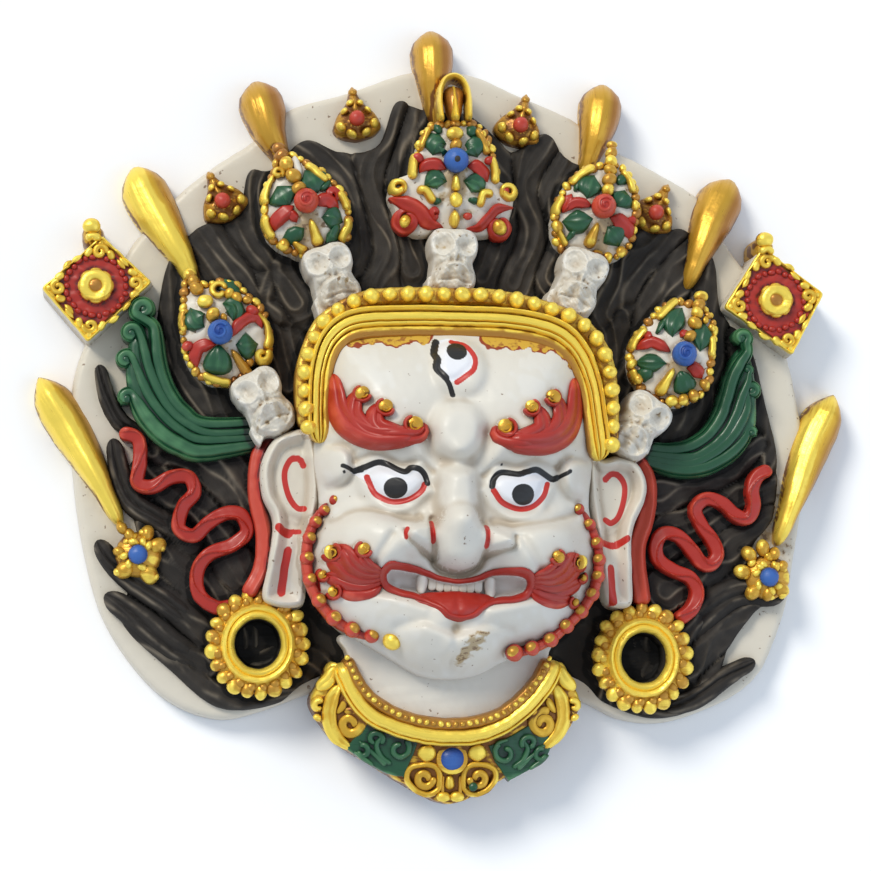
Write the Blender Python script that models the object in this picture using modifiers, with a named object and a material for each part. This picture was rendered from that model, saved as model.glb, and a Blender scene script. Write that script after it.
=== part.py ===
"""Bhairab mask: a wrathful three-eyed deity face, cast in one piece.

The mask lies on its flat back. +X points to the viewer's right, +Y to the top of the mask
and +Z out of the face. The origin is on the back, in the middle of the head. All shapes
are laid out in millimetres and turned into metres when their mesh is made. Each carved
form is its own helper solid; one union, a thinning pass and a flat cut make the casting.
"""

from dataclasses import dataclass
from math import atan2, cos, hypot, pi, radians, sin

import bmesh
import bpy
import numpy as np
from mathutils import Matrix

MM = 0.001

# Driving heights above the flat back, in millimetres.
RIM_HEIGHT = 7.0
HAIR_EDGE_HEIGHT = 9.5
HAIR_RISE = 6.0
TUFT_RISE = 2.6
BUD_HEIGHT = 11.0
CROWN_HEIGHT = 34.0
CROWN_BEAD_RADIUS = 1.9
EAR_HEIGHT = 26.0
JAW_HEIGHT = 26.0
FACE_DOME = 17.0
NECK_HEIGHT = 25.0
COLLAR_HEIGHT = 23.0
EARRING_HEIGHT = 19.0
PLAQUE_HEIGHT = 15.0
FLORET_HEIGHT = 14.5
FLOWER_HEIGHT = 15.0
SKULL_HEIGHT = 24.5
JEWEL_HEIGHT = 25.0
PLUME_HEIGHT = 12.0
RIBBON_HEIGHT = 13.0
BAND_HEIGHT = 14.0
LOBE_HEIGHT = 18.0
COLLAR_BACK_HEIGHT = 14.0

# The helper solids start a little below the back; the flat cut at the end takes that off.
SINK = 1.5
# How far a relief's wall leans out from its edge to its foot.
DRAFT = 1.2
# The voxel size that melts the joins together, and how many triangles stay of the result.
BLEND = 1.1
TRIANGLES_KEPT = 9400
# Each bead is turned by this much more than the last, in radians, so that no two facets line up.
BEAD_TURN = 0.37
# The block that cuts the back flat, in metres.
CUTTER_SIDE = 0.5
CUTTER_DEPTH = 0.1
# Points read on each span of a curve before they are spaced evenly.
CURVE_STEPS = 24

CREAM = (0.86, 0.83, 0.76, 1.0)


# ---------------------------------------------------------------- curves and meshes

def smooth(points, count, closed=False):
    """A Catmull-Rom curve through the rows of points, read at count even steps of length."""
    rows = np.array(points, dtype=float)
    if closed:
        rows = np.vstack([rows[-1], rows, rows[0], rows[1]])
    else:
        rows = np.vstack([2 * rows[0] - rows[1], rows, 2 * rows[-1] - rows[-2]])
    fine = []
    for k in range(1, len(rows) - 2):
        before, start, end, after = rows[k - 1:k + 3]
        for t in np.linspace(0.0, 1.0, CURVE_STEPS, endpoint=False):
            fine.append(0.5 * (2 * start + (end - before) * t
                               + (2 * before - 5 * start + 4 * end - after) * t ** 2
                               + (3 * start - before - 3 * end + after) * t ** 3))
    fine.append(rows[-2])
    fine = np.array(fine)
    steps = np.linalg.norm(np.diff(fine[:, :2], axis=0), axis=1)
    length = np.concatenate([[0.0], np.cumsum(steps)])
    stops = np.linspace(0.0, length[-1], count + 1 if closed else count)
    if closed:
        stops = stops[:-1]
    return np.column_stack([np.interp(stops, length, column) for column in fine.T])


class Carving:
    """Collects the helper solids of the casting in one collection."""

    def __init__(self, name):
        self.collection = bpy.data.collections.new(name)
        bpy.context.scene.collection.children.link(self.collection)
        self.count = 0

    def add(self, name, mesh_bm):
        """Links a bmesh laid out in millimetres as a helper object in metres."""
        bmesh.ops.recalc_face_normals(mesh_bm, faces=mesh_bm.faces)
        bmesh.ops.scale(mesh_bm, vec=(MM, MM, MM), verts=mesh_bm.verts)
        mesh = bpy.data.meshes.new(name)
        mesh_bm.to_mesh(mesh)
        mesh_bm.free()
        helper = bpy.data.objects.new(name, mesh)
        helper.hide_render = True
        helper.display_type = "WIRE"
        self.collection.objects.link(helper)

    def loft(self, name, rings):
        """Joins closed rings of equal length into a solid with flat end caps."""
        mesh_bm = bmesh.new()
        loops = [[mesh_bm.verts.new(point) for point in ring] for ring in rings]
        for lower, upper in zip(loops, loops[1:]):
            for k in range(len(lower)):
                after = (k + 1) % len(lower)
                mesh_bm.faces.new((lower[k], lower[after], upper[after], upper[k]))
        mesh_bm.faces.new(loops[0][::-1])
        mesh_bm.faces.new(loops[-1])
        self.add(name, mesh_bm)

    def relief(self, name, outline, centre, height_at, rings, corners):
        """A solid over a closed outline whose top follows height_at(x, y, reach).

        reach is 1 on the outline and 0 at the centre. The wall below the outline is drafted.
        """
        edge = smooth(outline, corners, closed=True)[:, :2]
        centre = np.array(centre, dtype=float)
        outward = edge - centre
        outward /= np.linalg.norm(outward, axis=1)[:, None]
        foot = np.column_stack([edge + outward * DRAFT, np.full(corners, -SINK)])
        stack = [foot]
        for reach in np.linspace(1.0, 0.0, rings, endpoint=False):
            flat = centre + (edge - centre) * reach
            stack.append([(x, y, height_at(x, y, reach)) for x, y in flat])
        mesh_bm = bmesh.new()
        loops = [[mesh_bm.verts.new(point) for point in ring] for ring in stack]
        for lower, upper in zip(loops, loops[1:]):
            for k in range(corners):
                after = (k + 1) % corners
                mesh_bm.faces.new((lower[k], lower[after], upper[after], upper[k]))
        mesh_bm.faces.new(loops[0][::-1])
        top = mesh_bm.verts.new((*centre, height_at(*centre, 0.0)))
        for k in range(corners):
            mesh_bm.faces.new((loops[-1][k], loops[-1][(k + 1) % corners], top))
        self.add(name, mesh_bm)

    def stroke(self, name, route, section, count):
        """A swept ridge. Route rows are x, y, base height, half width, rise above the base.

        section is a row of (across, up) from -1 to 1 and 0 to 1; the stroke reaches down to the floor.
        """
        rows = smooth(route, count)
        heading = np.gradient(rows[:, :2], axis=0)
        heading /= np.linalg.norm(heading, axis=1)[:, None]
        rings = []
        for (x, y, base, half, rise), (hx, hy) in zip(rows, heading):
            ring = [(x - hy * across * half, y + hx * across * half, base + rise * up)
                    for across, up in section]
            ring += [(x - hy * half, y + hx * half, -SINK), (x + hy * half, y - hx * half, -SINK)]
            rings.append(ring)
        self.loft(name, rings)

    def bead(self, name, x, y, z, radius, stretch=1.0):
        """A coarse ball."""
        mesh_bm = bmesh.new()
        bmesh.ops.create_uvsphere(mesh_bm, u_segments=7, v_segments=5, radius=radius)
        bmesh.ops.scale(mesh_bm, vec=(1.0, 1.0, stretch), verts=mesh_bm.verts)
        turn = Matrix.Rotation(self.count * BEAD_TURN, 3, "Z")
        bmesh.ops.rotate(mesh_bm, matrix=turn, verts=mesh_bm.verts)
        bmesh.ops.translate(mesh_bm, vec=(x, y, z), verts=mesh_bm.verts)
        self.count += 1
        self.add(name, mesh_bm)


def turned(points, x, y, angle, scale=1.0):
    """Local points scaled, turned by angle and moved to x, y."""
    return [(x + scale * (u * cos(angle) - v * sin(angle)),
             y + scale * (u * sin(angle) + v * cos(angle))) for u, v in points]


@dataclass(frozen=True)
class Bump:
    """A rounded swelling, or a hollow where rise is negative."""
    x: float
    y: float
    half_width: float
    half_length: float
    rise: float
    turn: float = 0.0

    def at(self, x, y):
        """The height that the swelling adds at a point."""
        angle = radians(self.turn)
        dx, dy = x - self.x, y - self.y
        across = (dx * cos(angle) + dy * sin(angle)) / self.half_width
        along = (dy * cos(angle) - dx * sin(angle)) / self.half_length
        return self.rise * np.exp(-(across ** 2 + along ** 2) ** 1.5)


# ---------------------------------------------------------------- back plate and hair

PLATE = [(-9, 95), (6, 95), (21, 89), (36, 82.5), (43, 76), (54, 71), (71, 61), (76, 52), (80, 46),
         (90, 32), (95, 17), (97, 8), (99, -5), (99, -20), (96, -38), (94, -50), (88, -66), (82, -73),
         (73, -78), (60, -82), (48, -81), (37, -76), (20, -72), (0, -71), (-20, -71), (-35, -74),
         (-49, -79), (-60, -81), (-72, -77), (-82, -68), (-91, -54), (-96, -37), (-99, -18), (-100, 2),
         (-98, 15), (-91, 31), (-85, 45), (-80, 51), (-71, 61), (-61, 69), (-52, 75), (-42, 84), (-26, 89)]

HAIR = [(-18, 74), (-13, 86), (-6, 84), (6, 83), (14, 77), (19, 73), (28, 78), (34, 71), (44, 66),
        (56, 52), (66, 52), (74, 44), (76, 30), (84, 20), (88, 4), (91, -10), (90, -26), (84, -36),
        (90, -47), (84, -53), (77, -63), (72, -76), (58, -81), (44, -77), (34, -70), (0, -60), (-34, -70),
        (-45, -77), (-60, -78), (-73, -68), (-86, -55), (-83, -44), (-82, -32), (-86, -18), (-80, -6),
        (-78, 10), (-77, 28), (-74, 42), (-66, 51), (-56, 54), (-53, 66), (-47, 67), (-38, 75), (-28, 72)]

# Each tuft runs from its root to its tip; the last number is its full width.
TUFTS = [
    ([(-40, 30), (-47, 40), (-54, 50), (-55, 60), (-53, 70)], 9),
    ([(-46, 26), (-55, 37), (-62, 46), (-69, 55)], 9),
    ([(-26, 42), (-24, 55), (-27, 65), (-33, 71), (-41, 76)], 9),
    ([(-18, 34), (-14, 45), (-19, 56), (-21, 66), (-17, 76), (-13, 88)], 10),
    ([(-9, 40), (-12, 55), (-10, 70), (-6, 83)], 8),
    ([(10, 38), (15, 50), (17, 62), (12, 73), (7, 83)], 8),
    ([(19, 36), (24, 50), (21, 62), (24, 71), (30, 79)], 10),
    ([(29, 38), (33, 50), (30, 60), (35, 70)], 7),
    ([(45, 28), (50, 40), (57, 47), (65, 54)], 9),
    ([(53, 22), (60, 34), (67, 44), (73, 49)], 9),
    ([(-62, -2), (-70, 10), (-75, 26), (-75.5, 42)], 8),
    ([(-42, 8), (-46, 20), (-49, 30), (-46, 40)], 8),
    ([(-81, -5), (-87, 2), (-90.5, 8), (-92.5, 13.5)], 5),
    ([(-72, -34), (-81, -28), (-88, -18), (-89.5, -6)], 7),
    ([(-56, -12), (-64, -17), (-74, -14), (-82, -8)], 9),
    ([(-58, -36), (-66, -28), (-76, -24), (-84, -14)], 9),
    ([(-62, -60), (-72, -52), (-83, -44), (-94, -34)], 8),
    ([(-62, -50), (-70, -42), (-76, -36), (-80, -29)], 8),
    ([(-62, -68), (-72, -62), (-82, -54), (-90.5, -48)], 8),
    ([(-40, -74), (-56, -75), (-70, -67), (-86, -56)], 8),
    ([(56, -20), (66, -18), (76, -14), (87, -7)], 9),
    ([(58, -34), (68, -29), (78, -23), (90, -17)], 9),
    ([(60, -47), (70, -41), (80, -34), (88, -28)], 9),
    ([(64, -60), (72, -52), (80, -47), (93, -48)], 9),
    ([(60, -74), (68, -65), (75, -57), (84, -52)], 9),
    ([(54, -79), (67, -76), (77, -69.5), (84.5, -65.5)], 6),
    ([(88, -14), (90, -4), (87, 9), (83, 21)], 5),
    ([(64, -6), (69, 8), (72, 24), (75, 44)], 8),
    ([(44, 8), (48, 17), (47, 28)], 7),
]
TUFT_SECTION = [(1.0, -0.5), (0.68, 0.75), (0.36, 0.3), (0.0, 1.0),
                (-0.36, 0.3), (-0.68, 0.75), (-1.0, -0.5)]


def hair_ground(x, y):
    """The height of the hair's ground, which rises towards the head."""
    return HAIR_EDGE_HEIGHT + HAIR_RISE * max(0.0, 1.0 - hypot(x / 80.0, y / 75.0))


def carve_plate(carving):
    """The cream back plate with its rounded rim."""
    def top(x, y, reach):
        return RIM_HEIGHT + 2.0 * (1.0 - reach)
    carving.relief("plate", PLATE, (0.0, -8.0), top, 4, 84)


def carve_hair(carving):
    """The ground of the hair and its tapering tufts."""
    def top(x, y, reach):
        return hair_ground(x, y) - 0.8 * reach ** 6
    carving.relief("hair_ground", HAIR, (0.0, -8.0), top, 5, 88)
    for number, (route, width) in enumerate(TUFTS):
        last = len(route) - 1
        rows = []
        for k, (x, y) in enumerate(route):
            along = k / last
            half = 0.5 * width * (0.16 + 0.84 * sin(pi * (0.28 + 0.68 * along)))
            rows.append((x, y, hair_ground(x, y) - 0.6, half, TUFT_RISE))
        carving.stroke(f"tuft_{number}", rows, TUFT_SECTION, 8)


# ---------------------------------------------------------------- gilded buds, florets and plaques

BUDS = [
    ([(-108.5, 9), (-106, 1), (-99.5, -8), (-92, -21), (-86, -31)], 7.4),
    ([(-84, 68), (-80, 59), (-75, 50), (-70, 41), (-67, 33)], 6.6),
    ([(-51.5, 92), (-49, 83), (-47, 76), (-42, 66)], 6.2),
    ([(-3.5, 107), (-3, 98), (-3, 89), (-3, 79)], 5.9),
    ([(44.5, 93), (43, 83), (41, 75), (38, 65)], 5.9),
    ([(80.5, 67), (75.5, 58), (71, 48), (66, 35)], 6.4),
    ([(108.5, 7), (102.5, -1), (99, -12), (93, -27), (89, -36)], 6.6),
]
# Share of a bud's half width from its round tip to its stem.
BUD_STATIONS = (0.0, 0.08, 0.2, 0.36, 0.55, 0.78, 1.0)
BUD_WIDTHS = (0.42, 0.8, 1.0, 0.98, 0.72, 0.45, 0.34)
BUD_SECTION = [(1.0, 0.25), (0.8, 0.68), (0.35, 0.95), (0.0, 1.0),
               (-0.35, 0.95), (-0.8, 0.68), (-1.0, 0.25)]
# How high a bud's underside hangs over the back's plane.
BUD_FOOT = 3.0
# Rows of x, y and turn in degrees.
FLORETS = [(-24, 81, 8), (20.5, 80, -14), (-60, 58, 27), (57.5, 56.5, -27)]
FLORET_OUTLINE = [(0, 9), (2.2, 4), (5.2, 1), (6.4, -3), (2.5, -5.5),
                  (-2.5, -5.5), (-6.4, -3), (-5.2, 1), (-2.2, 4)]
FLOWERS = [(-81.5, -38), (87.5, -42.5)]
PETALS = 5
PETAL_TIP = 7.0
PETAL_NOTCH = 4.6
# Rows of x, y, turn in degrees and half diagonal.
PLAQUES = [(-93.5, 33.5, -1.0, 10.44), (89.5, 31.5, 10.0, 10.44)]
PLAQUE_FIELD_DEPTH = 1.4
# Rows of distance above the plaque's middle, half width and rise of its knob.
PLAQUE_KNOB = [(10.0, 2.6, 10.0), (14.0, 2.4, 9.5), (17.5, 1.4, 7.0)]


def carve_buds(carving):
    """Seven club-shaped gilded buds that overhang the plate."""
    for number, (route, half) in enumerate(BUDS):
        path = smooth(route, 12)
        rows = []
        for along, (x, y) in zip(np.linspace(0.0, 1.0, len(path)), path):
            share = np.interp(along, BUD_STATIONS, BUD_WIDTHS)
            rise = (BUD_HEIGHT - BUD_FOOT) * (0.4 + 0.6 * share)
            rows.append((x, y, BUD_FOOT, half * share, rise))
        carving.stroke(f"bud_{number}", rows, BUD_SECTION, len(path))


def carve_florets(carving):
    """Small drop-shaped florets between the buds and a five-petalled flower at each side."""
    for number, (x, y, turn) in enumerate(FLORETS):
        outline = turned(FLORET_OUTLINE, x, y, radians(turn))
        carving.relief(f"floret_{number}", outline, (x, y - 1),
                       lambda px, py, reach: FLORET_HEIGHT - 3.0 * reach ** 2, 2, 12)
        carving.bead(f"floret_bead_{number}", x, y - 0.5, FLORET_HEIGHT, 2.3)
    bearings = np.linspace(0.3, 2 * pi + 0.3, 2 * PETALS, endpoint=False)
    petals = [(radius * cos(bearing), radius * sin(bearing))
              for bearing, radius in zip(bearings, PETALS * (PETAL_TIP, PETAL_NOTCH))]
    for number, (x, y) in enumerate(FLOWERS):
        carving.relief(f"flower_{number}", turned(petals, x, y, 0.0), (x, y),
                       lambda px, py, reach: FLOWER_HEIGHT - 3.0 * reach ** 2, 2, 20)
        carving.bead(f"flower_bead_{number}", x, y, FLOWER_HEIGHT, 2.6)


def carve_plaques(carving):
    """Two square plaques with a sunk ring, and the knob that each hangs from."""
    def top(_x, _y, reach):
        return PLAQUE_HEIGHT - (PLAQUE_FIELD_DEPTH if 0.3 < reach < 0.8 else 0.0)
    for number, (x, y, turn, half) in enumerate(PLAQUES):
        corners = [(half * cos(a), half * sin(a)) for a in np.linspace(0.0, 2 * pi, 4, endpoint=False)]
        square = []
        for start, end in zip(corners, corners[1:] + corners[:1]):
            square += [(start[0] + (end[0] - start[0]) * t, start[1] + (end[1] - start[1]) * t)
                       for t in (0.0, 0.04, 0.5, 0.96)]
        carving.relief(f"plaque_{number}", turned(square, x, y, radians(turn)), (x, y), top, 5, 32)
        tip_x = x + (1.0 if x < 0 else -1.5)
        knob = [(tip_x, y + above, BUD_FOOT, half_width, rise) for above, half_width, rise in PLAQUE_KNOB]
        carving.stroke(f"plaque_knob_{number}", knob, BUD_SECTION, 4)


# ---------------------------------------------------------------- crown, skulls and jewels

CROWN = [(-34.5, -8.5), (-34.5, 2), (-34, 11), (-31, 18), (-25, 22), (-12, 23), (1, 23), (16, 22.5),
         (27, 20), (33, 15), (36.5, 7), (38, -2), (39.5, -12.5)]
CROWN_BEADS = [(-37.5, -5), (-38.5, 4), (-38, 12), (-35, 20.5), (-31, 25), (-23.5, 29), (-14, 30.3),
               (1, 30.3), (12, 30), (24, 27.5), (33, 24), (38.5, 19), (41.5, 12), (42.5, 3), (42, -4),
               (42, -8)]
BEAD_PITCH = 5.0
# Rows of x, y, turn in degrees and scale.
SKULLS = [(-50, 3, 52, 1.0), (-31.5, 37, 24, 1.0), (0.5, 40, 0, 1.0), (33.5, 37.5, -20, 1.0),
          (49.5, -1.5, -38, 1.0)]
SKULL_OUTLINE = [(0, 9), (4.6, 8.2), (6.2, 4.5), (4.6, 0.5), (5.6, -4), (3.4, -8), (0, -9),
                 (-3.4, -8), (-5.6, -4), (-4.6, 0.5), (-6.2, 4.5), (-4.6, 8.2)]
JEWELS = [(-60.5, 20.5, 29, 1.0), (-38, 56, 18, 1.0), (1.5, 67, 0, 1.25), (41, 56, -14, 1.0),
          (62.5, 17, -27, 1.0)]
JEWEL_OUTLINE = [(0, 15), (4, 12), (6.5, 7), (9.5, 2), (9.5, -5), (6, -10.5), (0, -12),
                 (-6, -10.5), (-9.5, -5), (-9.5, 2), (-6.5, 7), (-4, 12)]


def skull_height(u, v):
    """The top of a skull above its edge, in its own place: brow, two round sockets, cheek and jaw."""
    brow = 5.0 * np.exp(-((u / 6.5) ** 2 + ((v - 4.5) / 5.5) ** 2) ** 1.5)
    jaw = 4.0 * np.exp(-((u / 5.5) ** 2 + ((v + 4.5) / 4.8) ** 2) ** 1.5)
    sockets = sum(-2.6 * np.exp(-(((u - side) / 2.1) ** 2 + ((v - 4.0) / 2.3) ** 2))
                  for side in (-3.1, 3.1))
    return brow + jaw + sockets


def local(px, py, x, y, angle, scale):
    """A point of the mask in the turned and scaled place of an ornament."""
    dx, dy = (px - x) / scale, (py - y) / scale
    return dx * cos(angle) + dy * sin(angle), dy * cos(angle) - dx * sin(angle)


def carve_crown(carving):
    """The ridged crown band over the brow, with its row of beads."""
    section = [(1.0, 0.55), (0.75, 1.0), (0.4, 0.95), (0.22, 0.7), (0.0, 0.9),
               (-0.25, 0.65), (-0.8, 0.6), (-1.0, 0.3)]
    rows = [(x, y, CROWN_HEIGHT - 6.0, 4.2 if abs(x) < 30 else 3.1, 6.0) for x, y in CROWN[::-1]]
    carving.stroke("crown_band", rows, section, 24)
    edge = np.array(CROWN_BEADS, dtype=float)
    length = np.sum(np.hypot(*np.diff(edge, axis=0).T))
    for number, (x, y) in enumerate(smooth(CROWN_BEADS, int(length / BEAD_PITCH) + 1)):
        carving.bead(f"crown_bead_{number}", x, y, CROWN_HEIGHT - 3.0, CROWN_BEAD_RADIUS)
    shelf = [(x, y, CROWN_HEIGHT - 9.0, 2.2, 4.4) for x, y in CROWN_BEADS]
    carving.stroke("crown_shelf", shelf, [(1.0, 0.4), (0.5, 1.0), (-0.5, 1.0), (-1.0, 0.4)], 22)


def carve_skulls(carving):
    """Five small skulls standing on the crown."""
    for number, (x, y, turn, scale) in enumerate(SKULLS):
        angle = radians(turn)

        def top(px, py, reach, x=x, y=y, angle=angle, scale=scale):
            carved = skull_height(*local(px, py, x, y, angle, scale))
            return SKULL_HEIGHT + carved * (1.0 - 0.6 * reach ** 4)
        carving.relief(f"skull_{number}", turned(SKULL_OUTLINE, x, y, angle, scale), (x, y), top, 5, 18)


def carve_jewels(carving):
    """Five leafy jewels with a centre bead, a bead chain and curled shoulders."""
    for number, (x, y, turn, scale) in enumerate(JEWELS):
        angle = radians(turn)
        outline = turned(JEWEL_OUTLINE, x, y, angle, scale)
        carving.relief(f"jewel_{number}", outline, (x, y),
                       lambda px, py, reach: JEWEL_HEIGHT - 5.5 * reach ** 2, 3, 18)
        carving.bead(f"jewel_bead_{number}", x, y, JEWEL_HEIGHT + 1.0, 3.5)
        chain = turned([(0, 3), (0, 8), (0, 13), (0, 19.5)], x, y, angle, scale)
        rows = [(px, py, 18 - 1.8 * k, 1.8 - 0.2 * k, 7) for k, (px, py) in enumerate(chain)]
        carving.stroke(f"jewel_chain_{number}", rows, BUD_SECTION, 6)
        tail = turned([(0, -3), (0, -7.5), (0, -12)], x, y, angle, scale)
        carving.stroke(f"jewel_tail_{number}", [(px, py, 20, 1.3, 6.5) for px, py in tail], BUD_SECTION, 4)
        for side in (-1, 1):
            for v in (-8.5, -0.5, 7.0):
                (px, py), = turned([(side * (7.6 - 0.35 * abs(v)), v)], x, y, angle, scale)
                carving.bead(f"jewel_curl_{number}_{side}_{v}", px, py, 21.0, 2.3)


# ---------------------------------------------------------------- plumes, ribbons and bands

PLUME_SPINES = [
    [(-79, 24, 3.2), (-78.5, 12, 4.6), (-75, 1, 5.6), (-67, -6.5, 5.2), (-57, -7, 4.4), (-47, -4, 3.6)],
    [(81, 19, 3.2), (80, 9, 5.4), (77, -2, 6.2), (70, -10, 5.4), (61, -11.5, 4.4), (52, -9.5, 3.4)],
]
PLUME_CURLS = [
    [(-79.5, 28, 2.9), (-83.5, 20.5, 3.0), (-84, 13, 3.2), (-84, 1.5, 3.0)],
    [(80, 22, 2.6), (83.5, 15, 3.0), (84.5, 8.5, 3.0), (85, -3, 3.2)],
]
PLUME_SECTION = [(1.0, 0.2), (0.8, 0.85), (0.5, 0.55), (0.25, 1.0), (0.0, 0.6), (-0.25, 1.0),
                 (-0.5, 0.55), (-0.8, 0.85), (-1.0, 0.2)]
RIBBONS = [
    [(-87, -5), (-82, -7), (-81.5, -13), (-82, -18.5), (-78, -19.5), (-73, -17), (-68.5, -17), (-67, -21),
     (-70, -25), (-71, -30.5), (-67, -32.5), (-63, -29), (-58.5, -26.5), (-54.5, -27), (-53, -31.5),
     (-57, -35), (-63, -37.5), (-66, -42), (-65.5, -48), (-61, -51.5), (-56, -51)],
    [(87.5, -13), (83, -16), (82.5, -21), (82.5, -25.5), (79, -26.5), (74, -23.5), (69.5, -23), (68, -26),
     (70.5, -30), (73.5, -35), (72, -39), (68.5, -39), (64.5, -34), (60.5, -31.5), (57, -34), (58, -39),
     (62.5, -41.5), (66.5, -43), (68, -48), (66, -53), (61, -55.5)],
]
BANDS = [
    [(-46.5, -5), (-50, -12), (-50.5, -22), (-48.5, -32), (-49, -41), (-53, -49)],
    [(49, -10), (54, -17), (54, -25), (51.5, -33), (51.5, -42), (54, -50)],
]
FLAT_SECTION = [(1.0, 0.55), (0.72, 1.0), (-0.72, 1.0), (-1.0, 0.55)]


def carve_plumes(carving):
    """Green grooved plumes at each temple, with curled lobes on their outer edge."""
    for side, (spine, curls) in enumerate(zip(PLUME_SPINES, PLUME_CURLS)):
        rows = [(x, y, PLUME_HEIGHT, half, 5.0) for x, y, half in spine]
        carving.stroke(f"plume_{side}", rows, PLUME_SECTION, 13)
        for number, (x, y, radius) in enumerate(curls):
            carving.bead(f"plume_curl_{side}_{number}", x, y, PLUME_HEIGHT + 0.5, radius)


def carve_ribbons(carving):
    """The winding ribbons over the hair and the plain bands behind the ears."""
    for side, route in enumerate(RIBBONS):
        rows = [(x, y, RIBBON_HEIGHT, 1.9, 2.8) for x, y in route]
        carving.stroke(f"ribbon_{side}", rows, FLAT_SECTION, 46)
    for side, route in enumerate(BANDS):
        rows = [(x, y, BAND_HEIGHT, 2.4, 4.5) for x, y in route]
        carving.stroke(f"band_{side}", rows, FLAT_SECTION, 9)


# ---------------------------------------------------------------- head

HEAD = [(1, 25), (26, 23), (34.5, 17), (37.5, 0), (38, -13), (37, -25), (39, -36), (37, -48), (31, -57),
        (22, -62), (14, -66), (7, -69.5), (-1, -70.5), (-8, -69.5), (-15, -65.5), (-24, -60), (-31.5, -54),
        (-36, -46), (-36.5, -35), (-34.5, -25), (-36, -13), (-35, 0), (-33, 18), (-26, 23)]
HEAD_CENTRE = (0.5, -27.0)
# Third eye, bulb, temples and brows; eye sockets and eyeballs; temples' bumps; nose and its wings;
# cheeks; mouth, tongue, lower cheeks and the two halves of the chin.
FACE = [
    Bump(1.5, 12, 6.5, 8.5, 3.2), Bump(-1.5, -5, 5.5, 8.0, 3.4),
    Bump(-16, 4, 12, 10, 1.6), Bump(18, 3, 12, 10, 1.6),
    Bump(-21, -7, 13, 5.0, 3.4, -18), Bump(22, -8, 13, 5.0, 3.4, 18),
    Bump(-15.5, -20.5, 11, 8, -3.2), Bump(16, -22, 11, 8, -3.2),
    Bump(-15.5, -20.5, 8, 6, 4.4), Bump(16, -22, 8, 6, 4.4),
    Bump(-31, -15, 5, 5, 4.0), Bump(33, -18, 5, 5, 4.0),
    Bump(0, -25, 5.5, 15, 7.0), Bump(0, -34, 7.6, 7.4, 7.5),
    Bump(-9.5, -35, 5, 4.2, 6.0), Bump(9.5, -36, 5, 4.2, 6.0),
    Bump(-23, -35, 12, 9, 7.5), Bump(24, -37, 12, 9, 7.5),
    Bump(0.5, -47, 22, 5.5, -5.0), Bump(0, -51, 6, 5, 4.5),
    Bump(-17, -54, 12, 6.5, 3.5, 15), Bump(18, -55, 12, 6.5, 3.5, -15),
    Bump(-6.5, -61.5, 8.5, 7, 6.5), Bump(6, -62.5, 8.5, 7, 6.5),
]
BROWS = [
    [(-8.5, -8.5), (-14, -11), (-22, -10), (-28, -5), (-30.5, 2), (-30.5, 7.5)],
    [(10.5, -9), (16, -12), (24, -11.5), (30, -6.5), (31.5, 0), (31.5, 7)],
]
BROW_HALF_WIDTHS = (2.2, 3.4, 4.2, 3.8, 2.6, 1.2)
BROW_CURLS = [(-9.5, -6.5, 2.6), (-17.5, -1.5, 2.6), (-23.5, 2.8, 2.2),
              (11.5, -7, 2.6), (19.5, -1.3, 2.4), (25.5, 2.3, 2.4)]
MOUSTACHES = [
    [(-18.5, -45), (-24, -44), (-29, -42), (-32, -38)],
    [(20, -46), (25, -46), (30, -44), (32.5, -41)],
]
MOUSTACHE_HALF_WIDTHS = (2.0, 4.0, 5.0, 2.6)
MOUSTACHE_CURLS = [(-23.5, -38), (-31.5, -38), (-32.5, -43), (-29.5, -48),
                   (24.5, -39), (32, -40), (32, -45), (31, -49)]
LIPS = [(-19, -46), (-17.5, -42), (-12, -41.5), (-5, -43.5), (0.5, -44.7), (6, -43.8), (11, -42.7), (17, -43),
        (19.5, -46.5), (17.5, -50), (10, -51), (5.5, -54), (1, -56), (-3.5, -54.5), (-9, -51), (-16, -49.5)]
BEARD = [
    [(-30.5, -24), (-33.5, -27), (-36, -31), (-37.5, -37), (-37, -44), (-34.5, -50), (-30.5, -55),
     (-24.5, -58.5), (-15.5, -61)],
    [(33.5, -26), (36.5, -30), (39, -37), (39, -44), (37, -49), (33.5, -54), (28, -59), (22, -62.5),
     (15.5, -64)],
]
BEARD_BEADS = 11
EARS = [(-41.5, -19, 8.5, 13.5, 6), (45, -22.5, 8.0, 13.0, -6)]
LOBES = [
    [(-42, -28, 4.5), (-42, -38, 4.8), (-43, -49, 5.2)],
    [(45, -31, 4.5), (45, -41, 4.6), (46, -52, 5.0)],
]


def face_height(x, y, reach):
    """The height of the face: a steep-sided dome with its swellings and hollows."""
    inner = 1.0 - reach ** 6
    return JAW_HEIGHT + FACE_DOME * (1.0 - reach ** 3) + inner * sum(bump.at(x, y) for bump in FACE)


def head_reach(x, y):
    """How far out a point of the face lies, from 0 at the centre to 1 on the outline."""
    edge = smooth(HEAD, 120, closed=True)[:, :2] - HEAD_CENTRE
    bearings = np.arctan2(edge[:, 1], edge[:, 0])
    order = np.argsort(bearings)
    bearing = atan2(y - HEAD_CENTRE[1], x - HEAD_CENTRE[0])
    radius = np.interp(bearing, bearings[order], np.hypot(*edge[order].T), period=2 * pi)
    return min(1.0, hypot(x - HEAD_CENTRE[0], y - HEAD_CENTRE[1]) / radius)


def on_face(x, y):
    """The height of the face below a point."""
    return face_height(x, y, head_reach(x, y))


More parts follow.
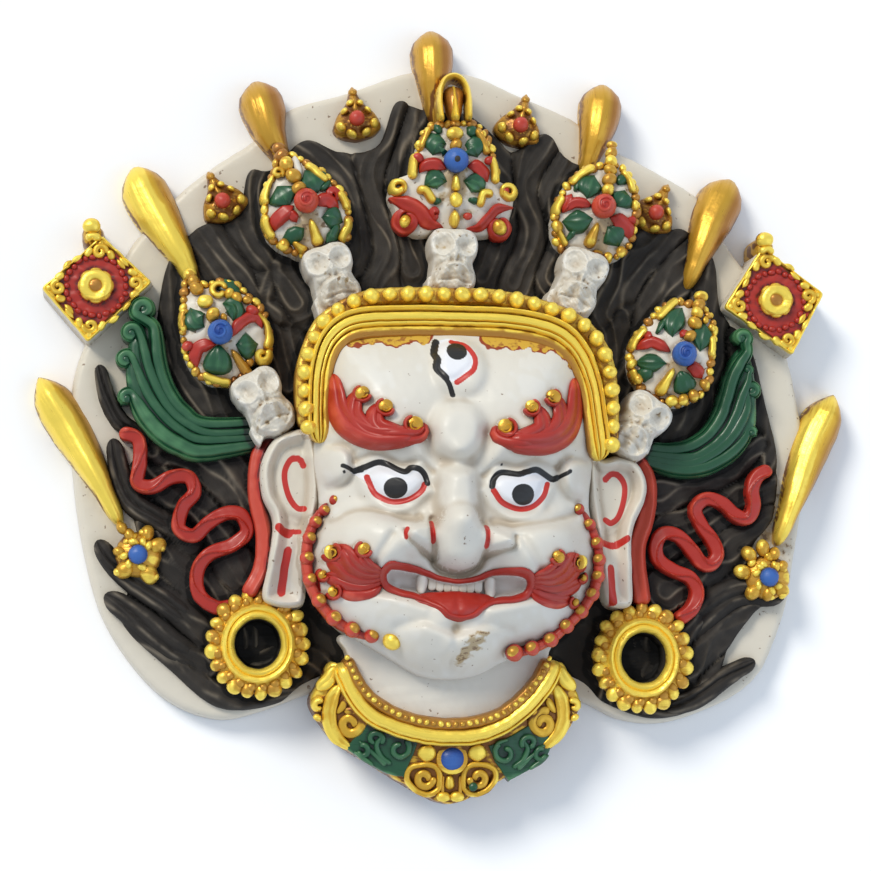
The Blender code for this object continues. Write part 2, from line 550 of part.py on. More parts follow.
def carve_head(carving):
    """The face with brows, moustaches, lips and the beaded beard line."""
    carving.relief("head", HEAD, HEAD_CENTRE, face_height, 17, 60)
    ridge = [(1.0, -0.4), (0.6, 0.8), (0.0, 1.0), (-0.6, 0.8), (-1.0, -0.4)]
    for number, route in enumerate(BROWS):
        rows = [(x, y, on_face(x, y), half, 2.2) for (x, y), half in zip(route, BROW_HALF_WIDTHS)]
        carving.stroke(f"brow_{number}", rows, ridge, 10)
    for number, (x, y, radius) in enumerate(BROW_CURLS):
        carving.bead(f"brow_curl_{number}", x, y, on_face(x, y) + 0.8, radius)
    for number, route in enumerate(MOUSTACHES):
        rows = [(x, y, on_face(x, y), half, 2.0)
                for (x, y), half in zip(route, MOUSTACHE_HALF_WIDTHS)]
        carving.stroke(f"moustache_{number}", rows, ridge, 6)
    for number, (x, y) in enumerate(MOUSTACHE_CURLS):
        carving.bead(f"moustache_curl_{number}", x, y, on_face(x, y) + 0.8, 1.9)
    lips = smooth(LIPS, 26, closed=True)
    for number, points in enumerate((lips[:14], np.vstack([lips[13:], lips[:1]]))):
        rows = [(x, y, on_face(x, y), 0.9, 1.8) for x, y in points]
        carving.stroke(f"lip_{number}", rows, FLAT_SECTION, 14)
    for side, route in enumerate(BEARD):
        for number, (x, y) in enumerate(smooth(route, BEARD_BEADS)):
            carving.bead(f"beard_bead_{side}_{number}", x, y, JAW_HEIGHT + 2.0, 2.0)


def ear_height(_x, _y, reach):
    """The height of an ear: a rolled rim round a sunk shell."""
    return EAR_HEIGHT - (3.6 if reach < 0.75 else 0.0) - (1.5 if reach > 0.95 else 0.0)


def carve_ears(carving):
    """Long ears with a rolled rim, and their lobes."""
    for side, (x, y, half_width, half_height, turn) in enumerate(EARS):
        shell = [(half_width * cos(a), half_height * sin(a))
                 for a in np.linspace(0, 2 * pi, 12, endpoint=False)]
        carving.relief(f"ear_{side}", turned(shell, x, y, radians(turn)), (x, y), ear_height, 6, 18)
        rows = [(px, py, LOBE_HEIGHT, half, 6.0) for px, py, half in LOBES[side]]
        carving.stroke(f"lobe_{side}", rows, FLAT_SECTION, 4)


# Rows of x, y and the half width and half height of the border.
EARRINGS = [(-50, -61, 12.6, 13.4), (53, -65, 12.2, 13.6)]
EARRING_SCALLOPS = 20
# Share of the way out and height there: the blind hollow, the ring and the border.
EARRING_STEPS = ((0.45, 12.5), (0.52, EARRING_HEIGHT), (0.74, EARRING_HEIGHT), (0.8, 15.5), (1.0, 15.8))


def earring_height(_x, _y, reach):
    """The height of an earring's face, read between its steps."""
    return float(np.interp(reach, *zip(*EARRING_STEPS)))


def carve_earrings(carving):
    """Round earrings: a raised ring about a blind hollow, in a scalloped border."""
    for side, (x, y, across, down) in enumerate(EARRINGS):
        border = []
        for k in range(2 * EARRING_SCALLOPS):
            reach = 1.0 if k % 2 == 0 else 0.9
            angle = pi * k / EARRING_SCALLOPS
            border.append((across * reach * cos(angle), down * reach * sin(angle)))
        carving.relief(f"earring_{side}", turned(border, x, y, 0.0), (x, y), earring_height, 7,
                       2 * EARRING_SCALLOPS)


# ---------------------------------------------------------------- neck and collar

NECK = [(-24, -58), (-26, -64), (-21, -74), (-11, -82), (1, -84), (12.5, -82), (22, -74),
        (26.5, -64), (24, -58)]
COLLAR = [(-27, -65.5), (-24, -73), (-16, -81), (-7, -85.5), (1, -86.5), (9, -85.5), (18, -81),
          (25, -73), (28, -65.5)]
COLLAR_BACKING = [(-29, -64), (-36, -77), (-31.5, -84), (-23, -91.5), (-13, -97.5), (-5, -102), (1, -103.5),
                  (7, -102), (15, -97.5), (24, -91.5), (32, -84), (36, -77), (30, -64), (0, -60)]
# Rows of x, y and half width of the border below the roll.
COLLAR_BORDER = [(-32, -72.5, 3.0), (-30, -81, 5.0), (-21, -88, 6.2), (-10, -93.5, 7.2), (1, -95.5, 8.0),
                 (12, -93.5, 7.2), (22, -88, 6.2), (31, -81, 5.0), (33, -72.5, 3.0)]
COLLAR_SCROLLS = [(-31.5, -76, 3.6), (-29, -84, 3.2), (-6, -98, 3.4), (8, -98, 3.4), (30, -84, 3.2),
                  (32, -76, 3.6)]


def carve_collar(carving):
    """The neck and the gilded collar with its carved outer border and centre gem."""
    carving.relief("neck", NECK, (0.5, -70), lambda x, y, reach: NECK_HEIGHT - 2.0 * reach ** 2, 2, 20)
    carving.relief("collar_backing", COLLAR_BACKING, (1.0, -80.0), lambda x, y, reach: COLLAR_BACK_HEIGHT,
                   2, 24)
    rows = [(x, y, COLLAR_HEIGHT - 4.0, 3.4, 5.2) for x, y in COLLAR]
    carving.stroke("collar_roll", rows, [(1.0, 0.5), (0.7, 1.0), (0.1, 0.75), (-0.5, 0.95), (-1.0, 0.5)], 18)
    rows = [(x, y, COLLAR_HEIGHT - 8.0, half, 4.6) for x, y, half in COLLAR_BORDER]
    section = [(1.0, 0.4), (0.6, 0.85), (0.0, 1.0), (-0.6, 0.85), (-1.0, 0.4)]
    carving.stroke("collar_border", rows, section, 18)
    carving.bead("collar_gem", 1, -91.5, COLLAR_HEIGHT - 3.0, 3.8)
    for number, (x, y, radius) in enumerate(COLLAR_SCROLLS):
        carving.bead(f"collar_scroll_{number}", x, y, COLLAR_HEIGHT - 5.5, radius)


# ---------------------------------------------------------------- casting

def plaster(name):
    """Cream painted plaster."""
    material = bpy.data.materials.new(name)
    material.use_nodes = True
    shader = material.node_tree.nodes["Principled BSDF"]
    shader.inputs["Base Color"].default_value = CREAM
    shader.inputs["Roughness"].default_value = 0.6
    shader.inputs["Metallic"].default_value = 0.0
    return material


def triangle_count(shape):
    """How many triangles an object has with its modifiers."""
    bpy.context.view_layer.update()
    mesh = bpy.data.meshes.new_from_object(shape.evaluated_get(bpy.context.evaluated_depsgraph_get()))
    total = sum(len(face.vertices) - 2 for face in mesh.polygons)
    bpy.data.meshes.remove(mesh)
    return total


def cast(carving):
    """Joins the helper solids, thins the mesh and cuts the back flat at the origin's plane."""
    mask = carving.collection.objects["plate"]
    carving.collection.objects.unlink(mask)
    model = bpy.data.collections.new("bhairab_mask")
    bpy.context.scene.collection.children.link(model)
    model.objects.link(mask)
    mask.name = "mask"
    mask.hide_render = False
    mask.display_type = "TEXTURED"

    # Every helper is a closed solid, as the MANIFOLD solver needs.
    union = mask.modifiers.new("join_carving", "BOOLEAN")
    union.operation = "UNION"
    union.operand_type = "COLLECTION"
    union.collection = carving.collection
    union.solver = "MANIFOLD"

    bpy.ops.mesh.primitive_cube_add(size=1.0, location=(0.0, 0.0, -CUTTER_DEPTH / 2))
    floor = bpy.context.active_object
    floor.name = "floor_cutter"
    floor.scale = (CUTTER_SIDE, CUTTER_SIDE, CUTTER_DEPTH)
    floor.hide_render = True
    floor.display_type = "WIRE"

    blend = mask.modifiers.new("soften_joins", "REMESH")
    blend.mode = "VOXEL"
    blend.voxel_size = BLEND * MM
    thin = mask.modifiers.new("thin_out", "DECIMATE")
    thin.ratio = min(1.0, TRIANGLES_KEPT / triangle_count(mask))
    flat = mask.modifiers.new("flat_back", "BOOLEAN")
    flat.operation = "DIFFERENCE"
    flat.object = floor
    flat.solver = "MANIFOLD"
    mask.data.materials.append(plaster("painted_plaster"))
    return mask


def main():
    """Builds the whole mask."""
    for old in list(bpy.data.objects):
        bpy.data.objects.remove(old)
    carving = Carving("carving")
    carve_plate(carving)
    carve_hair(carving)
    carve_buds(carving)
    carve_florets(carving)
    carve_plaques(carving)
    carve_crown(carving)
    carve_skulls(carving)
    carve_jewels(carving)
    carve_plumes(carving)
    carve_ribbons(carving)
    carve_head(carving)
    carve_ears(carving)
    carve_earrings(carving)
    carve_collar(carving)
    cast(carving)


main()
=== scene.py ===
"""A bhairab mask: a wrathful three-eyed deity, cast in plaster, painted by hand and lying on its back.

The casting is one CAD node, "mask". Here it is built again form by form at the same size, in
millimetres from the same origin: +X to the viewer's right, +Y to the top of the mask, +Z out of
the face. Every form belongs to a piece, and every piece rides on the one body.
"""

import logging
from collections.abc import Callable, Sequence
from dataclasses import dataclass
from enum import Enum
from math import atan2, cos, hypot, pi, radians, sin

import bpy
import numpy as np
from mathutils import Matrix, Vector


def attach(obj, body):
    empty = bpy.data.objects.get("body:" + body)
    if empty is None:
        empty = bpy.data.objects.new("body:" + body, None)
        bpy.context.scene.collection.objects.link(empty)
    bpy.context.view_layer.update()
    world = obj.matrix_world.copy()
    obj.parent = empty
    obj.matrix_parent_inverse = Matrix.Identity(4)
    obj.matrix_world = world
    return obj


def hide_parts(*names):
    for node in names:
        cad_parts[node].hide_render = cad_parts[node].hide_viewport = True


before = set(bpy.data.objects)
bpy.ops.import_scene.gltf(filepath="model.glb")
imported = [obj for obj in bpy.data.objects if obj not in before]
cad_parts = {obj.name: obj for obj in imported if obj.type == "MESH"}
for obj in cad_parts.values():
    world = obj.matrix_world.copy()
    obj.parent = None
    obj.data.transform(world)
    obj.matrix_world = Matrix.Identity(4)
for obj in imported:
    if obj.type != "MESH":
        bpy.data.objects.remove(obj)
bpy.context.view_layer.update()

log = logging.getLogger("bhairab_mask")

Array = np.ndarray
Route = Sequence[tuple[float, ...]]
Spot = tuple[float, float]
Triple = tuple[float, float, float]
Coats = dict[str, Array]
Piece = bpy.types.Object
Socket = bpy.types.NodeSocket

MM = 0.001
BODY = "root"
SMOOTH_ANGLE = radians(48.0)
HAND = 0.07


class Paint(Enum):
    """The paints of the mask; each value is the record's slot name."""

    WHITE = "chalk_white"
    BLACK = "hair_black"
    GOLD = "gold_paint"
    RED = "cinnabar_red"
    GREEN = "leaf_green"
    BLUE = "bead_blue"


WHITE, BLACK, GOLD, RED, GREEN, BLUE = Paint


class Swell(Enum):
    """How a stroke's width changes between its two ends."""

    EVEN = "even"
    LEAF = "leaf"
    BLADE = "blade"
    FAN = "fan"
    LOCK = "lock"

    def share(self, along: Array) -> Array:
        """The share of the full width at each place from 0, the start, to 1, the end."""
        if self is Swell.LEAF:
            return np.maximum(0.12, np.sin(pi * np.clip(along, 0.02, 0.98)) ** 0.8)
        if self is Swell.BLADE:
            return np.minimum(1.0, 0.2 + 3.0 * np.minimum(along, 1.0 - along))
        if self is Swell.FAN:
            return 0.35 + 0.65 * along ** 0.8
        if self is Swell.LOCK:
            return 0.45 + 0.55 * np.sin(pi * np.clip(0.2 + 0.66 * along, 0.0, 1.0)) ** 1.2
        return np.ones_like(along)


EVEN, LEAF, BLADE, FAN, LOCK = Swell


# ---- curves on the mask's plane

def trace(route: Route, closed: bool = False) -> tuple[Array, Array]:
    """A fine smooth curve through the points of a route.

    Args:
        route: rows of x, y and any further values that change along the route.
        closed: whether the last point joins the first.

    Returns:
        The rows of the fine curve, and the length walked to each of them.
    """
    rows = np.array(route, dtype=float)
    if closed:
        rows = np.vstack([rows[-1], rows, rows[0], rows[1]])
    else:
        rows = np.vstack([2 * rows[0] - rows[1], rows, 2 * rows[-1] - rows[-2]])
    before, start, end, after = rows[:-3, None], rows[1:-2, None], rows[2:-1, None], rows[3:, None]
    t = np.linspace(0.0, 1.0, 16, endpoint=False)[None, :, None]
    fine = 0.5 * (2 * start + (end - before) * t
                  + (2 * before - 5 * start + 4 * end - after) * t ** 2
                  + (3 * start - before - 3 * end + after) * t ** 3)
    fine = np.vstack([fine.reshape(-1, rows.shape[1]), rows[-2]])
    steps = np.hypot(*np.diff(fine[:, :2], axis=0).T)
    return fine, np.concatenate([[0.0], np.cumsum(steps)])


def read_at(fine: Array, walked: Array, stops: Array) -> Array:
    """The rows of a traced curve at the given lengths along it."""
    return np.column_stack([np.interp(stops, walked, column) for column in fine.T])


def evenly(route: Route, pitch: float, closed: bool = False) -> Array:
    """Points along a smooth route, a whole number of steps of about the pitch apart."""
    fine, walked = trace(route, closed)
    count = max(2, round(walked[-1] / pitch))
    stops = np.linspace(0.0, walked[-1], count + 1)
    return read_at(fine, walked, stops[:-1] if closed else stops)


def coil(x: float, y: float, outer: float, inner: float, start: float, turns: float) -> Route:
    """A spiral's points, from the outer radius to the inner one.

    Args:
        x: centre across.
        y: centre up.
        outer: radius where the spiral starts.
        inner: radius where it ends.
        start: bearing of the start, in degrees.
        turns: turns taken, below zero for clockwise.

    Returns:
        The points of the spiral.
    """
    count = max(5, int(abs(turns) * 9))
    points = []
    for k in range(count + 1):
        radius = outer + (inner - outer) * k / count
        bearing = radians(start + 360.0 * turns * k / count)
        points.append((x + radius * cos(bearing), y + radius * sin(bearing)))
    return points


def placed(points: Route, x: float, y: float, angle: float = 0.0, scale: float = 1.0) -> Route:
    """Local points turned by an angle in degrees, scaled and moved to x, y; further values are kept."""
    c, s = cos(radians(angle)), sin(radians(angle))
    return [(x + scale * (u * c - v * s), y + scale * (u * s + v * c), *rest) for u, v, *rest in points]


def distance_to(points: Array, route: Route, limit: float, closed: bool = False,
                pitch: float = 0.5) -> Array:
    """How far points lie from a smooth route.

    Args:
        points: rows of x, y.
        route: the route's points.
        limit: distances beyond this are returned as this.
        closed: whether the route is a loop.
        pitch: length of the straight bits that stand for the curve.

    Returns:
        One distance for each point.
    """
    line = evenly(route, pitch, closed)[:, :2]
    if closed:
        line = np.vstack([line, line[0]])
    found = np.full(len(points), limit)
    low, high = line.min(axis=0) - limit, line.max(axis=0) + limit
    near = np.flatnonzero(((points > low) & (points < high)).all(axis=1))
    close = points[near]
    best = found[near]
    for start, end in zip(line, line[1:]):
        span = end - start
        share = np.clip((close - start) @ span / max(span @ span, 1e-12), 0.0, 1.0)
        best = np.minimum(best, np.hypot(*(close - start - share[:, None] * span).T))
    found[near] = best
    return found


def within(points: Array, outline: Route) -> Array:
    """Whether each point lies inside a smooth closed outline."""
    edge = evenly(outline, 0.7, closed=True)[:, :2]
    x, y = points.T
    inside = np.zeros(len(points), dtype=bool)
    for (ax, ay), (bx, by) in zip(edge, np.roll(edge, -1, axis=0)):
        crosses = (ay > y) != (by > y)
        slope = (bx - ax) / (by - ay) if by != ay else 0.0
        inside ^= crosses & (x < ax + (y - ay) * slope)
    return inside


def depth_inside(points: Array, outline: Route, limit: float) -> Array:
    """How far inside a closed outline points lie, below zero outside, kept within the limit."""
    gap = distance_to(points, outline, limit, closed=True)
    return np.where(within(points, outline), gap, -gap)


def height_at(ground: Callable[[Array], Array], x: float, y: float) -> float:
    """The height of a ground at one place."""
    return float(ground(np.array([[x, y]]))[0])


def soft_step(value: Array, low: float, high: float) -> Array:
    """A smooth rise from 0 at low to 1 at high."""
    t = np.clip((value - low) / (high - low), 0.0, 1.0)
    return t * t * (3.0 - 2.0 * t)


def ripple(points: Array, size: float, seed: int) -> Array:
    """A gentle uneven swelling from -1 to 1, with lumps of about the given size."""
    draw = np.random.default_rng(seed)
    total = np.zeros(len(points))
    for _ in range(7):
        bearing, phase = draw.uniform(0.0, 2 * pi, 2)
        wave = 2 * pi / (size * draw.uniform(0.7, 1.9))
        total += np.sin(wave * (points[:, 0] * cos(bearing) + points[:, 1] * sin(bearing)) + phase)
    return total / 3.5


# ---- cross sections of strokes

Profile = Callable[[Array, Array], Array]


def round_top(along: Array, across: Array) -> Array:
    """A half-round section."""
    return np.sqrt(np.clip(1.0 - across ** 2, 0.0, 1.0)) + 0.0 * along


def flat_top(along: Array, across: Array) -> Array:
    """A flat strip with rounded edges."""
    return (1.0 - across ** 6) ** 0.5 + 0.0 * along


def ribbed(ribs: int, depth: float) -> Profile:
    """A half-round section with ribs that run along the stroke.

    Args:
        ribs: how many ribs lie side by side.
        depth: how deep the furrows are, as a share of the height.

    Returns:
        The section.
    """
    def profile(along: Array, across: Array) -> Array:
        """The ribbed section's height."""
        furrow = 0.5 - 0.5 * np.cos(pi * ribs * (across + 1.0))
        return np.clip(1.0 - across ** 4, 0.0, 1.0) ** 0.5 * (1.0 - depth + depth * furrow ** 0.7) + 0.0 * along
    return profile


def steps_across(rows: Route) -> Profile:
    """A section drawn by a few rows of place across and height, joined smoothly."""
    place, height = np.array(rows).T

    def profile(along: Array, across: Array) -> Array:
        """The drawn section's height."""
        return np.interp(across, place, height) + 0.0 * along
    return profile


def twisting(turns: float, start: float) -> Profile:
    """A flat tape with one thin crease that wanders from edge to edge as the tape twists.

    Args:
        turns: how often it leans over and back.
        start: where in the lean it starts, in turns.

    Returns:
        The section.
    """
    def profile(along: Array, across: Array) -> Array:
        """The leaning tape's height."""
        lean = np.sin(2 * pi * (turns * along + start))
        crease = np.exp(-((across - 0.72 * lean) / 0.13) ** 2)
        return (1.0 - across ** 8) ** 0.5 * (0.72 + 0.2 * lean * across + 0.2 * crease)
    return profile


CREASED = steps_across(
    ((-1, 0.3), (-0.85, 0.66), (-0.3, 0.74), (0.2, 0.95), (0.42, 1), (0.7, 0.74), (1, 0.3)))


# ---- patterns made with modelling tools

@dataclass
class Pattern:
    """A small form that is modelled once and set in many places."""

    points: Array
    faces: list[Array]


class Bench:
    """Models the patterns at unit size with Blender's own tools."""

    def __init__(self) -> None:
        """Makes the patterns that several pieces share."""
        self.bead = self.ball(18, 12)
        self.seed = self.ball(10, 7)
        self.cup = self.turned([(0.0, 0.55), (0.55, 0.62), (0.78, 0.9), (1.0, 0.8), (1.06, 0.4), (1.0, 0.0),
                                (0.0, 0.0)], 24)
        self.button = self.turned([(0.0, 0.75), (0.32, 0.68), (0.42, 0.86), (0.52, 1.0), (0.86, 1.0),
                                   (0.98, 0.8),
                                   (1.0, 0.0), (0.0, 0.0)], 40)

    def read(self, shape: Piece) -> Pattern:
        """Takes a modelled object's mesh as a pattern and removes the object."""
        mesh = shape.data
        points = np.zeros(len(mesh.vertices) * 3)
        mesh.vertices.foreach_get("co", points)
        by_size: dict[int, list[list[int]]] = {}
        for polygon in mesh.polygons:
            by_size.setdefault(len(polygon.vertices), []).append(list(polygon.vertices))
        bpy.data.objects.remove(shape)
        bpy.data.meshes.remove(mesh)
        return Pattern(points.reshape(-1, 3), [np.array(rows) for rows in by_size.values()])

    def ball(self, segments: int, rings: int) -> Pattern:
        """A ball a little flattened below, as a bead pressed into clay.

        Args:
            segments: facets round the ball.
            rings: facets from pole to pole.

        Returns:
            The pattern, of radius 1.
        """
        bpy.ops.object.select_all(action="DESELECT")
        bpy.ops.mesh.primitive_uv_sphere_add(segments=segments, ring_count=rings, radius=1.0)
        shape = bpy.context.active_object
        bpy.ops.object.mode_set(mode="EDIT")
        bpy.ops.mesh.select_all(action="DESELECT")
        bpy.ops.object.mode_set(mode="OBJECT")
        for vertex in shape.data.vertices:
            vertex.select = vertex.co.z < -0.3
        bpy.ops.object.mode_set(mode="EDIT")
        bpy.ops.transform.resize(value=(1.12, 1.12, 1.0))
        bpy.ops.object.mode_set(mode="OBJECT")
        return self.read(shape)

    def turned(self, profile: Route, steps: int) -> Pattern:
        """A turned form.

        Args:
            profile: rows of radius and height, from the top's middle round to the foot's.
            steps: facets round the form.

        Returns:
            The pattern, about the Z axis.
        """
        mesh = bpy.data.meshes.new("profile")
        points = [(radius, 0.0, height) for radius, height in profile]
        mesh.from_pydata(points, [(k, k + 1) for k in range(len(points) - 1)], [])
        shape = bpy.data.objects.new("profile", mesh)
        bpy.context.scene.collection.objects.link(shape)
        bpy.ops.object.select_all(action="DESELECT")
        shape.select_set(True)
        bpy.context.view_layer.objects.active = shape
        bpy.ops.object.mode_set(mode="EDIT")
        bpy.ops.mesh.select_all(action="SELECT")
        bpy.ops.mesh.spin(steps=steps, angle=2 * pi, center=(0.0, 0.0, 0.0), axis=(0.0, 0.0, 1.0))
        bpy.ops.mesh.select_all(action="SELECT")
        bpy.ops.mesh.remove_doubles(threshold=1e-4)
        bpy.ops.mesh.normals_make_consistent(inside=False)
        bpy.ops.object.mode_set(mode="OBJECT")
        return self.read(shape)


BENCH = Bench()


# ---- a piece in the making

Ground = float | Callable[[Array], Array]


def grid_faces(rows: int, columns: int, loop: bool) -> Array:
    """The four-sided faces of a sheet of points laid out in rows.

    Args:
        rows: how many rows of points.
        columns: points in a row.
        loop: whether each row closes on itself.

    Returns:
        One row of four point numbers for each face.
    """
    across = columns if loop else columns - 1
    row, column = np.meshgrid(np.arange(rows - 1), np.arange(across), indexing="ij")
    after = (column + 1) % columns
    near, far = row * columns, (row + 1) * columns
    corners = (near + column, near + after, far + after, far + column)
    return np.stack([corner.ravel() for corner in corners], axis=1)


class Clay:
    """Gathers the carved forms of one piece and makes its object."""

    def __init__(self, name: str, paint: Paint, hand: float = HAND) -> None:
        """Starts an empty piece, mainly of one paint, whose forms stray by about so many millimetres."""
        self.name = name
        self.paint = paint
        self.hand = hand
        self.points: list[Array] = []
        self.faces: list[Array] = []
        self.face_paints: list[Array] = []
        self.flows: list[Array] = []
        self.tints: list[Array] = []
        self.coats: list[Coats] = []
        self.paints: list[Paint] = [paint]
        self.total = 0

    def add(self, points: Array, faces: Sequence[Array], paint: Paint, flow: Array | None = None,
            tint: Array | float = 0.0, coats: Coats | None = None) -> None:
        """Adds one form.

        Args:
            points: rows of x, y, z in millimetres.
            faces: arrays of faces, each with its own number of corners.
            paint: what the form is painted with.
            flow: the form's own along, across and seed at each point, for brush strokes.
            tint: from 0 to 1, how warm the paint is.
            coats: further named values at each point.
        """
        if paint not in self.paints:
            self.paints.append(paint)
        for group in faces:
            self.faces.append(group + self.total)
            self.face_paints.append(np.full(len(group), self.paints.index(paint)))
        self.points.append(points)
        self.flows.append(points if flow is None else flow)
        self.tints.append(np.broadcast_to(tint, len(points)))
        self.coats.append(coats or {})
        self.total += len(points)

    def stamp(self, pattern: Pattern, paint: Paint, at: Triple,
              scale: float | Triple, turn: float = 0.0, tint: float = 0.0) -> None:
        """Sets a copy of a pattern.

        Args:
            pattern: the pattern.
            paint: what the copy is painted with.
            at: its place.
            scale: its size, the same all ways or one for each axis.
            turn: its turn about Z in degrees.
            tint: how warm its paint is.
        """
        c, s = cos(radians(turn)), sin(radians(turn))
        sized = pattern.points * np.broadcast_to(scale, 3)
        spun = sized @ np.array([[c, s, 0.0], [-s, c, 0.0], [0.0, 0.0, 1.0]])
        self.add(spun + np.array(at), pattern.faces, paint, tint=tint)

    def stroke(self, paint: Paint, route: Route, half: float, rise: float, ground: Ground, *,
               profile: Profile = round_top, swell: Swell = EVEN, sink: float = 1.2, tint: float = 0.0,
               side_tint_and_shade: float = 0.0, step: float = 0.7, across: int = 11) -> None:
        """A swept form with rounded ends that lies on a ground.

        Args:
            paint: what it is painted with.
            route: rows of x, y and, if given, the share of the width there.
            half: half of its full width.
            rise: how far it stands above the ground.
            ground: the height of the ground, or a function that reads it at rows of x, y.
            profile: its section.
            swell: how its width changes.
            sink: how far its foot reaches below the ground.
            tint: how warm the paint is.
            side_tint_and_shade: how much warmer and darker it gets towards its left-hand side, or below zero
                the right-hand one; on the buds this is painted shade on the side away from the light.
            step: length of its facets.
            across: points across its top.
        """
        fine, walked = trace(route)
        length = walked[-1]
        cap = min(half, 0.45 * length)
        bends = cap * (1.0 - np.cos(np.linspace(0.0, pi / 2, 5)[:-1]))
        body = np.linspace(cap, length - cap, max(2, int((length - 2 * cap) / step) + 2))
        stops = np.concatenate([bends, body, (length - bends)[::-1]])
        rows = read_at(fine, walked, stops)
        along = (stops / length)[:, None]
        room = np.clip(np.minimum(stops, length - stops) / cap, 0.0, 1.0)
        ending = np.maximum(np.sqrt(1.0 - (1.0 - room) ** 2), 0.04)
        share = swell.share(stops / length) * (rows[:, 2] if rows.shape[1] > 2 else 1.0)
        heading = np.gradient(rows[:, :2], axis=0)
        heading /= np.maximum(np.hypot(*heading.T), 1e-9)[:, None]
        place = -np.cos(np.linspace(0.0, pi, across))[None, :]
        reach = (half * share * ending)[:, None] * place
        x = rows[:, :1] - heading[:, 1:] * reach
        y = rows[:, 1:2] + heading[:, :1] * reach
        flat = np.column_stack([x.ravel(), y.ravel()])
        base = (ground(flat) if callable(ground) else np.full(len(flat), ground)).reshape(x.shape)
        top = base + rise * (ending * share ** 0.5)[:, None] * profile(along, place)
        x = np.hstack([x, x[:, -1:], x[:, :1]])
        y = np.hstack([y, y[:, -1:], y[:, :1]])
        z = np.hstack([top, base[:, -1:] - sink, base[:, :1] - sink])
        points = np.column_stack([x.ravel(), y.ravel(), z.ravel()])
        count, ring = z.shape
        ends = np.array([range(ring), range((count - 1) * ring, count * ring)])
        sideways = np.hstack([reach, reach[:, -1:], reach[:, :1]])
        # Towards one side the paint turns warmer and darker; on the buds this is painted shade on the side away
        # from the light.
        warmth = tint + abs(side_tint_and_shade) * np.clip(2.4 * np.sign(side_tint_and_shade) * sideways / half - 0.45, 0.0, 1.0)
        seed = np.full(len(points), 7.0 * len(self.points))
        flow = np.column_stack([np.repeat(stops, ring), sideways.ravel(), seed])
        coats = {"strand": np.abs(sideways).ravel()} if paint is BLACK else None
        self.add(points, [grid_faces(count, ring, True), ends], paint, flow, warmth.ravel(), coats)

    def relief(self, paint: Paint, outline: Route, centre: Spot,
               height: Callable[[Array, Array], Array], *, corners: int = 72, rings: int = 12,
               foot: float = 0.0,
               draft: float = 0.3, edge: float = 0.7, tint: float = 0.0,
               coats: Callable[[Array], Coats] | None = None,
               flow: Callable[[Array], Array] | None = None) -> None:
        """A form that fills a closed outline, with a rounded rim and walls down to its foot.

        Args:
            paint: what it is painted with.
            outline: the closed outline's points.
            centre: the point that its rings close on, inside the outline.
            height: reads the height at rows of x, y and at their reach, 0 at the centre and 1 at the rim.
            corners: points round the outline.
            rings: rings of points between the rim and the centre.
            foot: the height of its foot.
            draft: how far the foot stands out beyond the rim.
            edge: the rim's rounding.
            tint: how warm the paint is.
            coats: reads further named values at rows of x, y.
            flow: reads the way along and across the brush at rows of x, y.
        """
        fine, walked = trace(outline, closed=True)
        rim = read_at(fine, walked, np.linspace(0.0, walked[-1], corners, endpoint=False))[:, :2]
        middle = np.array(centre, dtype=float)
        outward = rim - middle
        radius = np.hypot(*outward.T)[:, None]
        outward /= radius
        insets = [edge * share for share in (0.0, 0.08, 0.3, 0.6)]
        flats = [rim - outward * inset for inset in insets]
        shares = np.linspace(1.0, 0.0, rings, endpoint=False)
        flats += [middle + outward * (radius - edge) * share for share in shares]
        flat = np.vstack(flats)
        reach = np.hypot(*(flat - middle).T) / np.tile(radius.ravel(), len(flats))
        inset = (1.0 - reach) * np.tile(radius.ravel(), len(flats))
        lip = edge * (1.0 - np.sqrt(1.0 - (1.0 - np.clip(inset / edge, 0.0, 1.0)) ** 2))
        z = height(flat, reach) - lip
        hub_z = height(middle[None, :], np.zeros(1))
        foot_ring = np.column_stack([rim + outward * draft, np.full(corners, foot)])
        points = np.vstack([foot_ring, np.column_stack([flat, z]), [*middle, hub_z[0]]])
        rows = len(flats) + 1
        last = (rows - 1) * corners
        fan = np.array([(last + k, last + (k + 1) % corners, len(points) - 1) for k in range(corners)])
        floor = np.arange(corners)[::-1][None, :]
        self.add(points, [grid_faces(rows, corners, True), fan, floor], paint,
                 flow(points[:, :2]) if flow else None,
                 tint, coats(points[:, :2]) if coats else None)

    def make(self) -> Piece:
        """Makes the piece's object, gives it its paints and lets it ride on the body."""
        mesh = bpy.data.meshes.new(self.name)
        points = self.strayed(np.vstack(self.points)) * MM
        mesh.vertices.add(len(points))
        mesh.vertices.foreach_set("co", points.astype(np.float32).ravel())
        corners = np.concatenate([group.ravel() for group in self.faces])
        sizes = np.concatenate([np.full(len(group), group.shape[1]) for group in self.faces])
        mesh.loops.add(len(corners))
        mesh.loops.foreach_set("vertex_index", corners.astype(np.int32))
        mesh.polygons.add(len(sizes))
        mesh.polygons.foreach_set("loop_start", np.concatenate([[0],
                                                                np.cumsum(sizes)[:-1]]).astype(np.int32))
        mesh.polygons.foreach_set("material_index", np.concatenate(self.face_paints).astype(np.int32))
        mesh.update(calc_edges=True)
        self.keep(mesh, "flow", np.vstack(self.flows))
        self.keep(mesh, "tint", np.concatenate(self.tints))
        for coat in sorted({name for coats in self.coats for name in coats}):
            values = [coats.get(coat, np.zeros(len(rows))) for coats, rows in zip(self.coats, self.points)]
            self.keep(mesh, coat, np.concatenate(values))
        mesh.validate()
        piece = bpy.data.objects.new(self.name, mesh)
        bpy.context.scene.collection.objects.link(piece)
        for paint in self.paints:
            mesh.materials.append(FINISHES[paint].material())
        bpy.ops.object.select_all(action="DESELECT")
        piece.select_set(True)
        bpy.context.view_layer.objects.active = piece
        bpy.ops.object.mode_set(mode="EDIT")
        bpy.ops.mesh.select_all(action="SELECT")
        bpy.ops.mesh.normals_make_consistent(inside=False)
        bpy.ops.object.mode_set(mode="OBJECT")
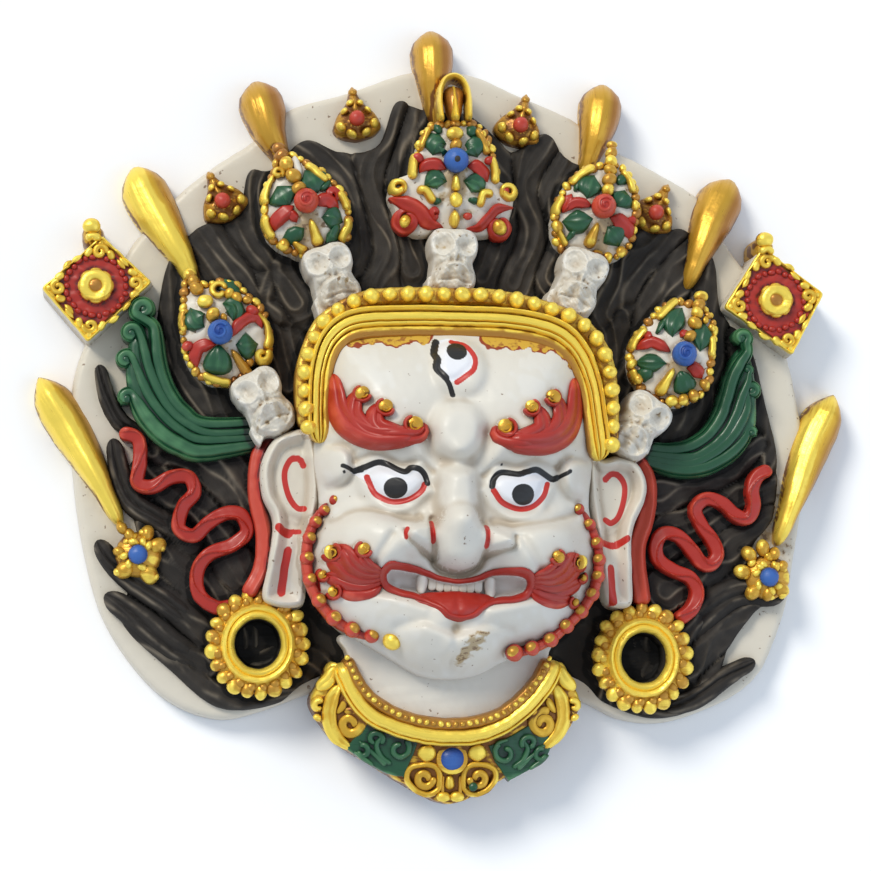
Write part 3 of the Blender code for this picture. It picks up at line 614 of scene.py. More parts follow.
        bpy.ops.object.shade_smooth_by_angle(angle=SMOOTH_ANGLE)
        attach(piece, BODY)
        log.info("%s: %d faces", self.name, len(mesh.polygons))
        return piece

    def strayed(self, points: Array) -> Array:
        """The points a little out of place, as on a cast finished by hand; the foot stays flat."""
        stray = [ripple(points, size, seed) for size, seed in ((3.3, 51), (3.1, 52), (2.6, 53))]
        return points + self.hand * np.column_stack(stray) * (points[:, 2:] > 0.5)

    def keep(self, mesh: bpy.types.Mesh, name: str, values: Array) -> None:
        """Stores a value or a vector for each point of the mesh under a name."""
        if values.ndim == 2:
            attribute = mesh.attributes.new(name, "FLOAT_VECTOR", "POINT")
            attribute.data.foreach_set("vector", values.astype(np.float32).ravel())
        else:
            attribute = mesh.attributes.new(name, "FLOAT", "POINT")
            attribute.data.foreach_set("value", values.astype(np.float32))


# ---- finishes

class Brushwork:
    """Builds a paint's node tree in plain steps."""

    def __init__(self, name: str) -> None:
        """Starts the tree of a new material."""
        self.material = bpy.data.materials.new(name)
        self.material.use_nodes = True
        self.tree = self.material.node_tree
        self.shader = self.tree.nodes["Principled BSDF"]
        self.place = self.tree.nodes.new("ShaderNodeTexCoord").outputs["Object"]

    def plug(self, value: float | Triple | Socket, socket: Socket) -> None:
        """Sets a socket to a number or a colour, or links it to another socket."""
        if isinstance(value, Socket):
            self.tree.links.new(value, socket)
        elif isinstance(value, tuple) and len(value) == 3 and socket.type == "RGBA":
            socket.default_value = (*value, 1.0)
        else:
            socket.default_value = value

    def stored(self, name: str, output: str = "Fac") -> Socket:
        """What the piece's points hold under a name."""
        node = self.tree.nodes.new("ShaderNodeAttribute")
        node.attribute_name = name
        return node.outputs[output]

    def stretched(self, vector: Socket, scale: Triple) -> Socket:
        """A place scaled along each axis."""
        node = self.tree.nodes.new("ShaderNodeMapping")
        self.plug(vector, node.inputs["Vector"])
        self.plug(scale, node.inputs["Scale"])
        return node.outputs["Vector"]

    def noise(self, vector: Socket, scale: float, detail: float = 3.0) -> Socket:
        """An uneven value about one half."""
        node = self.tree.nodes.new("ShaderNodeTexNoise")
        self.plug(vector, node.inputs["Vector"])
        self.plug(scale, node.inputs["Scale"])
        self.plug(detail, node.inputs["Detail"])
        return node.outputs["Fac"]

    def maths(self, operation: str, first: float | Socket,
              second: float | Socket) -> Socket:
        """One sum of two values."""
        node = self.tree.nodes.new("ShaderNodeMath")
        node.operation = operation
        self.plug(first, node.inputs[0])
        self.plug(second, node.inputs[1])
        return node.outputs[0]

    def span(self, value: Socket, low: float, high: float, start: float = 0.0,
             end: float = 1.0) -> Socket:
        """A smooth rise from start to end while a value goes from low to high."""
        node = self.tree.nodes.new("ShaderNodeMapRange")
        node.interpolation_type = "SMOOTHSTEP"
        self.plug(value, node.inputs["Value"])
        self.plug(low, node.inputs["From Min"])
        self.plug(high, node.inputs["From Max"])
        self.plug(start, node.inputs["To Min"])
        self.plug(end, node.inputs["To Max"])
        return node.outputs["Result"]

    def over(self, under: Triple | Socket, coat: Triple | Socket,
             share: float | Socket) -> Socket:
        """A coat of colour laid over another by a share."""
        node = self.tree.nodes.new("ShaderNodeMix")
        node.data_type = "RGBA"
        self.plug(share, node.inputs["Factor"])
        self.plug(under, node.inputs[6])
        self.plug(coat, node.inputs[7])
        return node.outputs[2]

    def rough(self, height: Socket, strength: float, distance: float) -> None:
        """Roughens the surface by a height."""
        node = self.tree.nodes.new("ShaderNodeBump")
        self.plug(height, node.inputs["Height"])
        self.plug(strength, node.inputs["Strength"])
        self.plug(distance, node.inputs["Distance"])
        self.tree.links.new(node.outputs["Normal"], self.shader.inputs["Normal"])


@dataclass(frozen=True)
class PaintFinish:
    """A hand-brushed paint, lighter on its ridges, partly as rubbed paint and partly as a painted highlight,
    and darker in its recesses, partly as dirt and partly as painted shade.
    """

    paint: Paint
    body: Triple
    ridge: Triple
    recess_dirt_and_shade: Triple
    warm: Triple
    roughness: float = 0.45
    metallic: float = 0.0
    ridge_from: float = 0.05
    ridge_to: float = 0.5
    recess_from: float = 0.1
    recess_to: float = 0.7
    streaks: float = 0.3
    grain: float = 0.25
    specular: float = 0.5
    coat: float = 0.0
    hollow_shade_and_dirt: float = 0.05
    mottle: float = 0.3
    speckle: float = 0.0

    def lay(self, brush: Brushwork) -> Socket:
        """Mixes the paint's colour and sets its gloss and grain.

        Args:
            brush: the tree that it is built in.

        Returns:
            The colour.
        """
        crease = brush.stored("crease")
        broad = brush.stored("depth")
        mottle = brush.noise(brush.place, 260.0, 4.0)
        fine = brush.noise(brush.place, 1100.0, 3.0)
        hairs = brush.noise(brush.stretched(brush.stored("flow", "Vector"), (0.10, 1.5, 1.0)), 1.0, 4.0)
        specks = brush.maths("MULTIPLY", brush.maths("SUBTRACT", fine, 0.5), self.speckle)
        uneven = brush.maths("ADD", brush.maths("MULTIPLY", brush.maths("SUBTRACT", hairs, 0.5),
                                                self.streaks),
                             brush.maths("MULTIPLY", brush.maths("SUBTRACT", mottle, 0.5), self.mottle))
        uneven = brush.maths("ADD", uneven, specks)
        tint = brush.stored("tint")
        # Ridges take the ridge colour, partly rubbed paint and partly a painted highlight; creases and broad
        # hollows take the recess colour, partly dirt and partly painted shade.
        raised = brush.maths("SUBTRACT", brush.maths("SUBTRACT", uneven, crease),
                             brush.maths("MULTIPLY", tint, 2.0))
        sunken = brush.maths("ADD", uneven, brush.maths("ADD", crease,
                                                        brush.maths("MULTIPLY", broad, self.hollow_shade_and_dirt)))
        colour = brush.over(self.body, self.warm, brush.maths("ADD", tint, brush.span(
            uneven, 0.02, 0.25, 0.0, 0.22)))
        colour = brush.over(colour, self.ridge, brush.span(raised, self.ridge_from, self.ridge_to))
        colour = brush.over(colour, self.recess_dirt_and_shade, brush.span(sunken, self.recess_from, self.recess_to))
        brush.plug(brush.span(hairs, 0.3, 0.7, self.roughness - 0.07, self.roughness + 0.1),
                   brush.shader.inputs["Roughness"])
        brush.plug(self.metallic, brush.shader.inputs["Metallic"])
        brush.plug(self.specular, brush.shader.inputs["Specular IOR Level"])
        brush.plug(self.coat, brush.shader.inputs["Coat Weight"])
        brush.rough(self.grained(brush, hairs, fine), self.grain, 0.25 * MM)
        return colour

    def grained(self, brush: Brushwork, hairs: Socket, fine: Socket) -> Socket:
        """The height of the paint's own grain."""
        return brush.maths("ADD", hairs, brush.maths("MULTIPLY", fine, 0.6))

    def material(self) -> bpy.types.Material:
        """The paint's material, made once."""
        name = f"{self.paint.value}_finish"
        known = bpy.data.materials.get(name)
        if known:
            return known
        brush = Brushwork(name)
        brush.plug(self.lay(brush), brush.shader.inputs["Base Color"])
        return brush.material


@dataclass(frozen=True)
class ChalkFinish(PaintFinish):
    """Chalk white with the lines and stains that are painted or rubbed on it."""

    ink: Triple = (0.012, 0.011, 0.011)
    red: Triple = (0.50, 0.028, 0.020)
    gild: Triple = (0.60, 0.36, 0.045)
    rust: Triple = (0.27, 0.042, 0.015)
    # Bluish white: the paint of the eye whites, and inside the mouth a painted cool shade.
    clear: Triple = (0.74, 0.745, 0.77)
    stain: Triple = (0.38, 0.265, 0.12)

    def lay(self, brush: Brushwork) -> Socket:
        """Mixes the white and lays the painted lines over it.

        Args:
            brush: the tree that it is built in.

        Returns:
            The colour.
        """
        colour = super().lay(brush)
        blotch = brush.noise(brush.place, 75.0, 6.0)
        specks = brush.noise(brush.place, 620.0, 2.0)
        grime = brush.stored("grime")
        dirt = brush.maths("ADD", brush.maths("MULTIPLY", grime, 0.55),
                           brush.maths("MULTIPLY", blotch, 0.45))
        colour = brush.over(colour, self.stain, brush.span(
            brush.maths("ADD", dirt, brush.maths("MULTIPLY", specks, 0.6)), 0.84, 1.06, 0.0, 0.85))
        colour = brush.over(colour, (0.16, 0.09, 0.045), brush.span(
            brush.maths("ADD", specks, brush.maths("MULTIPLY", grime, 0.14)), 0.735, 0.775, 0.0, 0.8))
        gild = brush.over(self.gild, (0.26, 0.075, 0.02), brush.span(specks, 0.5, 0.66, 0.0, 0.8))
        for name, paint in (("clear", self.clear), ("rust", self.rust), ("gild", gild), ("red", self.red),
                            ("ink", self.ink)):
            colour = brush.over(colour, paint, brush.span(brush.stored(name), 0.01, 0.16))
        return colour


@dataclass(frozen=True)
class HairFinish(PaintFinish):
    """Matt black, rubbed pale along the thin ridges between the strands."""

    pitch: float = 3.7
    rubbed: Triple = (0.150, 0.125, 0.094)

    def ridges(self, brush: Brushwork) -> Socket:
        """How near a place is to the crest of a ridge, from 0 to 1."""
        wave = brush.maths("SINE", brush.maths("MULTIPLY", brush.stored("strand"), pi / self.pitch), 0.0)
        return brush.maths("POWER", brush.maths("ABSOLUTE", wave, 0.0), 13.0)

    def lay(self, brush: Brushwork) -> Socket:
        """Mixes the black and rubs the ridges.

        Args:
            brush: the tree that it is built in.

        Returns:
            The colour.
        """
        colour = super().lay(brush)
        broken = brush.span(brush.noise(brush.place, 110.0, 4.0), 0.42, 0.66)
        return brush.over(colour, self.rubbed, brush.maths("MULTIPLY", self.ridges(brush), broken))

    def grained(self, brush: Brushwork, hairs: Socket, fine: Socket) -> Socket:
        """The height of the grain and the ridges."""
        return brush.maths("ADD", super().grained(brush, hairs, fine),
                           brush.maths("MULTIPLY", self.ridges(brush), 1.5))


# Each paint's ridge colour is partly rubbed paint and partly a painted highlight, the gold's most of all; its
# recess colour is partly dirt and partly painted shade.
FINISHES: dict[Paint, PaintFinish] = {
    WHITE: ChalkFinish(
        WHITE, body=(0.655, 0.62, 0.545), ridge=(0.675, 0.648, 0.585), recess_dirt_and_shade=(0.47, 0.40, 0.31),
        warm=(0.62, 0.545, 0.415), roughness=0.42, ridge_from=0.3, ridge_to=1.3, recess_from=0.07,
        recess_to=0.9, streaks=0.05, grain=0.08, specular=0.45, hollow_shade_and_dirt=0.07, mottle=0.12),
    BLACK: HairFinish(
        BLACK, body=(0.025, 0.0215, 0.0185), ridge=(0.042, 0.036, 0.030), recess_dirt_and_shade=(0.006, 0.0054, 0.0048),
        warm=(0.022, 0.019, 0.016), roughness=0.66, ridge_from=0.3, ridge_to=1.1, recess_from=0.1,
        recess_to=0.6, streaks=0.3, grain=0.35, specular=0.2, hollow_shade_and_dirt=0.02, mottle=0.12, speckle=0.25),
    GOLD: PaintFinish(
        GOLD, body=(0.70, 0.41, 0.034), ridge=(0.95, 0.70, 0.10), recess_dirt_and_shade=(0.19, 0.070, 0.012),
        warm=(0.40, 0.175, 0.036), roughness=0.34, metallic=0.55, ridge_from=0.05, ridge_to=0.7,
        recess_from=0.05, recess_to=0.4, streaks=0.8, grain=0.4, specular=0.5, hollow_shade_and_dirt=0.02, mottle=0.4,
        speckle=0.35),
    RED: PaintFinish(
        RED, body=(0.37, 0.020, 0.010), ridge=(0.52, 0.060, 0.032), recess_dirt_and_shade=(0.09, 0.005, 0.004),
        warm=(0.43, 0.030, 0.017), roughness=0.38, ridge_from=0.5, ridge_to=1.5, recess_from=0.12,
        recess_to=0.7, streaks=0.3, grain=0.18, hollow_shade_and_dirt=0.04),
    GREEN: PaintFinish(
        GREEN, body=(0.0095, 0.066, 0.027), ridge=(0.060, 0.18, 0.075), recess_dirt_and_shade=(0.002, 0.012, 0.006),
        warm=(0.018, 0.10, 0.035), roughness=0.34, ridge_from=0.6, ridge_to=1.6, recess_from=0.1,
        recess_to=0.6, streaks=0.3, grain=0.2, hollow_shade_and_dirt=0.03),
    BLUE: PaintFinish(
        BLUE, body=(0.014, 0.055, 0.25), ridge=(0.040, 0.12, 0.38), recess_dirt_and_shade=(0.005, 0.015, 0.08),
        warm=(0.03, 0.11, 0.36), roughness=0.4, ridge_from=0.6, ridge_to=1.6, recess_from=0.2, recess_to=0.9,
        streaks=0.5, grain=0.4, specular=0.35, hollow_shade_and_dirt=0.02, mottle=0.5)}


# ---- back plate and hair

PLATE = [
    (-9, 95), (6, 95), (21, 89), (36, 82.5), (43, 76), (54, 71), (71, 61), (76, 52), (80, 46), (90, 32),
    (95, 17), (97, 8), (99, -5), (99, -20), (96, -38), (94, -50), (88, -66), (82, -73), (73, -78), (60, -82),
    (48, -81), (37, -76), (20, -72), (0, -71), (-20, -71), (-35, -74), (-49, -79), (-60, -81), (-72, -77),
    (-82, -68), (-91, -54), (-96, -37), (-99, -18), (-100, 2), (-98, 15), (-91, 31), (-85, 45), (-80, 51),
    (-71, 61), (-61, 69), (-52, 75), (-42, 84), (-26, 89)]

HAIR = [
    (-18, 74), (-13, 86), (-6, 84), (6, 83), (14, 77), (19, 73), (28, 78), (34, 71), (44, 66), (56, 52),
    (66, 52), (74, 44), (76, 30), (84, 20), (88, 4), (91, -10), (90, -26), (84, -36), (90, -47), (84, -53),
    (77, -63), (72, -76), (58, -81), (44, -77), (34, -70), (0, -60), (-34, -70), (-45, -77), (-60, -78),
    (-73, -68), (-86, -55), (-83, -44), (-82, -32), (-86, -18), (-80, -6), (-78, 10), (-77, 28), (-74, 42),
    (-66, 51), (-56, 54), (-53, 66), (-47, 67), (-38, 75), (-28, 72)]

TUFTS = [
    ([(-40, 30), (-47, 40), (-54, 50), (-55, 60), (-53, 70)], 9),
    ([(-46, 26), (-55, 37), (-62, 46), (-69, 55)], 9),
    ([(-26, 42), (-24, 55), (-27, 65), (-33, 71), (-41, 76)], 9),
    ([(-18, 34), (-14, 45), (-19, 56), (-21, 66), (-17, 76), (-13, 88)], 10),
    ([(-9, 40), (-12, 55), (-10, 70), (-6, 83)], 8), ([(10, 38), (15, 50), (17, 62), (12, 73), (7, 83)], 8),
    ([(19, 36), (24, 50), (21, 62), (24, 71), (30, 79)], 10), ([(29, 38), (33, 50), (30, 60), (35, 70)], 7),
    ([(45, 28), (50, 40), (57, 47), (65, 54)], 9), ([(53, 22), (60, 34), (67, 44), (73, 49)], 9),
    ([(-62, -2), (-70, 10), (-75, 26), (-75.5, 42)], 8), ([(-42, 8), (-46, 20), (-49, 30), (-46, 40)], 8),
    ([(-78, -10), (-84.2, -4), (-87.4, -1.3), (-90.5, 4.9), (-92.6, 13.4)], 5),
    ([(-68, -33), (-77, -27.9), (-83.6, -23.2), (-86.8, -15.4), (-88.8, -6.4)], 6.5),
    ([(-50, -30), (-56, -20), (-64, -12), (-74, -8), (-82, -6)], 9),
    ([(-54, -44), (-60, -34), (-67, -26), (-76, -20), (-83, -13)], 9),
    ([(-62, -60), (-72, -52), (-83, -44.5), (-89, -39), (-92.6, -33.6)], 7),
    ([(-62, -50), (-70, -42), (-76, -36), (-80, -29)], 8),
    ([(-62, -68), (-72, -62), (-82, -54), (-90.5, -48)], 8),
    ([(-40, -74), (-56, -75), (-70, -67), (-86, -56)], 8), ([(56, -20), (66, -18), (76, -14), (87, -7)], 9),
    ([(58, -34), (68, -29), (78, -23), (90, -17)], 9), ([(60, -47), (70, -41), (80, -34), (88, -28)], 9),
    ([(64, -60), (72, -52), (80, -47), (93, -48)], 9), ([(60, -74), (68, -65), (75, -57), (84, -52)], 9),
    ([(54, -79), (67, -76), (77, -69.5), (84.5, -65.5)], 6), ([(88, -14), (90, -4), (87, 9), (83, 21)], 5),
    ([(64, -6), (69, 8), (72, 24), (75, 44)], 8), ([(44, 8), (48, 17), (47, 28)], 7)]


def hair_ground(flat: Array) -> Array:
    """The height of the hair's ground, which rises towards the head."""
    return 9.5 + 6.0 * np.maximum(0.0, 1.0 - np.hypot(flat[:, 0] / 80.0, flat[:, 1] / 75.0))


@dataclass
class BackPlate:
    """The cream plate behind the hair, with its soft rim."""

    rim_height: float = 7.0
    fall: float = 2.0
    rim_rounding: float = 2.0

    def top(self, flat: Array, reach: Array) -> Array:
        """The plate's height, a little uneven as plaster is."""
        return self.rim_height + self.fall * (1.0 - reach) + 0.09 * ripple(flat, 17.0, 3)

    def stains(self, flat: Array) -> Coats:
        """Where the plate is darker: low on the right."""
        low_right = np.exp(-((flat[:, 0] - 90.0) / 9.0) ** 2 - ((flat[:, 1] + 30.0) / 16.0) ** 2)
        return {"grime": 0.15 + 0.65 * low_right}

    def build(self) -> Piece:
        """Makes the plate, which stands for the casting's solid."""
        clay = Clay("back_plate", WHITE)
        clay.relief(WHITE, PLATE, (0.0, -8.0), self.top, corners=520, rings=70, edge=self.rim_rounding,
                    draft=0.5,
                    tint=0.5, coats=self.stains)
        piece = clay.make()
        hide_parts("mask")
        return piece


@dataclass
class Hair:
    """The dark flame-like hair: one combed sheet, and the locks that lie loose on the plate."""

    pitch: float = 3.7
    lock_rise: float = 2.7
    root: Spot = (0, -62)
    loose: tuple[int, ...] = (12, 13, 16, 18, 23, 25)

    def nearest(self, flat: Array) -> tuple[Array, Array]:
        """How far rows of x, y lie from the nearest tuft's line, and how much farther from the next one's."""
        away = np.sort([distance_to(flat, route, 14.0, pitch=1.0) for route, _ in TUFTS], axis=0)
        return away[0], away[1] - away[0]

    def strand(self, flat: Array, near: Array) -> Array:
        """The place across the strands, which wander a little."""
        return near + 1.1 * ripple(flat, 11.0, 61) + 0.3

    def combed(self, flat: Array, reach: Array) -> Array:
        """The sheet's height: full tufts with ridges along them and a valley between each two."""
        near, gap = self.nearest(flat)
        ridges = np.abs(np.sin(pi * self.strand(flat, near) / self.pitch)) ** 4.0
        swell = 1.5 * (1.0 - np.clip(near / 8.0, 0.0, 1.0) ** 2)
        valley = 1.3 * np.exp(-(gap / 1.0) ** 2)
        return hair_ground(flat) - 0.9 * reach ** 6 + swell + 0.5 * ridges - valley

    def strands(self, flat: Array) -> Coats:
        """The place across the strands, for the finish."""
        return {"strand": self.strand(flat, self.nearest(flat)[0])}

    def flow(self, flat: Array) -> Array:
        """The way along the hair and across it."""
        out = np.hypot(flat[:, 0] - self.root[0], flat[:, 1] - self.root[1])
        return np.column_stack([out, self.nearest(flat)[0], np.zeros(len(flat))])

    def section(self, number: int) -> Profile:
        """The section of one loose lock: full, with a wandering furrow, sunk at its root."""
        def profile(along: Array, across: Array) -> Array:
            """The lock's height."""
            wander = 0.2 * np.sin(5.5 * along + 1.7 * number)
            furrow = np.exp(-((across - wander) / 0.16) ** 2)
            furrow += 0.5 * np.exp(-((across - wander - 0.5) / 0.1) ** 2)
            full = np.sqrt(np.maximum(1.0 - np.abs(across) ** 3, 0.0))
            return full * (1.0 - 0.3 * furrow) * (0.1 + 0.9 * soft_step(along, 0.0, 0.35))
        return profile

    def build(self) -> list[Piece]:
        """Makes the combed sheet and the loose locks."""
        sheet = Clay("hair_sheet", BLACK, 0.03)
        sheet.relief(BLACK, HAIR, (0.0, -8.0), self.combed, corners=900, rings=104, edge=1.2, foot=5.0,
                     coats=self.strands, flow=self.flow)
        locks = Clay("hair_locks", BLACK, 0.05)
        for number in self.loose:
            route, width = TUFTS[number]
            locks.stroke(BLACK, evenly(route, 3.0), 0.5 * width, self.lock_rise,
                         lambda flat: hair_ground(flat) - 0.5, profile=self.section(number), swell=LOCK,
                         across=33, step=0.6, sink=3.2)
        return [sheet.make(), locks.make()]


# ---- buds, florets, flowers and plaques

@dataclass
class Buds:
    """Seven club-shaped gilded buds that overhang the plate."""

    rise: float = 8.0
    foot: float = 3.0
    lift: float = 5.6
    stations: tuple[float, ...] = (0, 0.06, 0.14, 0.24, 0.38, 0.56, 0.78, 1)
    round_ended: tuple[float, ...] = (0.5, 0.74, 0.93, 1, 0.95, 0.74, 0.46, 0.36)
    pointed: tuple[float, ...] = (0.24, 0.58, 0.86, 1, 0.97, 0.78, 0.48, 0.34)
    places: tuple[tuple[Route, float, float], ...] = (
        (((-109, 10.4), (-105, 4), (-100.6, -3), (-93.9, -14.9), (-86.2, -30)), 5.9, -0.5),
        (((-84, 68), (-80, 59), (-75, 50), (-70, 41), (-67, 33)), 6.6, -0.45),
        (((-51.5, 92), (-49, 83), (-47, 76), (-42, 66)), 6.2, 0.4),
        (((-3.5, 107), (-3, 98), (-3, 89), (-3, 79)), 5.9, 0.4),
        (((44.5, 93), (43, 83), (41, 75), (38, 65)), 5.9, 0.3),
        (((80.5, 67), (75.5, 58), (71, 48), (66, 35)), 6.4, 0.3),
        (((108.4, 7.6), (105, 0.5), (101.3, -7), (96.5, -18.8), (90.6, -34.5)), 5.9, -0.2))

    def section(self, along: Array, across: Array) -> Array:
        """A full round section with soft facets left by the brush and the mould."""
        full = np.clip(1.0 - np.abs(across) ** 2.3, 0.0, 1.0) ** 0.5
        return full * (1.0 + 0.025 * np.cos(9.0 * across)) + 0.0 * along

    def build(self) -> list[Piece]:
        """Makes the buds, each with its own warmth of gold and a painted shade down its side away from the
        light.
        """
        pieces = []
        for number, (route, half, warmth) in enumerate(self.places):
            rows = evenly(route, 2.0)
            shape = self.pointed if number in (0, len(self.places) - 1) else self.round_ended
            shares = np.interp(np.linspace(0.0, 1.0, len(rows)), self.stations, shape)
            clay = Clay(f"bud_{number}", GOLD, 0.02)
            stem = rows[-1]

            def ground(flat: Array, stem: Array = stem) -> Array:
                """Lifts the bud's underside towards its stem, which lies on the hair."""
                return self.foot + self.lift * soft_step(-np.hypot(*(flat - stem).T), -34.0, -10.0)
            # Each bud's east side, away from the light, is painted warmer and darker as shade.
            clay.stroke(GOLD, np.column_stack([rows, shares]), half, self.rise, ground, profile=self.section,
                        sink=self.foot, tint=warmth, side_tint_and_shade=1.0, step=0.5, across=29)
            pieces.append(clay.make())
        return pieces


@dataclass
class Florets:
    """Four small flame-shaped florets on the plate, each with a red bead."""

    base: float = 9.0
    places: Route = ((-24, 81, 8), (20.5, 80, -14), (-60, 58, 27), (57.5, 56.5, -27))
    outline: Route = (
        (0, 9), (2.2, 4.5), (5.2, 1), (6.4, -3), (2.5, -5.5), (-2.5, -5.5), (-6.4, -3), (-5.2, 1),
        (-2.2, 4.5))
    lumps: Route = (
        (0, 6.2, 0, 2.2, 1.2), (-0.9, 3.4, -0.6, 1.6, 1.1), (1, 3.2, 0.8, 1.4, 1), (-2.6, 1.4, -1, 1.2, 1.1),
        (2.8, 1.2, 1, 1, 1.1), (-3.4, -1.6, -2.2, -1, 1.5), (3.4, -1.6, 2.2, -1, 1.4),
        (-1.4, -3.4, -1.2, -1.6, 1.5), (1.6, -3.4, 1, -1.6, 1.4))

    def build(self) -> list[Piece]:
        """Makes the florets."""
        pieces = []
        for number, (x, y, turn) in enumerate(self.places):
            clay = Clay(f"floret_{number}", GOLD)
            clay.relief(GOLD, placed(self.outline, x, y, turn), (x, y - 1.0),
                        lambda flat, reach: 13.6 - 3.2 * reach ** 2 + 0.2 * ripple(flat, 2.6, number),
                        corners=80,
                        rings=12, foot=4.0, edge=0.9, tint=0.6)

            def ground(flat: Array, x: float = x, y: float = y) -> Array:
                """The floret's raised middle."""
                return 13.2 - 0.045 * ((flat[:, 0] - x) ** 2 + (flat[:, 1] - y) ** 2)
            for u, v, du, dv, half in self.lumps:
                clay.stroke(GOLD, placed([(u, v), (u + du, v + dv)], x, y, turn), half, 1.5, ground,
                            step=0.4,
                            tint=0.6 if v > 6 else 0.15)
            clay.stamp(BENCH.bead, RED, (x, y - 0.6, 14.2), 2.15)
            pieces.append(clay.make())
        return pieces


@dataclass
class SideFlowers:
    """Two small gilded flowers at the stems of the side buds."""

    face: float = 12.4
    stones: Route = ((-81.7, -37.6), (87.6, -43.1))
    petals: tuple[Route, ...] = (
        ((-79.4, -32, 0.9), (-76.8, -35.2, 1), (-78.9, -42.6, 1.15), (-85, -41.4, 1.1), (-86.6, -36.8, 0.7),
         (-84, -32.4, 0.75), (-86, -30.6, 0.7)),
        ((82.6, -36.8, 0.9), (86.4, -35.2, 0.9), (89.4, -36.8, 0.8), (91.2, -46.2, 0.95), (87.5, -47.4, 0.8),
         (83.6, -47, 0.95), (80.8, -41.6, 0.95), (91.4, -40.2, 0.75)))

    def build(self) -> list[Piece]:
        """Makes the flowers: grooved petals round a blue stone."""
        pieces = []
        for number, ((x, y), petals) in enumerate(zip(self.stones, self.petals)):
            clay = Clay(f"side_flower_{number}", GOLD)
            clay.stamp(BENCH.bead, GOLD, (x, y, self.face - 1.5), (6.2, 6.2, 2.9), tint=0.5)
            for k, (px, py, size) in enumerate(petals):
                bearing = np.degrees(atan2(py - y, px - x))
                clay.stamp(BENCH.bead, GOLD, (px, py, self.face - 0.6), (2.7 * size, 2.1 * size, 2.2),
                           bearing, 0.35)
                (u, v), = placed([(3.4, 0.9 * sin(2.0 * k))], x, y, bearing)
                clay.stamp(BENCH.seed, GOLD, (u, v, self.face + 1.1), (1.5, 1.0, 1.0), bearing + 30)
                (u, v), = placed([(6.4 * size, 1.0 * cos(3.0 * k))], x, y, bearing)
                clay.stamp(BENCH.seed, GOLD, (u, v, self.face - 0.2), (1.1, 1.3, 1.3), bearing, 0.1)
            clay.stamp(BENCH.bead, BLUE, (x, y, self.face + 2.0), (2.6, 2.6, 2.1))
            pieces.append(clay.make())
        return pieces


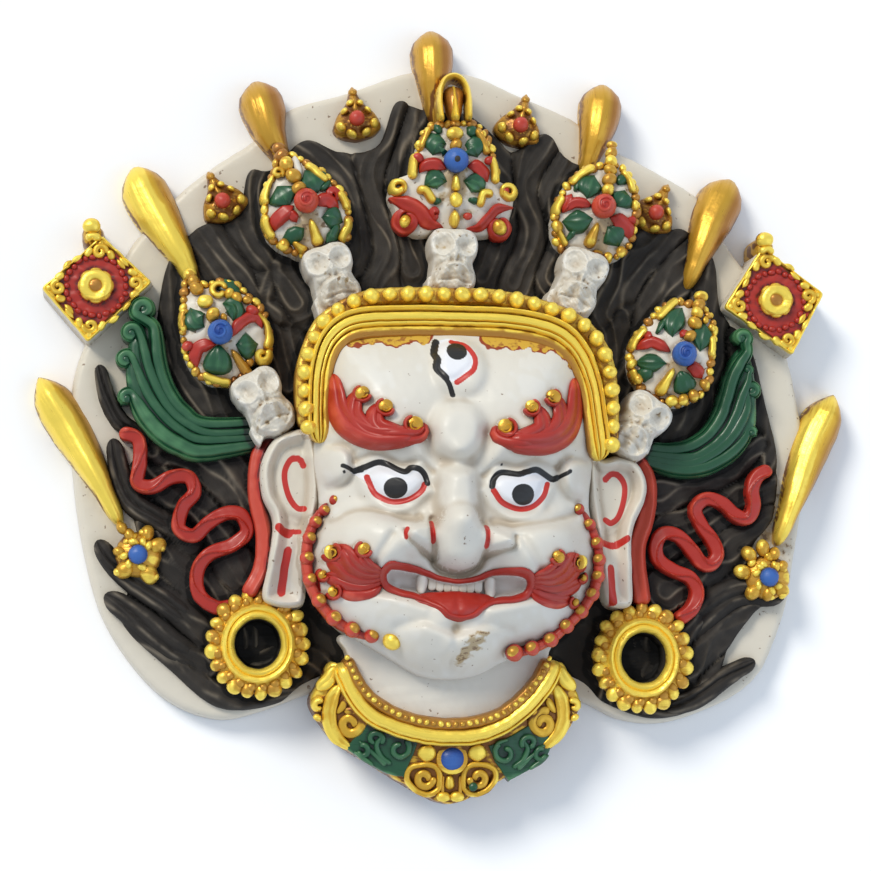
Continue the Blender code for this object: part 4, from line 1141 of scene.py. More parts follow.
@dataclass
class Plaques:
    """Two square plaques with gilded scroll corners, a red field and a button."""

    top: float = 15.0
    field_radius: float = 10.8
    field_drop: float = 1.0
    lumps: int = 26
    corners: tuple[Route, ...] = (
        ((-108, 33), (-92, 47.5), (-78.5, 35), (-95.5, 18.5)),
        ((75.5, 30), (86.5, 47), (103.5, 34), (94.5, 17)))
    middles: Route = ((-93.5, 33.8), (90, 32))
    knobs: Route = ((-94.6, 48.8), (87.3, 47.6))

    def build(self) -> list[Piece]:
        """Makes the plaques."""
        pieces = []
        for number, (corners, (x, y), knob) in enumerate(zip(self.corners, self.middles, self.knobs)):
            clay = Clay(f"plaque_{number}", GOLD)
            self.slab(clay, corners, (x, y))
            self.dress_field(clay, corners, x, y)
            for corner in corners:
                self.dress_corner(clay, corner, (x, y))
            self.dress_knob(clay, knob, (x, y))
            pieces.append(clay.make())
        return pieces

    def slab(self, clay: Clay, corners: Route, middle: Spot) -> None:
        """Lays the white slab, its gilded border and the red field sunk in it."""
        square = []
        for (ax, ay), (bx, by) in zip(corners, (*corners[1:], corners[0])):
            square += [(ax + (bx - ax) * t, ay + (by - ay) * t) for t in (0.03, 0.12, 0.5, 0.88, 0.97)]
        clay.relief(WHITE, square, middle, lambda flat, reach: self.top - 1.3 + 0.0 * reach, corners=160,
                    rings=6,
                    foot=0.0, draft=0.4, edge=0.5, tint=0.5)
        inner = [(middle[0] + (px - middle[0]) * 0.985, middle[1] + (py - middle[1]) * 0.985) for px,
                 py in square]

        def face(flat: Array, reach: Array) -> Array:
            """A raised border round a sunk round field."""
            radius = np.hypot(flat[:, 0] - middle[0], flat[:, 1] - middle[1])
            border = soft_step(reach, 0.935, 0.96)
            field = soft_step(-radius, -self.field_radius - 0.5, -self.field_radius + 0.2)
            return self.top + 0.45 * border - self.field_drop * field * (1.0 - border)
        clay.relief(GOLD, inner, middle, face, corners=220, rings=34, foot=self.top - 2.0, draft=0.0,
                    edge=0.5)

    def dress_field(self, clay: Clay, corners: Route, x: float, y: float) -> None:
        """Fills the round field: red ground that stops at the rim, a ring of lumps and the gilded button."""
        rim = [((1 - t) * ax + t * bx, (1 - t) * ay + t * by) for (ax, ay), (bx, by) in
               zip(corners, (*corners[1:], corners[0])) for t in (0.04, 0.2, 0.4, 0.6, 0.8, 0.96)]
        ring = []
        for bearing in np.linspace(0, 2 * pi, 40, endpoint=False):
            out = np.outer(np.linspace(self.field_radius, 5.0, 40), (cos(bearing), sin(bearing))) + (x, y)
            ring.append(tuple(out[np.argmax(depth_inside(out, rim, 3.0) > 1.2)]))
        base = self.top - self.field_drop
        clay.relief(RED, ring, (x, y), lambda flat, reach: base + 0.35 + 0.18 * ripple(flat, 2.4, 12),
                    corners=120, rings=16, foot=base - 1.0, edge=0.2)
        for k in range(self.lumps):
            (px, py), = placed([(7.9 + 0.2 * sin(2.3 * k), 0.0)], x, y, 360.0 * k / self.lumps)
            size = 0.95 + 0.2 * sin(3.7 * k)
            clay.stamp(BENCH.seed, RED, (px, py, base + 0.45), (0.8, size, 0.75),
                       turn=360.0 * k / self.lumps)
        clay.stamp(BENCH.button, GOLD, (x, y, base + 0.2), (4.5, 4.3, 2.8))
        for k in range(8):
            (px, py), = placed([(3.9, 0.0)], x, y, 45.0 * k)
            clay.stamp(BENCH.bead, GOLD, (px, py, base + 1.2), (0.9, 1.6, 1.2), turn=45.0 * k)
        clay.stamp(BENCH.bead, GOLD, (x, y, base + 1.9), (2.0, 2.0, 0.8), tint=0.9)

    def dress_corner(self, clay: Clay, corner: Spot, middle: Spot) -> None:
        """Carves the flat swirl of one corner and the lobes beside it."""
        dx, dy = corner[0] - middle[0], corner[1] - middle[1]
        reach, bearing = hypot(dx, dy), np.degrees(atan2(dy, dx))
        (swirl, ), (tip, ) = (placed([at], *middle, bearing) for at in ((reach - 4.6, 0.0),
                                                                        (reach - 2.4, 0.0)))
        clay.stroke(GOLD, coil(*swirl, 1.9, 0.1, bearing - 100, 1.4), 0.8, 0.7, self.top - 0.1, across=7,
                    step=0.3)
        clay.stamp(BENCH.seed, GOLD, (*tip, self.top), (1.2, 0.8, 0.5), turn=bearing)
        for side in (-1, 1):
            lobe = placed([(reach - 6.4, side * 3.4), (reach - 4.9, side * 2.9), (reach - 4.0, side * 2.0)],
                          *middle,
                          bearing)
            clay.stroke(GOLD, lobe, 1.0, 0.6, self.top - 0.1, across=7, step=0.4)
            tail = placed([(reach - 6.0, side * 4.6), (reach - 8.4, side * 7.2)], *middle, bearing)
            clay.stroke(GOLD, tail, 0.8, 0.5, self.top - 0.1, swell=LEAF, across=7, step=0.4)

    def dress_knob(self, clay: Clay, knob: Spot, middle: Spot) -> None:
        """Sets the gilded lug behind the plaque's top corner."""
        x, y = knob
        clay.stroke(GOLD, [(x, y - 5.0, 1.0), (x, y - 1.0, 1.0), (x, y + 2.6, 0.92)], 3.0, self.top - 4.0,
                    4.0,
                    profile=flat_top, sink=4.0, across=19, step=0.5, tint=0.2)
        clay.stroke(GOLD, [(x - 1.8, y - 2.4), (x + 0.4, y - 1.6), (x + 2.2, y - 2.8)], 1.1, 1.6, self.top,
                    across=9)
        clay.stamp(BENCH.bead, GOLD, (x - 0.2, y + 1.0, self.top), (2.4, 2.2, 1.8))


# ---- crown, skulls and jewels

@dataclass
class Crown:
    """The grooved crown band over the brow, with its row of beads on a shelf."""

    base: float = 28.0
    rise: float = 6.0
    half: float = 4.3
    bead_radius: float = 2.15
    bead_pitch: float = 4.75
    bead_height: float = 31.4
    band: Route = (
        (-34.3, -9, 0.74), (-34.5, 2, 0.74), (-33.8, 11, 0.78), (-31, 18, 0.9), (-25, 22, 1), (-12, 23, 1),
        (1, 23, 1), (16, 22.5, 1), (27, 20, 1), (33, 15, 0.88), (36.5, 7, 0.76), (38, -2, 0.74),
        (39.5, -13, 0.74))
    bead_row: Route = (
        (-37.5, -5), (-38.5, 4), (-38, 12), (-35, 20.5), (-31, 25), (-23.5, 29), (-14, 30.3), (1, 30.3),
        (12, 30), (24, 27.5), (33, 24), (38.5, 19), (41.5, 12), (42.5, 3), (42.6, -4), (42.4, -9))
    section: Route = (
        (-1, 0.1), (-0.95, 0.38), (-0.82, 0.54), (-0.5, 0.6), (-0.32, 0.58), (-0.24, 0.34), (-0.16, 0.64),
        (-0.08, 0.72), (0, 0.7), (0.06, 0.46), (0.13, 0.74), (0.3, 0.79), (0.54, 0.78), (0.63, 0.5),
        (0.71, 0.88), (0.84, 1), (0.95, 0.9), (1, 0.4))

    def build(self) -> list[Piece]:
        """Makes the band and the beads."""
        band = Clay("crown_band", GOLD, 0.04)
        band.stroke(GOLD, self.band, self.half, self.rise, self.base, profile=steps_across(self.section),
                    sink=8.0,
                    across=61, step=0.8, tint=0.16, side_tint_and_shade=-0.7)
        band.stroke(GOLD, self.bead_row, 2.4, 2.2, self.base - 1.6, profile=flat_top, sink=10.0, tint=0.6)
        beads = Clay("crown_beads", GOLD)
        for number, (x, y) in enumerate(evenly(self.bead_row, self.bead_pitch)):
            size = self.bead_radius * (0.98 + 0.07 * sin(2.3 * number))
            beads.stamp(BENCH.bead, GOLD, (x, y, self.bead_height), (size, 0.92 * size, size * 1.05),
                        turn=37.0 * number, tint=0.15 + 0.3 * sin(1.9 * number))
        return [band.make(), beads.make()]


@dataclass
class Skulls:
    """Five small chalky skulls that stand on the crown."""

    base: float = 24.0
    places: Route = ((-48.8, 2, 27), (-30.9, 35.4, 17), (1, 39.9, -3), (34.8, 35, -20), (50.6, -3.4, -36))
    outline: Route = (
        (0, 8.7), (3.2, 9), (5.6, 7.8), (6.5, 5.2), (6.2, 2.4), (5.2, 0.4), (5.4, -1), (6.3, -3.4),
        (6.1, -6), (4.5, -8.4), (1.6, -9.4), (-1.2, -9.2), (-3.8, -8), (-6.2, -9.4), (-6.6, -5),
        (-5.7, -3.8), (-5.4, -1.4), (-5.2, 0.6), (-6, 2.4), (-6.4, 5.4), (-5.6, 8), (-3.2, 8.9))

    def face(self, u: Array, v: Array) -> Array:
        """The skull's height over its edge in its own place.

        Args:
            u: across.
            v: up.

        Returns:
            The height: brow, dished sockets, nose, the jaw's round dish and its rough teeth.
        """
        height = 4.4 * np.exp(-((u / 6.6) ** 2 + ((v - 3.4) / 6.6) ** 2) ** 2.0)
        for side in (-1, 1):
            radius = np.hypot(u - 3.2 * side, (v - 4.4) * 0.95)
            height += 0.5 * np.exp(-((radius - 3.0) / 0.45) ** 2) - 2.3 * soft_step(-radius, -3.0, -0.2)
            cheek = np.hypot((u - 3.6 * side) / 1.7, (v + 0.2) / 1.1)
            height += 0.7 * np.exp(-cheek ** 2)
            height -= 0.7 * np.exp(-((u - 0.7 * side) / 0.45) ** 2 - ((v - 0.3) / 0.8) ** 2)
        height += 1.3 * np.exp(-(u / 1.1) ** 2 - ((v - 1.6) / 2.0) ** 2)
        jaw = np.hypot((u - 0.5) / 5.7, (v + 4.6) / 4.3)
        height += 2.6 * soft_step(-jaw, -1.1, -0.8) + 0.9 * np.exp(-((jaw - 0.93) / 0.09) ** 2) * (v < -3.0)
        height += 0.8 * (1.0 - np.clip(jaw, 0.0, 1.0) ** 2)
        bearing = np.arctan2(u, v - 6.0)
        teeth = soft_step(-jaw, -0.86, -0.7) * soft_step(-v, 1.0, 3.0)
        height += 0.5 * teeth * np.sin(17.0 * bearing)
        height -= 0.6 * np.exp(-((v + 4.8 + 0.05 * u ** 2) / 0.35) ** 2) * teeth
        return height

    def build(self) -> list[Piece]:
        """Makes the skulls, each a little different."""
        pieces = []
        for number, (x, y, turn) in enumerate(self.places):
            c, s = cos(radians(turn)), sin(radians(turn))

            def top(flat: Array, reach: Array, x: float = x, y: float = y, c: float = c,
                    s: float = s) -> Array:
                """The skull's height on the mask, rough as a small cast is."""
                dx, dy = flat[:, 0] - x, flat[:, 1] - y
                rough = 0.2 * ripple(flat, 1.8, 71) + 0.07 * ripple(flat, 0.8, 72)
                return self.base + rough + self.face(dx * c + dy * s,
                                                     dy * c - dx * s) * (1.0 - 0.3 * reach ** 6)
            clay = Clay(f"skull_{number}", WHITE)
            clay.relief(WHITE, placed(self.outline, x, y, turn), (x, y), top, corners=190, rings=44,
                        foot=6.0,
                        draft=0.8, edge=0.8, tint=0.25,
                        coats=lambda flat: {"grime": 0.28 + 0.4 * ripple(flat, 2.6, 73)})
            pieces.append(clay.make())
        return pieces


@dataclass(frozen=True)
class Leaf:
    """One carved line or leaf of a jewel, in the jewel's own place."""

    half: float
    points: Route
    rise: float = 2.0
    swell: Swell = EVEN
    tint: float = 0.0


@dataclass(frozen=True)
class Drop:
    """One round bead of a jewel, in the jewel's own place."""

    x: float
    y: float
    radius: float
    tint: float = 0.0
    paint: Paint = GOLD


@dataclass(frozen=True)
class Jewel:
    """The plan of one jewel; its leaves and drops are rows of the values that Leaf and Drop take."""

    name: str
    centre: Spot
    stone: Paint
    ground: Route
    leaves: dict[Paint, tuple[tuple, ...]]
    drops: tuple[tuple, ...]
    pupil: bool = False


LOW_LEFT = Jewel(
    "jewel_0", (-60.5, 20.5), BLUE,
    ((-10, 12), (-9, 16), (-4, 14), (2, 15), (8, 11), (12, 6), (13.5, 0), (12.5, -6), (8, -8), (6, -12),
     (0, -13.5), (-5, -12), (-9, -7), (-10.5, 2)),
    {GREEN: (
         (2, ((-8, 7), (-6.5, 3), (-4, 1.5)), 2.4, LEAF),
         (1.6, ((0.5, 8), (3, 7.5), (4, 5.5), (3.5, 3)), 2.6),
         (2.2, ((4, -3), (7, -3.2), (10, -2.5)), 2.2, LEAF),
         (3.1, ((-0.4, -3.2), (-0.5, -7), (-0.8, -11)), 2.6, FAN),
         (1.5, ((-1, 11.8), (1.5, 12.6), (5.5, 10.8)), 1.8)),
     RED: (
         (1.2, ((3, -1), (5, 2.5), (8, 4.5), (10, 4), (11, 1.5)), 2.6),
         (1.3, ((-1, -3), (-5, -3.5), (-6.5, -5.5), (-6, -9)), 2.4)),
     GOLD: (
         (1.3, ((2.9, -4.2), (5.6, -8), (8.2, -12)), 3.2, EVEN, 0.45),
         (1, ((8.6, 6.8), (12, 3.2), (13, -1), (12.2, -4)), 2.6),
         (0.85, coil(11.2, -5.6, 1.9, 0.3, 60, -1.2), 2.8),
         (0.8, ((-4.5, -10.4), (-3, -11.6), (0, -12.6), (3.3, -12.9)), 2.2),
         (0.7, coil(-0.5, 11.7, 2, 1.3, 0, 1), 2.4),
         (0.7, ((-9.6, 6.6), (-10.2, 3.8), (-9.8, 0.6)), 2, EVEN, 0.3))},
    ((-9.5, 5.8, 0.9), (-9.9, 3.8, 0.9), (-9.6, 1.3, 0.9), (8.4, 6.1, 1.5, 0, RED),
     (-8.5, -3.5, 1.3, 0, RED), (2.3, 10.7, 1.3), (4.3, 9.6, 1.4), (7, 9, 1.1), (-8.1, 16.2, 1.6, 0.3),
     (-7.2, 14.2, 1.5, 0.2), (-6.3, 12, 1.7), (-4, 8.4, 1.8), (-2, 4.8, 1.7), (0.9, 4.1, 0.9)))

UPPER_LEFT = Jewel(
    "jewel_1", (-38, 55.8), RED,
    ((-8.5, 9), (-8, 13.5), (-4, 14), (0, 11.5), (4, 9), (8, 5.5), (11.2, 1), (12, -4), (11, -10),
     (5, -13.5), (0, -14.5), (-5, -13), (-10, -9.5), (-11.5, -3), (-11, 4)),
    {GREEN: (
         (2.6, ((-7.7, 4.4), (-6, 1.5), (-4.4, -1.2)), 2.4, LEAF),
         (2.6, ((-0.4, 8.8), (1.8, 6), (3.2, 2.4)), 2.4, LEAF), (1.2, ((4.4, 5.2), (6, 3.8)), 2),
         (1.3, ((-6.3, -9.7), (-3.2, -8.8), (-0.4, -6.9)), 2.2),
         (2, ((4.1, -4), (7, -4), (10, -5)), 2.2, LEAF), (2.4, ((5.6, -8.2), (8.6, -9.6)), 2.2)),
     RED: (
         (1.5, ((-3.2, -1), (-5.3, -2.8), (-7.7, -5), (-8.4, -7.8)), 2.4),
         (1, ((-5.1, -2.8), (-3.6, -3.6), (-2.4, -5.4)), 2.2),
         (1.4, ((2.4, -0.9), (5.1, 0.7), (7.2, -0.2), (8.8, -1.4)), 2.4),
         (0.9, coil(7.2, 2.2, 1.5, 0.6, -90, 1.1), 2.2)),
     GOLD: (
         (1, ((-8.4, 7.8), (-10.1, 4.5), (-11, 1.2), (-10.3, -0.7)), 2.2),
         (0.9, ((-0.4, 10.4), (1.5, 9.5), (3.4, 7.6), (5.8, 5.7)), 2.2),
         (0.9, ((-10.3, -3.4), (-10.8, -5), (-9.8, -7.8), (-8.4, -9.7)), 2.2),
         (1.1, ((-3.7, -10.2), (-2, -11.6), (0.6, -13.4)), 2.4),
         (1.4, ((1.1, -4.4), (2.4, -8), (3.7, -11.8)), 2.9),
         (0.9, ((8.6, 3.2), (10.4, 0.6), (11.1, -1.9)), 2.2),
         (0.9, ((11.2, -3.6), (11.3, -6), (10.2, -8), (9.4, -10.4)), 2.2),
         (0.6, coil(-7.4, 8, 1.4, 0.5, -60, 1.2), 2.2)),
     WHITE: ((0.8, ((-3.2, 13.3), (-2.4, 10), (-1.3, 7.1)), 2),)},
    ((-7.2, 15.2, 1.5, 0.8), (-6.4, 13, 1.6, 0.7), (-5.2, 10.2, 1.9, 0.2), (-3.4, 6.9, 1.9, 0.15),
     (-2, 3.5, 1.7), (-5.8, -11.3, 1.5, 0.2)))

CENTRE = Jewel(
    "jewel_2", (1.9, 67.3), BLUE,
    ((-4.5, 10.5), (-7.5, 9.5), (-10, 5), (-11.5, -1), (-12.5, -5), (-16.5, -4.5), (-18.2, -8.5), (-17, -13),
     (-15, -18.5), (-10, -20.5), (-5, -19.5), (0, -21), (5, -20.5), (10, -20), (14.5, -18.5), (16.5, -13),
     (17, -7.5), (12.5, -4.8), (11, 0), (9.5, 6), (5.5, 11)),
    {GREEN: (
         (2.2, ((-2.4, 4.8), (-5, 4.6), (-6.2, 1.6)), 2.4, LEAF),
         (2.3, ((2.4, 4.6), (4.6, 4.2), (5.8, 1.2)), 2.4, LEAF), (1, ((-6, 8.4), (-3.4, 9.6)), 1.8),
         (1, ((3, 9.6), (6, 7.4)), 1.8), (1.7, ((-2.2, -5.4), (-5.4, -4.8), (-8.4, -6.6)), 2.2, LEAF),
         (1.7, ((2, -5), (5.7, -5.8), (7.9, -8.2)), 2.2, LEAF), (1, ((-5.4, -9.4), (-5.2, -11.6)), 1.8),
         (1, ((5.4, -9.2), (5, -11.4)), 1.8)),
     RED: (
         (1.3, ((-9.8, -3), (-8, -1.1), (-5.2, -0.9), (-2.5, -2.2)), 2.4),
         (1.4, ((3, -1.1), (6.2, -1.6), (8.8, -5.2)), 2.4),
         (1.5, ((-17.6, -9.3), (-13.9, -10.7), (-9.8, -12.6), (-7.1, -16), (-3, -17.2)), 2.6),
         (1, coil(-13, -15.4, 2.7, 1.8, 70, 1.1), 2.2),
         (1, ((3, -17.6), (6.6, -17.1), (9.3, -14.4), (11.6, -12.1), (16, -11.4)), 2.4),
         (1.1, coil(12.1, -16.8, 2.4, 1.6, 90, -1.1), 2.2), (0.8, coil(-5.4, -14, 1.2, 0.4, 0, 1.2), 2)),
     GOLD: (
         (2.4, ((-0.1, 10.5), (-0.1, 16), (-0.1, 21.5)), 4.2, EVEN, 0.9),
         (0.72,
          ((-3.9, 10.8), (-4.2, 16.4), (-3.8, 20.1), (-2.4, 23), (-0.1, 24), (2.2, 22.8), (3.5, 19.8),
           (3.7, 16), (3.6, 11.2)),
          5.4),
         (0.95, ((-0.3, 21.6), (-0.2, 17.4), (0, 10.8)), 5.4),
         (0.8, ((-6.9, 9.4), (-8.4, 6.2), (-9.6, 3.2)), 2, EVEN, 0.2),
         (0.8, ((5.7, 9.3), (7.5, 5.7), (8.6, 2)), 2, EVEN, 0.2),
         (0.9, ((-10.6, 2.4), (-11.2, -1), (-11.4, -4.8)), 2.2),
         (0.9, ((9.6, 1.6), (10.6, -1.8), (10.9, -5.7)), 2.2), (1.1, ((0, -3.2), (0.1, -8.2)), 3),
         (1.1, ((-0.1, -12.4), (-0.1, -15.6), (0.1, -18.2)), 2.8, LEAF),
         (0.9, ((-10.4, -7.4), (-8, -7.8), (-6.6, -9.6), (-5.6, -11.2)), 2.2),
         (0.9, ((10.4, -8.2), (7.8, -8.4), (7, -10), (6.6, -12)), 2.2),
         (1, coil(-15.3, -6.8, 2.1, 0.7, -60, 1.3), 2.4), (1, coil(14.6, -7.6, 2.1, 0.9, 240, -1.3), 2.4))},
    ((-0.3, 7.4, 1.9), (0, 4.3, 1.5), (0.1, -10.3, 1.7), (-10, 0.9, 1.3, 0, RED), (9, 0.4, 1.1, 0, RED),
     (-13.2, -15.6, 1.5), (12.1, -16.9, 1.9), (-8.6, 7.6, 0.9), (-9.8, 4.8, 0.9), (7.4, 7.6, 0.9),
     (8.4, 5, 0.9), (3.4, -14.4, 1, 0, RED), (13.6, -7.4, 1, 0, RED)),
    pupil=True)

UPPER_RIGHT = Jewel(
    "jewel_3", (41.5, 55.5), RED,
    ((-2.5, 11.5), (-6.5, 10), (-10, 6), (-12.5, 1), (-13.2, -4), (-12.5, -9.5), (-9, -12.5), (-3, -14),
     (3, -14), (7.5, -11), (9.5, -5), (9.8, 2), (9, 8), (6.5, 11.5), (2.5, 13)),
    {GREEN: (
         (2.3, ((-2, 9.1), (-3.3, 6.6), (-3.8, 3.5), (-4.3, 2.3)), 2.4, LEAF),
         (1.7, ((-7.4, 7.4), (-5.4, 6.6)), 2), (1.3, ((4.6, 9.4), (6.6, 6.6)), 2),
         (2.2, ((6.2, 5), (5.2, 2.4), (3.6, 0.2)), 2.2, LEAF),
         (2, ((-10.9, -3.6), (-7, -3.9), (-2.5, -3)), 2.2, LEAF), (1.8, ((-8.8, -6.4), (-7.4, -7.6)), 2),
         (2.2, ((1.3, -5), (3.2, -7.2), (4.8, -10.2)), 2.2, LEAF)),
     RED: (
         (1, ((-8.1, 3.9), (-9.4, 1.5), (-10.8, -1.4)), 2.2),
         (1.1, ((-10.6, -1.4), (-8.6, 0.9), (-6.2, 1.3), (-2.8, 0.2)), 2.4),
         (1.6, ((1.8, -2.6), (4.3, -3.5), (6.8, -5.6), (7.9, -8.4)), 2.4),
         (0.9, ((8.2, -1.8), (8.2, -4.6)), 2)),
     GOLD: (
         (0.9, ((-1.8, 11.7), (-3.8, 10.4), (-6.6, 8.4), (-8.4, 6.3)), 2.2),
         (0.9, ((-10.4, 3.4), (-12, 0.2), (-12.4, -2.2)), 2.2),
         (0.7, ((-11.9, -5.3), (-10.8, -7.8), (-9.4, -10.4)), 2.2),
         (1.4, ((-1.3, -4.1), (-2.6, -7.4), (-3.8, -10.8)), 2.9, EVEN, 0.2),
         (0.8, ((5.6, 10.6), (7.6, 7.6), (8.6, 4.2)), 2.2), (0.8, ((8.9, 2.4), (9, -0.6)), 2.2))},
    ((3.4, 18, 1.2, 0.2), (3, 15.6, 1.5), (2.7, 12.9, 1.6), (2.3, 10.4, 1.5), (1.8, 7.6, 1.7),
     (1.3, 4.6, 1.6), (-11.9, -5, 1.5), (-1.3, -12.6, 1.4), (1.5, -13, 1.2), (5.2, -11.6, 1.3)))

LOW_RIGHT = Jewel(
    "jewel_4", (63, 16), BLUE,
    ((2.5, 15), (-2.5, 15.5), (-7, 12), (-10.5, 8), (-14, 3), (-14.5, -3), (-12.5, -8), (-7, -12.5),
     (-2.5, -14), (3, -12.5), (7, -9), (8, -3), (8.8, 3), (9.5, 8), (8, 12.5)),
    {GREEN: (
         (1.9, ((0.5, 13.2), (-1.8, 9.9), (-2.8, 7.1), (-2.8, 4.6)), 2.4, LEAF),
         (1.9, ((-6.2, 8.8), (-4.6, 7.8)), 2), (1.6, ((-12.7, -1.8), (-8.6, -2.2), (-4.4, -2.3)), 2.2, LEAF),
         (1.4, ((-10.1, -3), (-10.1, -7.3)), 2.2), (1.9, ((5.8, 9.4), (5.3, 5.3), (4.6, 0.8)), 2.2, LEAF),
         (2.5, ((-0.8, -4.4), (0.2, -7), (1.4, -10.2)), 2.2, FAN)),
     RED: (
         (0.8, ((1.3, 6.8), (-0.8, 4.6)), 2.4), (1.1, ((-8.4, 6.4), (-10.4, 4.2)), 2.2),
         (1.2, ((-12.9, 1.6), (-9.1, 3.4), (-6.6, 2.8), (-3.4, 0.7)), 2.4),
         (1.3, ((0.8, -3.6), (3.3, -3.8), (5.3, -6.4)), 2.4)),
     GOLD: (
         (0.8, ((-9.6, 7.4), (-12.2, 4.4), (-13.6, 1.2)), 2.2),
         (0.8, ((-13.4, -3.4), (-12.6, -5.6), (-11.2, -7.6)), 2.2),
         (1.4, ((-2.5, -3.6), (-4.6, -7.4), (-6.6, -10.9)), 2.9),
         (0.8, ((8, 5.4), (8.1, 2.2), (7.7, -0.6)), 2.2),
         (0.9, ((-0.3, 15.4), (-2.2, 14.2), (-4.6, 11.9), (-6.8, 9.8)), 2.2))},
    ((5.9, 16.4, 1.6), (4.9, 13.8, 1.6), (4.2, 11.4, 1.6), (3.3, 8.6, 1.7), (1.8, 5, 1.5), (6.4, 9.6, 0.9),
     (8, 7.6, 0.9), (7.3, 10.9, 0.9), (-13.4, -2.3, 1.3), (-11.7, -6.3, 1.2), (5.9, -7.8, 1.3),
     (-2.8, -12.2, 1.5), (0.2, -11.9, 1.4), (3, -10.8, 1.4)))


@dataclass
class Jewels:
    """Five leafy jewels round the crown, each about a painted stone."""

    base: float = 18.4
    crest: float = 23.0
    fullness: Triple = (1.65, 1.4, 1.35)
    stone_radius: float = 3.35
    plans: tuple[Jewel, ...] = (LOW_LEFT, UPPER_LEFT, CENTRE, UPPER_RIGHT, LOW_RIGHT)

    def build(self) -> list[Piece]:
        """Makes the jewels."""
        return [self.jewel(plan) for plan in self.plans]

    def jewel(self, plan: Jewel) -> Piece:
        """Makes one jewel: the white ground, the leaves on it, the beads and the stone."""
        clay = Clay(plan.name, WHITE)
        x, y = plan.centre
        spread = 19.0 if plan.pupil else 15.0

        def dome(flat: Array) -> Array:
            """The jewel's rounded ground."""
            radius = np.hypot(flat[:, 0] - x, flat[:, 1] - y) / spread
            return self.crest - (self.crest - self.base) * np.clip(radius, 0.0, 1.2) ** 2
        ground = placed(plan.ground, x, y, 0.0, 0.94)

        def soiled(flat: Array) -> Coats:
            """The brown that fills the ground below the stone."""
            dx, dy = flat[:, 0] - x, flat[:, 1] - y + 6.0
            below = np.exp(-(dx / 4.2) ** 2 - (dy / 6.5) ** 2)
            return {"grime": 0.35 + 0.25 * ripple(flat, 5.0, 8) + 0.8 * below}
        clay.relief(WHITE, ground, (x, y), lambda flat, reach: dome(flat) + 0.15 * ripple(flat, 4.0, 9),
                    corners=190,
                    rings=40, foot=6.0, draft=1.2, edge=1.0, tint=0.2, coats=soiled)
        self.edge(clay, [(u, v) for u, v in evenly(ground, 2.2,
                                                   closed=True) if not plan.pupil or v > y - 3.0], dome)
        for paint, rows in plan.leaves.items():
            for leaf in (Leaf(*row) for row in rows):
                self.carve(clay, paint, leaf, placed(leaf.points, x, y), dome)
        for number, drop in enumerate(Drop(*row) for row in plan.drops):
            u, v = x + drop.x, y + drop.y
            height = height_at(dome, u, v) + 0.7 + 0.35 * drop.radius
            clay.stamp(BENCH.bead, drop.paint, (u, v, height),
                       (1.22 * drop.radius, 1.02 * drop.radius, drop.radius), 50.0 * number,
                       drop.tint + (0.35 + 0.25 * sin(2.1 * number)) * (drop.paint is GOLD))
        top = self.crest + 2.2
        clay.stamp(BENCH.bead, plan.stone, (x, y, top), (self.stone_radius, self.stone_radius, 3.3))
        if plan.pupil:
            clay.stamp(BENCH.bead, BLACK, (x, y - 0.2, top + 2.55), (1.15, 1.15, 0.9))
        else:
            def face(flat: Array) -> Array:
                """The stone's rounded face."""
                away = (flat[:, 0] - x) ** 2 + (flat[:, 1] - y) ** 2
                return top + 3.3 * np.sqrt(np.clip(1 - away / self.stone_radius ** 2, 0.02, 1)) - 0.15
            clay.stroke(plan.stone, coil(x, y, 2.3, 0.4, 40, 1.6), 0.5, 0.5, face, across=7, step=0.35)
        return clay.make()

    def carve(self, clay: Clay, paint: Paint, leaf: Leaf, route: Route, dome: Ground) -> None:
        """Carves one line or leaf on a jewel's ground, in the manner of its paint."""
        gilt = paint is GOLD
        profile = CREASED if paint is RED else round_top
        if leaf.half > 1.55 and paint is GREEN:
            profile = ribbed(3, 0.3)
        swell = leaf.swell
        if swell is EVEN and (not gilt or leaf.half > 0.9):
            swell = FAN if gilt else BLADE
        full = {GREEN: self.fullness[0], GOLD: self.fullness[1]}.get(paint, self.fullness[2])
        clay.stroke(paint, route, leaf.half * full, leaf.rise * (1.05 if gilt else 0.85), dome,
                    profile=profile,
                    swell=swell, tint=leaf.tint + 0.2, step=0.5, across=13 if leaf.half > 0.95 else 9,
                    sink=3.0)

    def edge(self, clay: Clay, places: Route, dome: Callable[[Array], Array]) -> None:
        """Runs uneven gilded lumps along a jewel's edge."""
        draw = np.random.default_rng(41)
        for u, v in places:
            size, flat, turn, warmth = draw.uniform((0.75, 0.6, 0.0, 0.1), (1.35, 0.95, 180.0, 1.0))
            height = height_at(dome, u, v) - 0.2
            clay.stamp(BENCH.seed, GOLD, (u, v, height), (1.25 * size, size * flat + 0.3, 1.3), turn, warmth)


# ---- plumes, ribbons and bands

@dataclass(frozen=True)
class Flute:
    """One flute of a plume: the curl at its outer end and its way down to the root."""

    curl: Spot
    radius: float
    start: float
    turns: float
    route: Route

    def path(self) -> Route:
        """Rows of x, y and share of width, from inside the curl down to the root."""
        rolled = coil(*self.curl, 0.72 * self.radius, 0.3, self.start, self.turns)[::-1]
        return [(x, y, 0.1 * self.radius * (1.8 + 0.9 * k / len(rolled))) for k,
                (x, y) in enumerate(rolled)] + [
            *self.route]


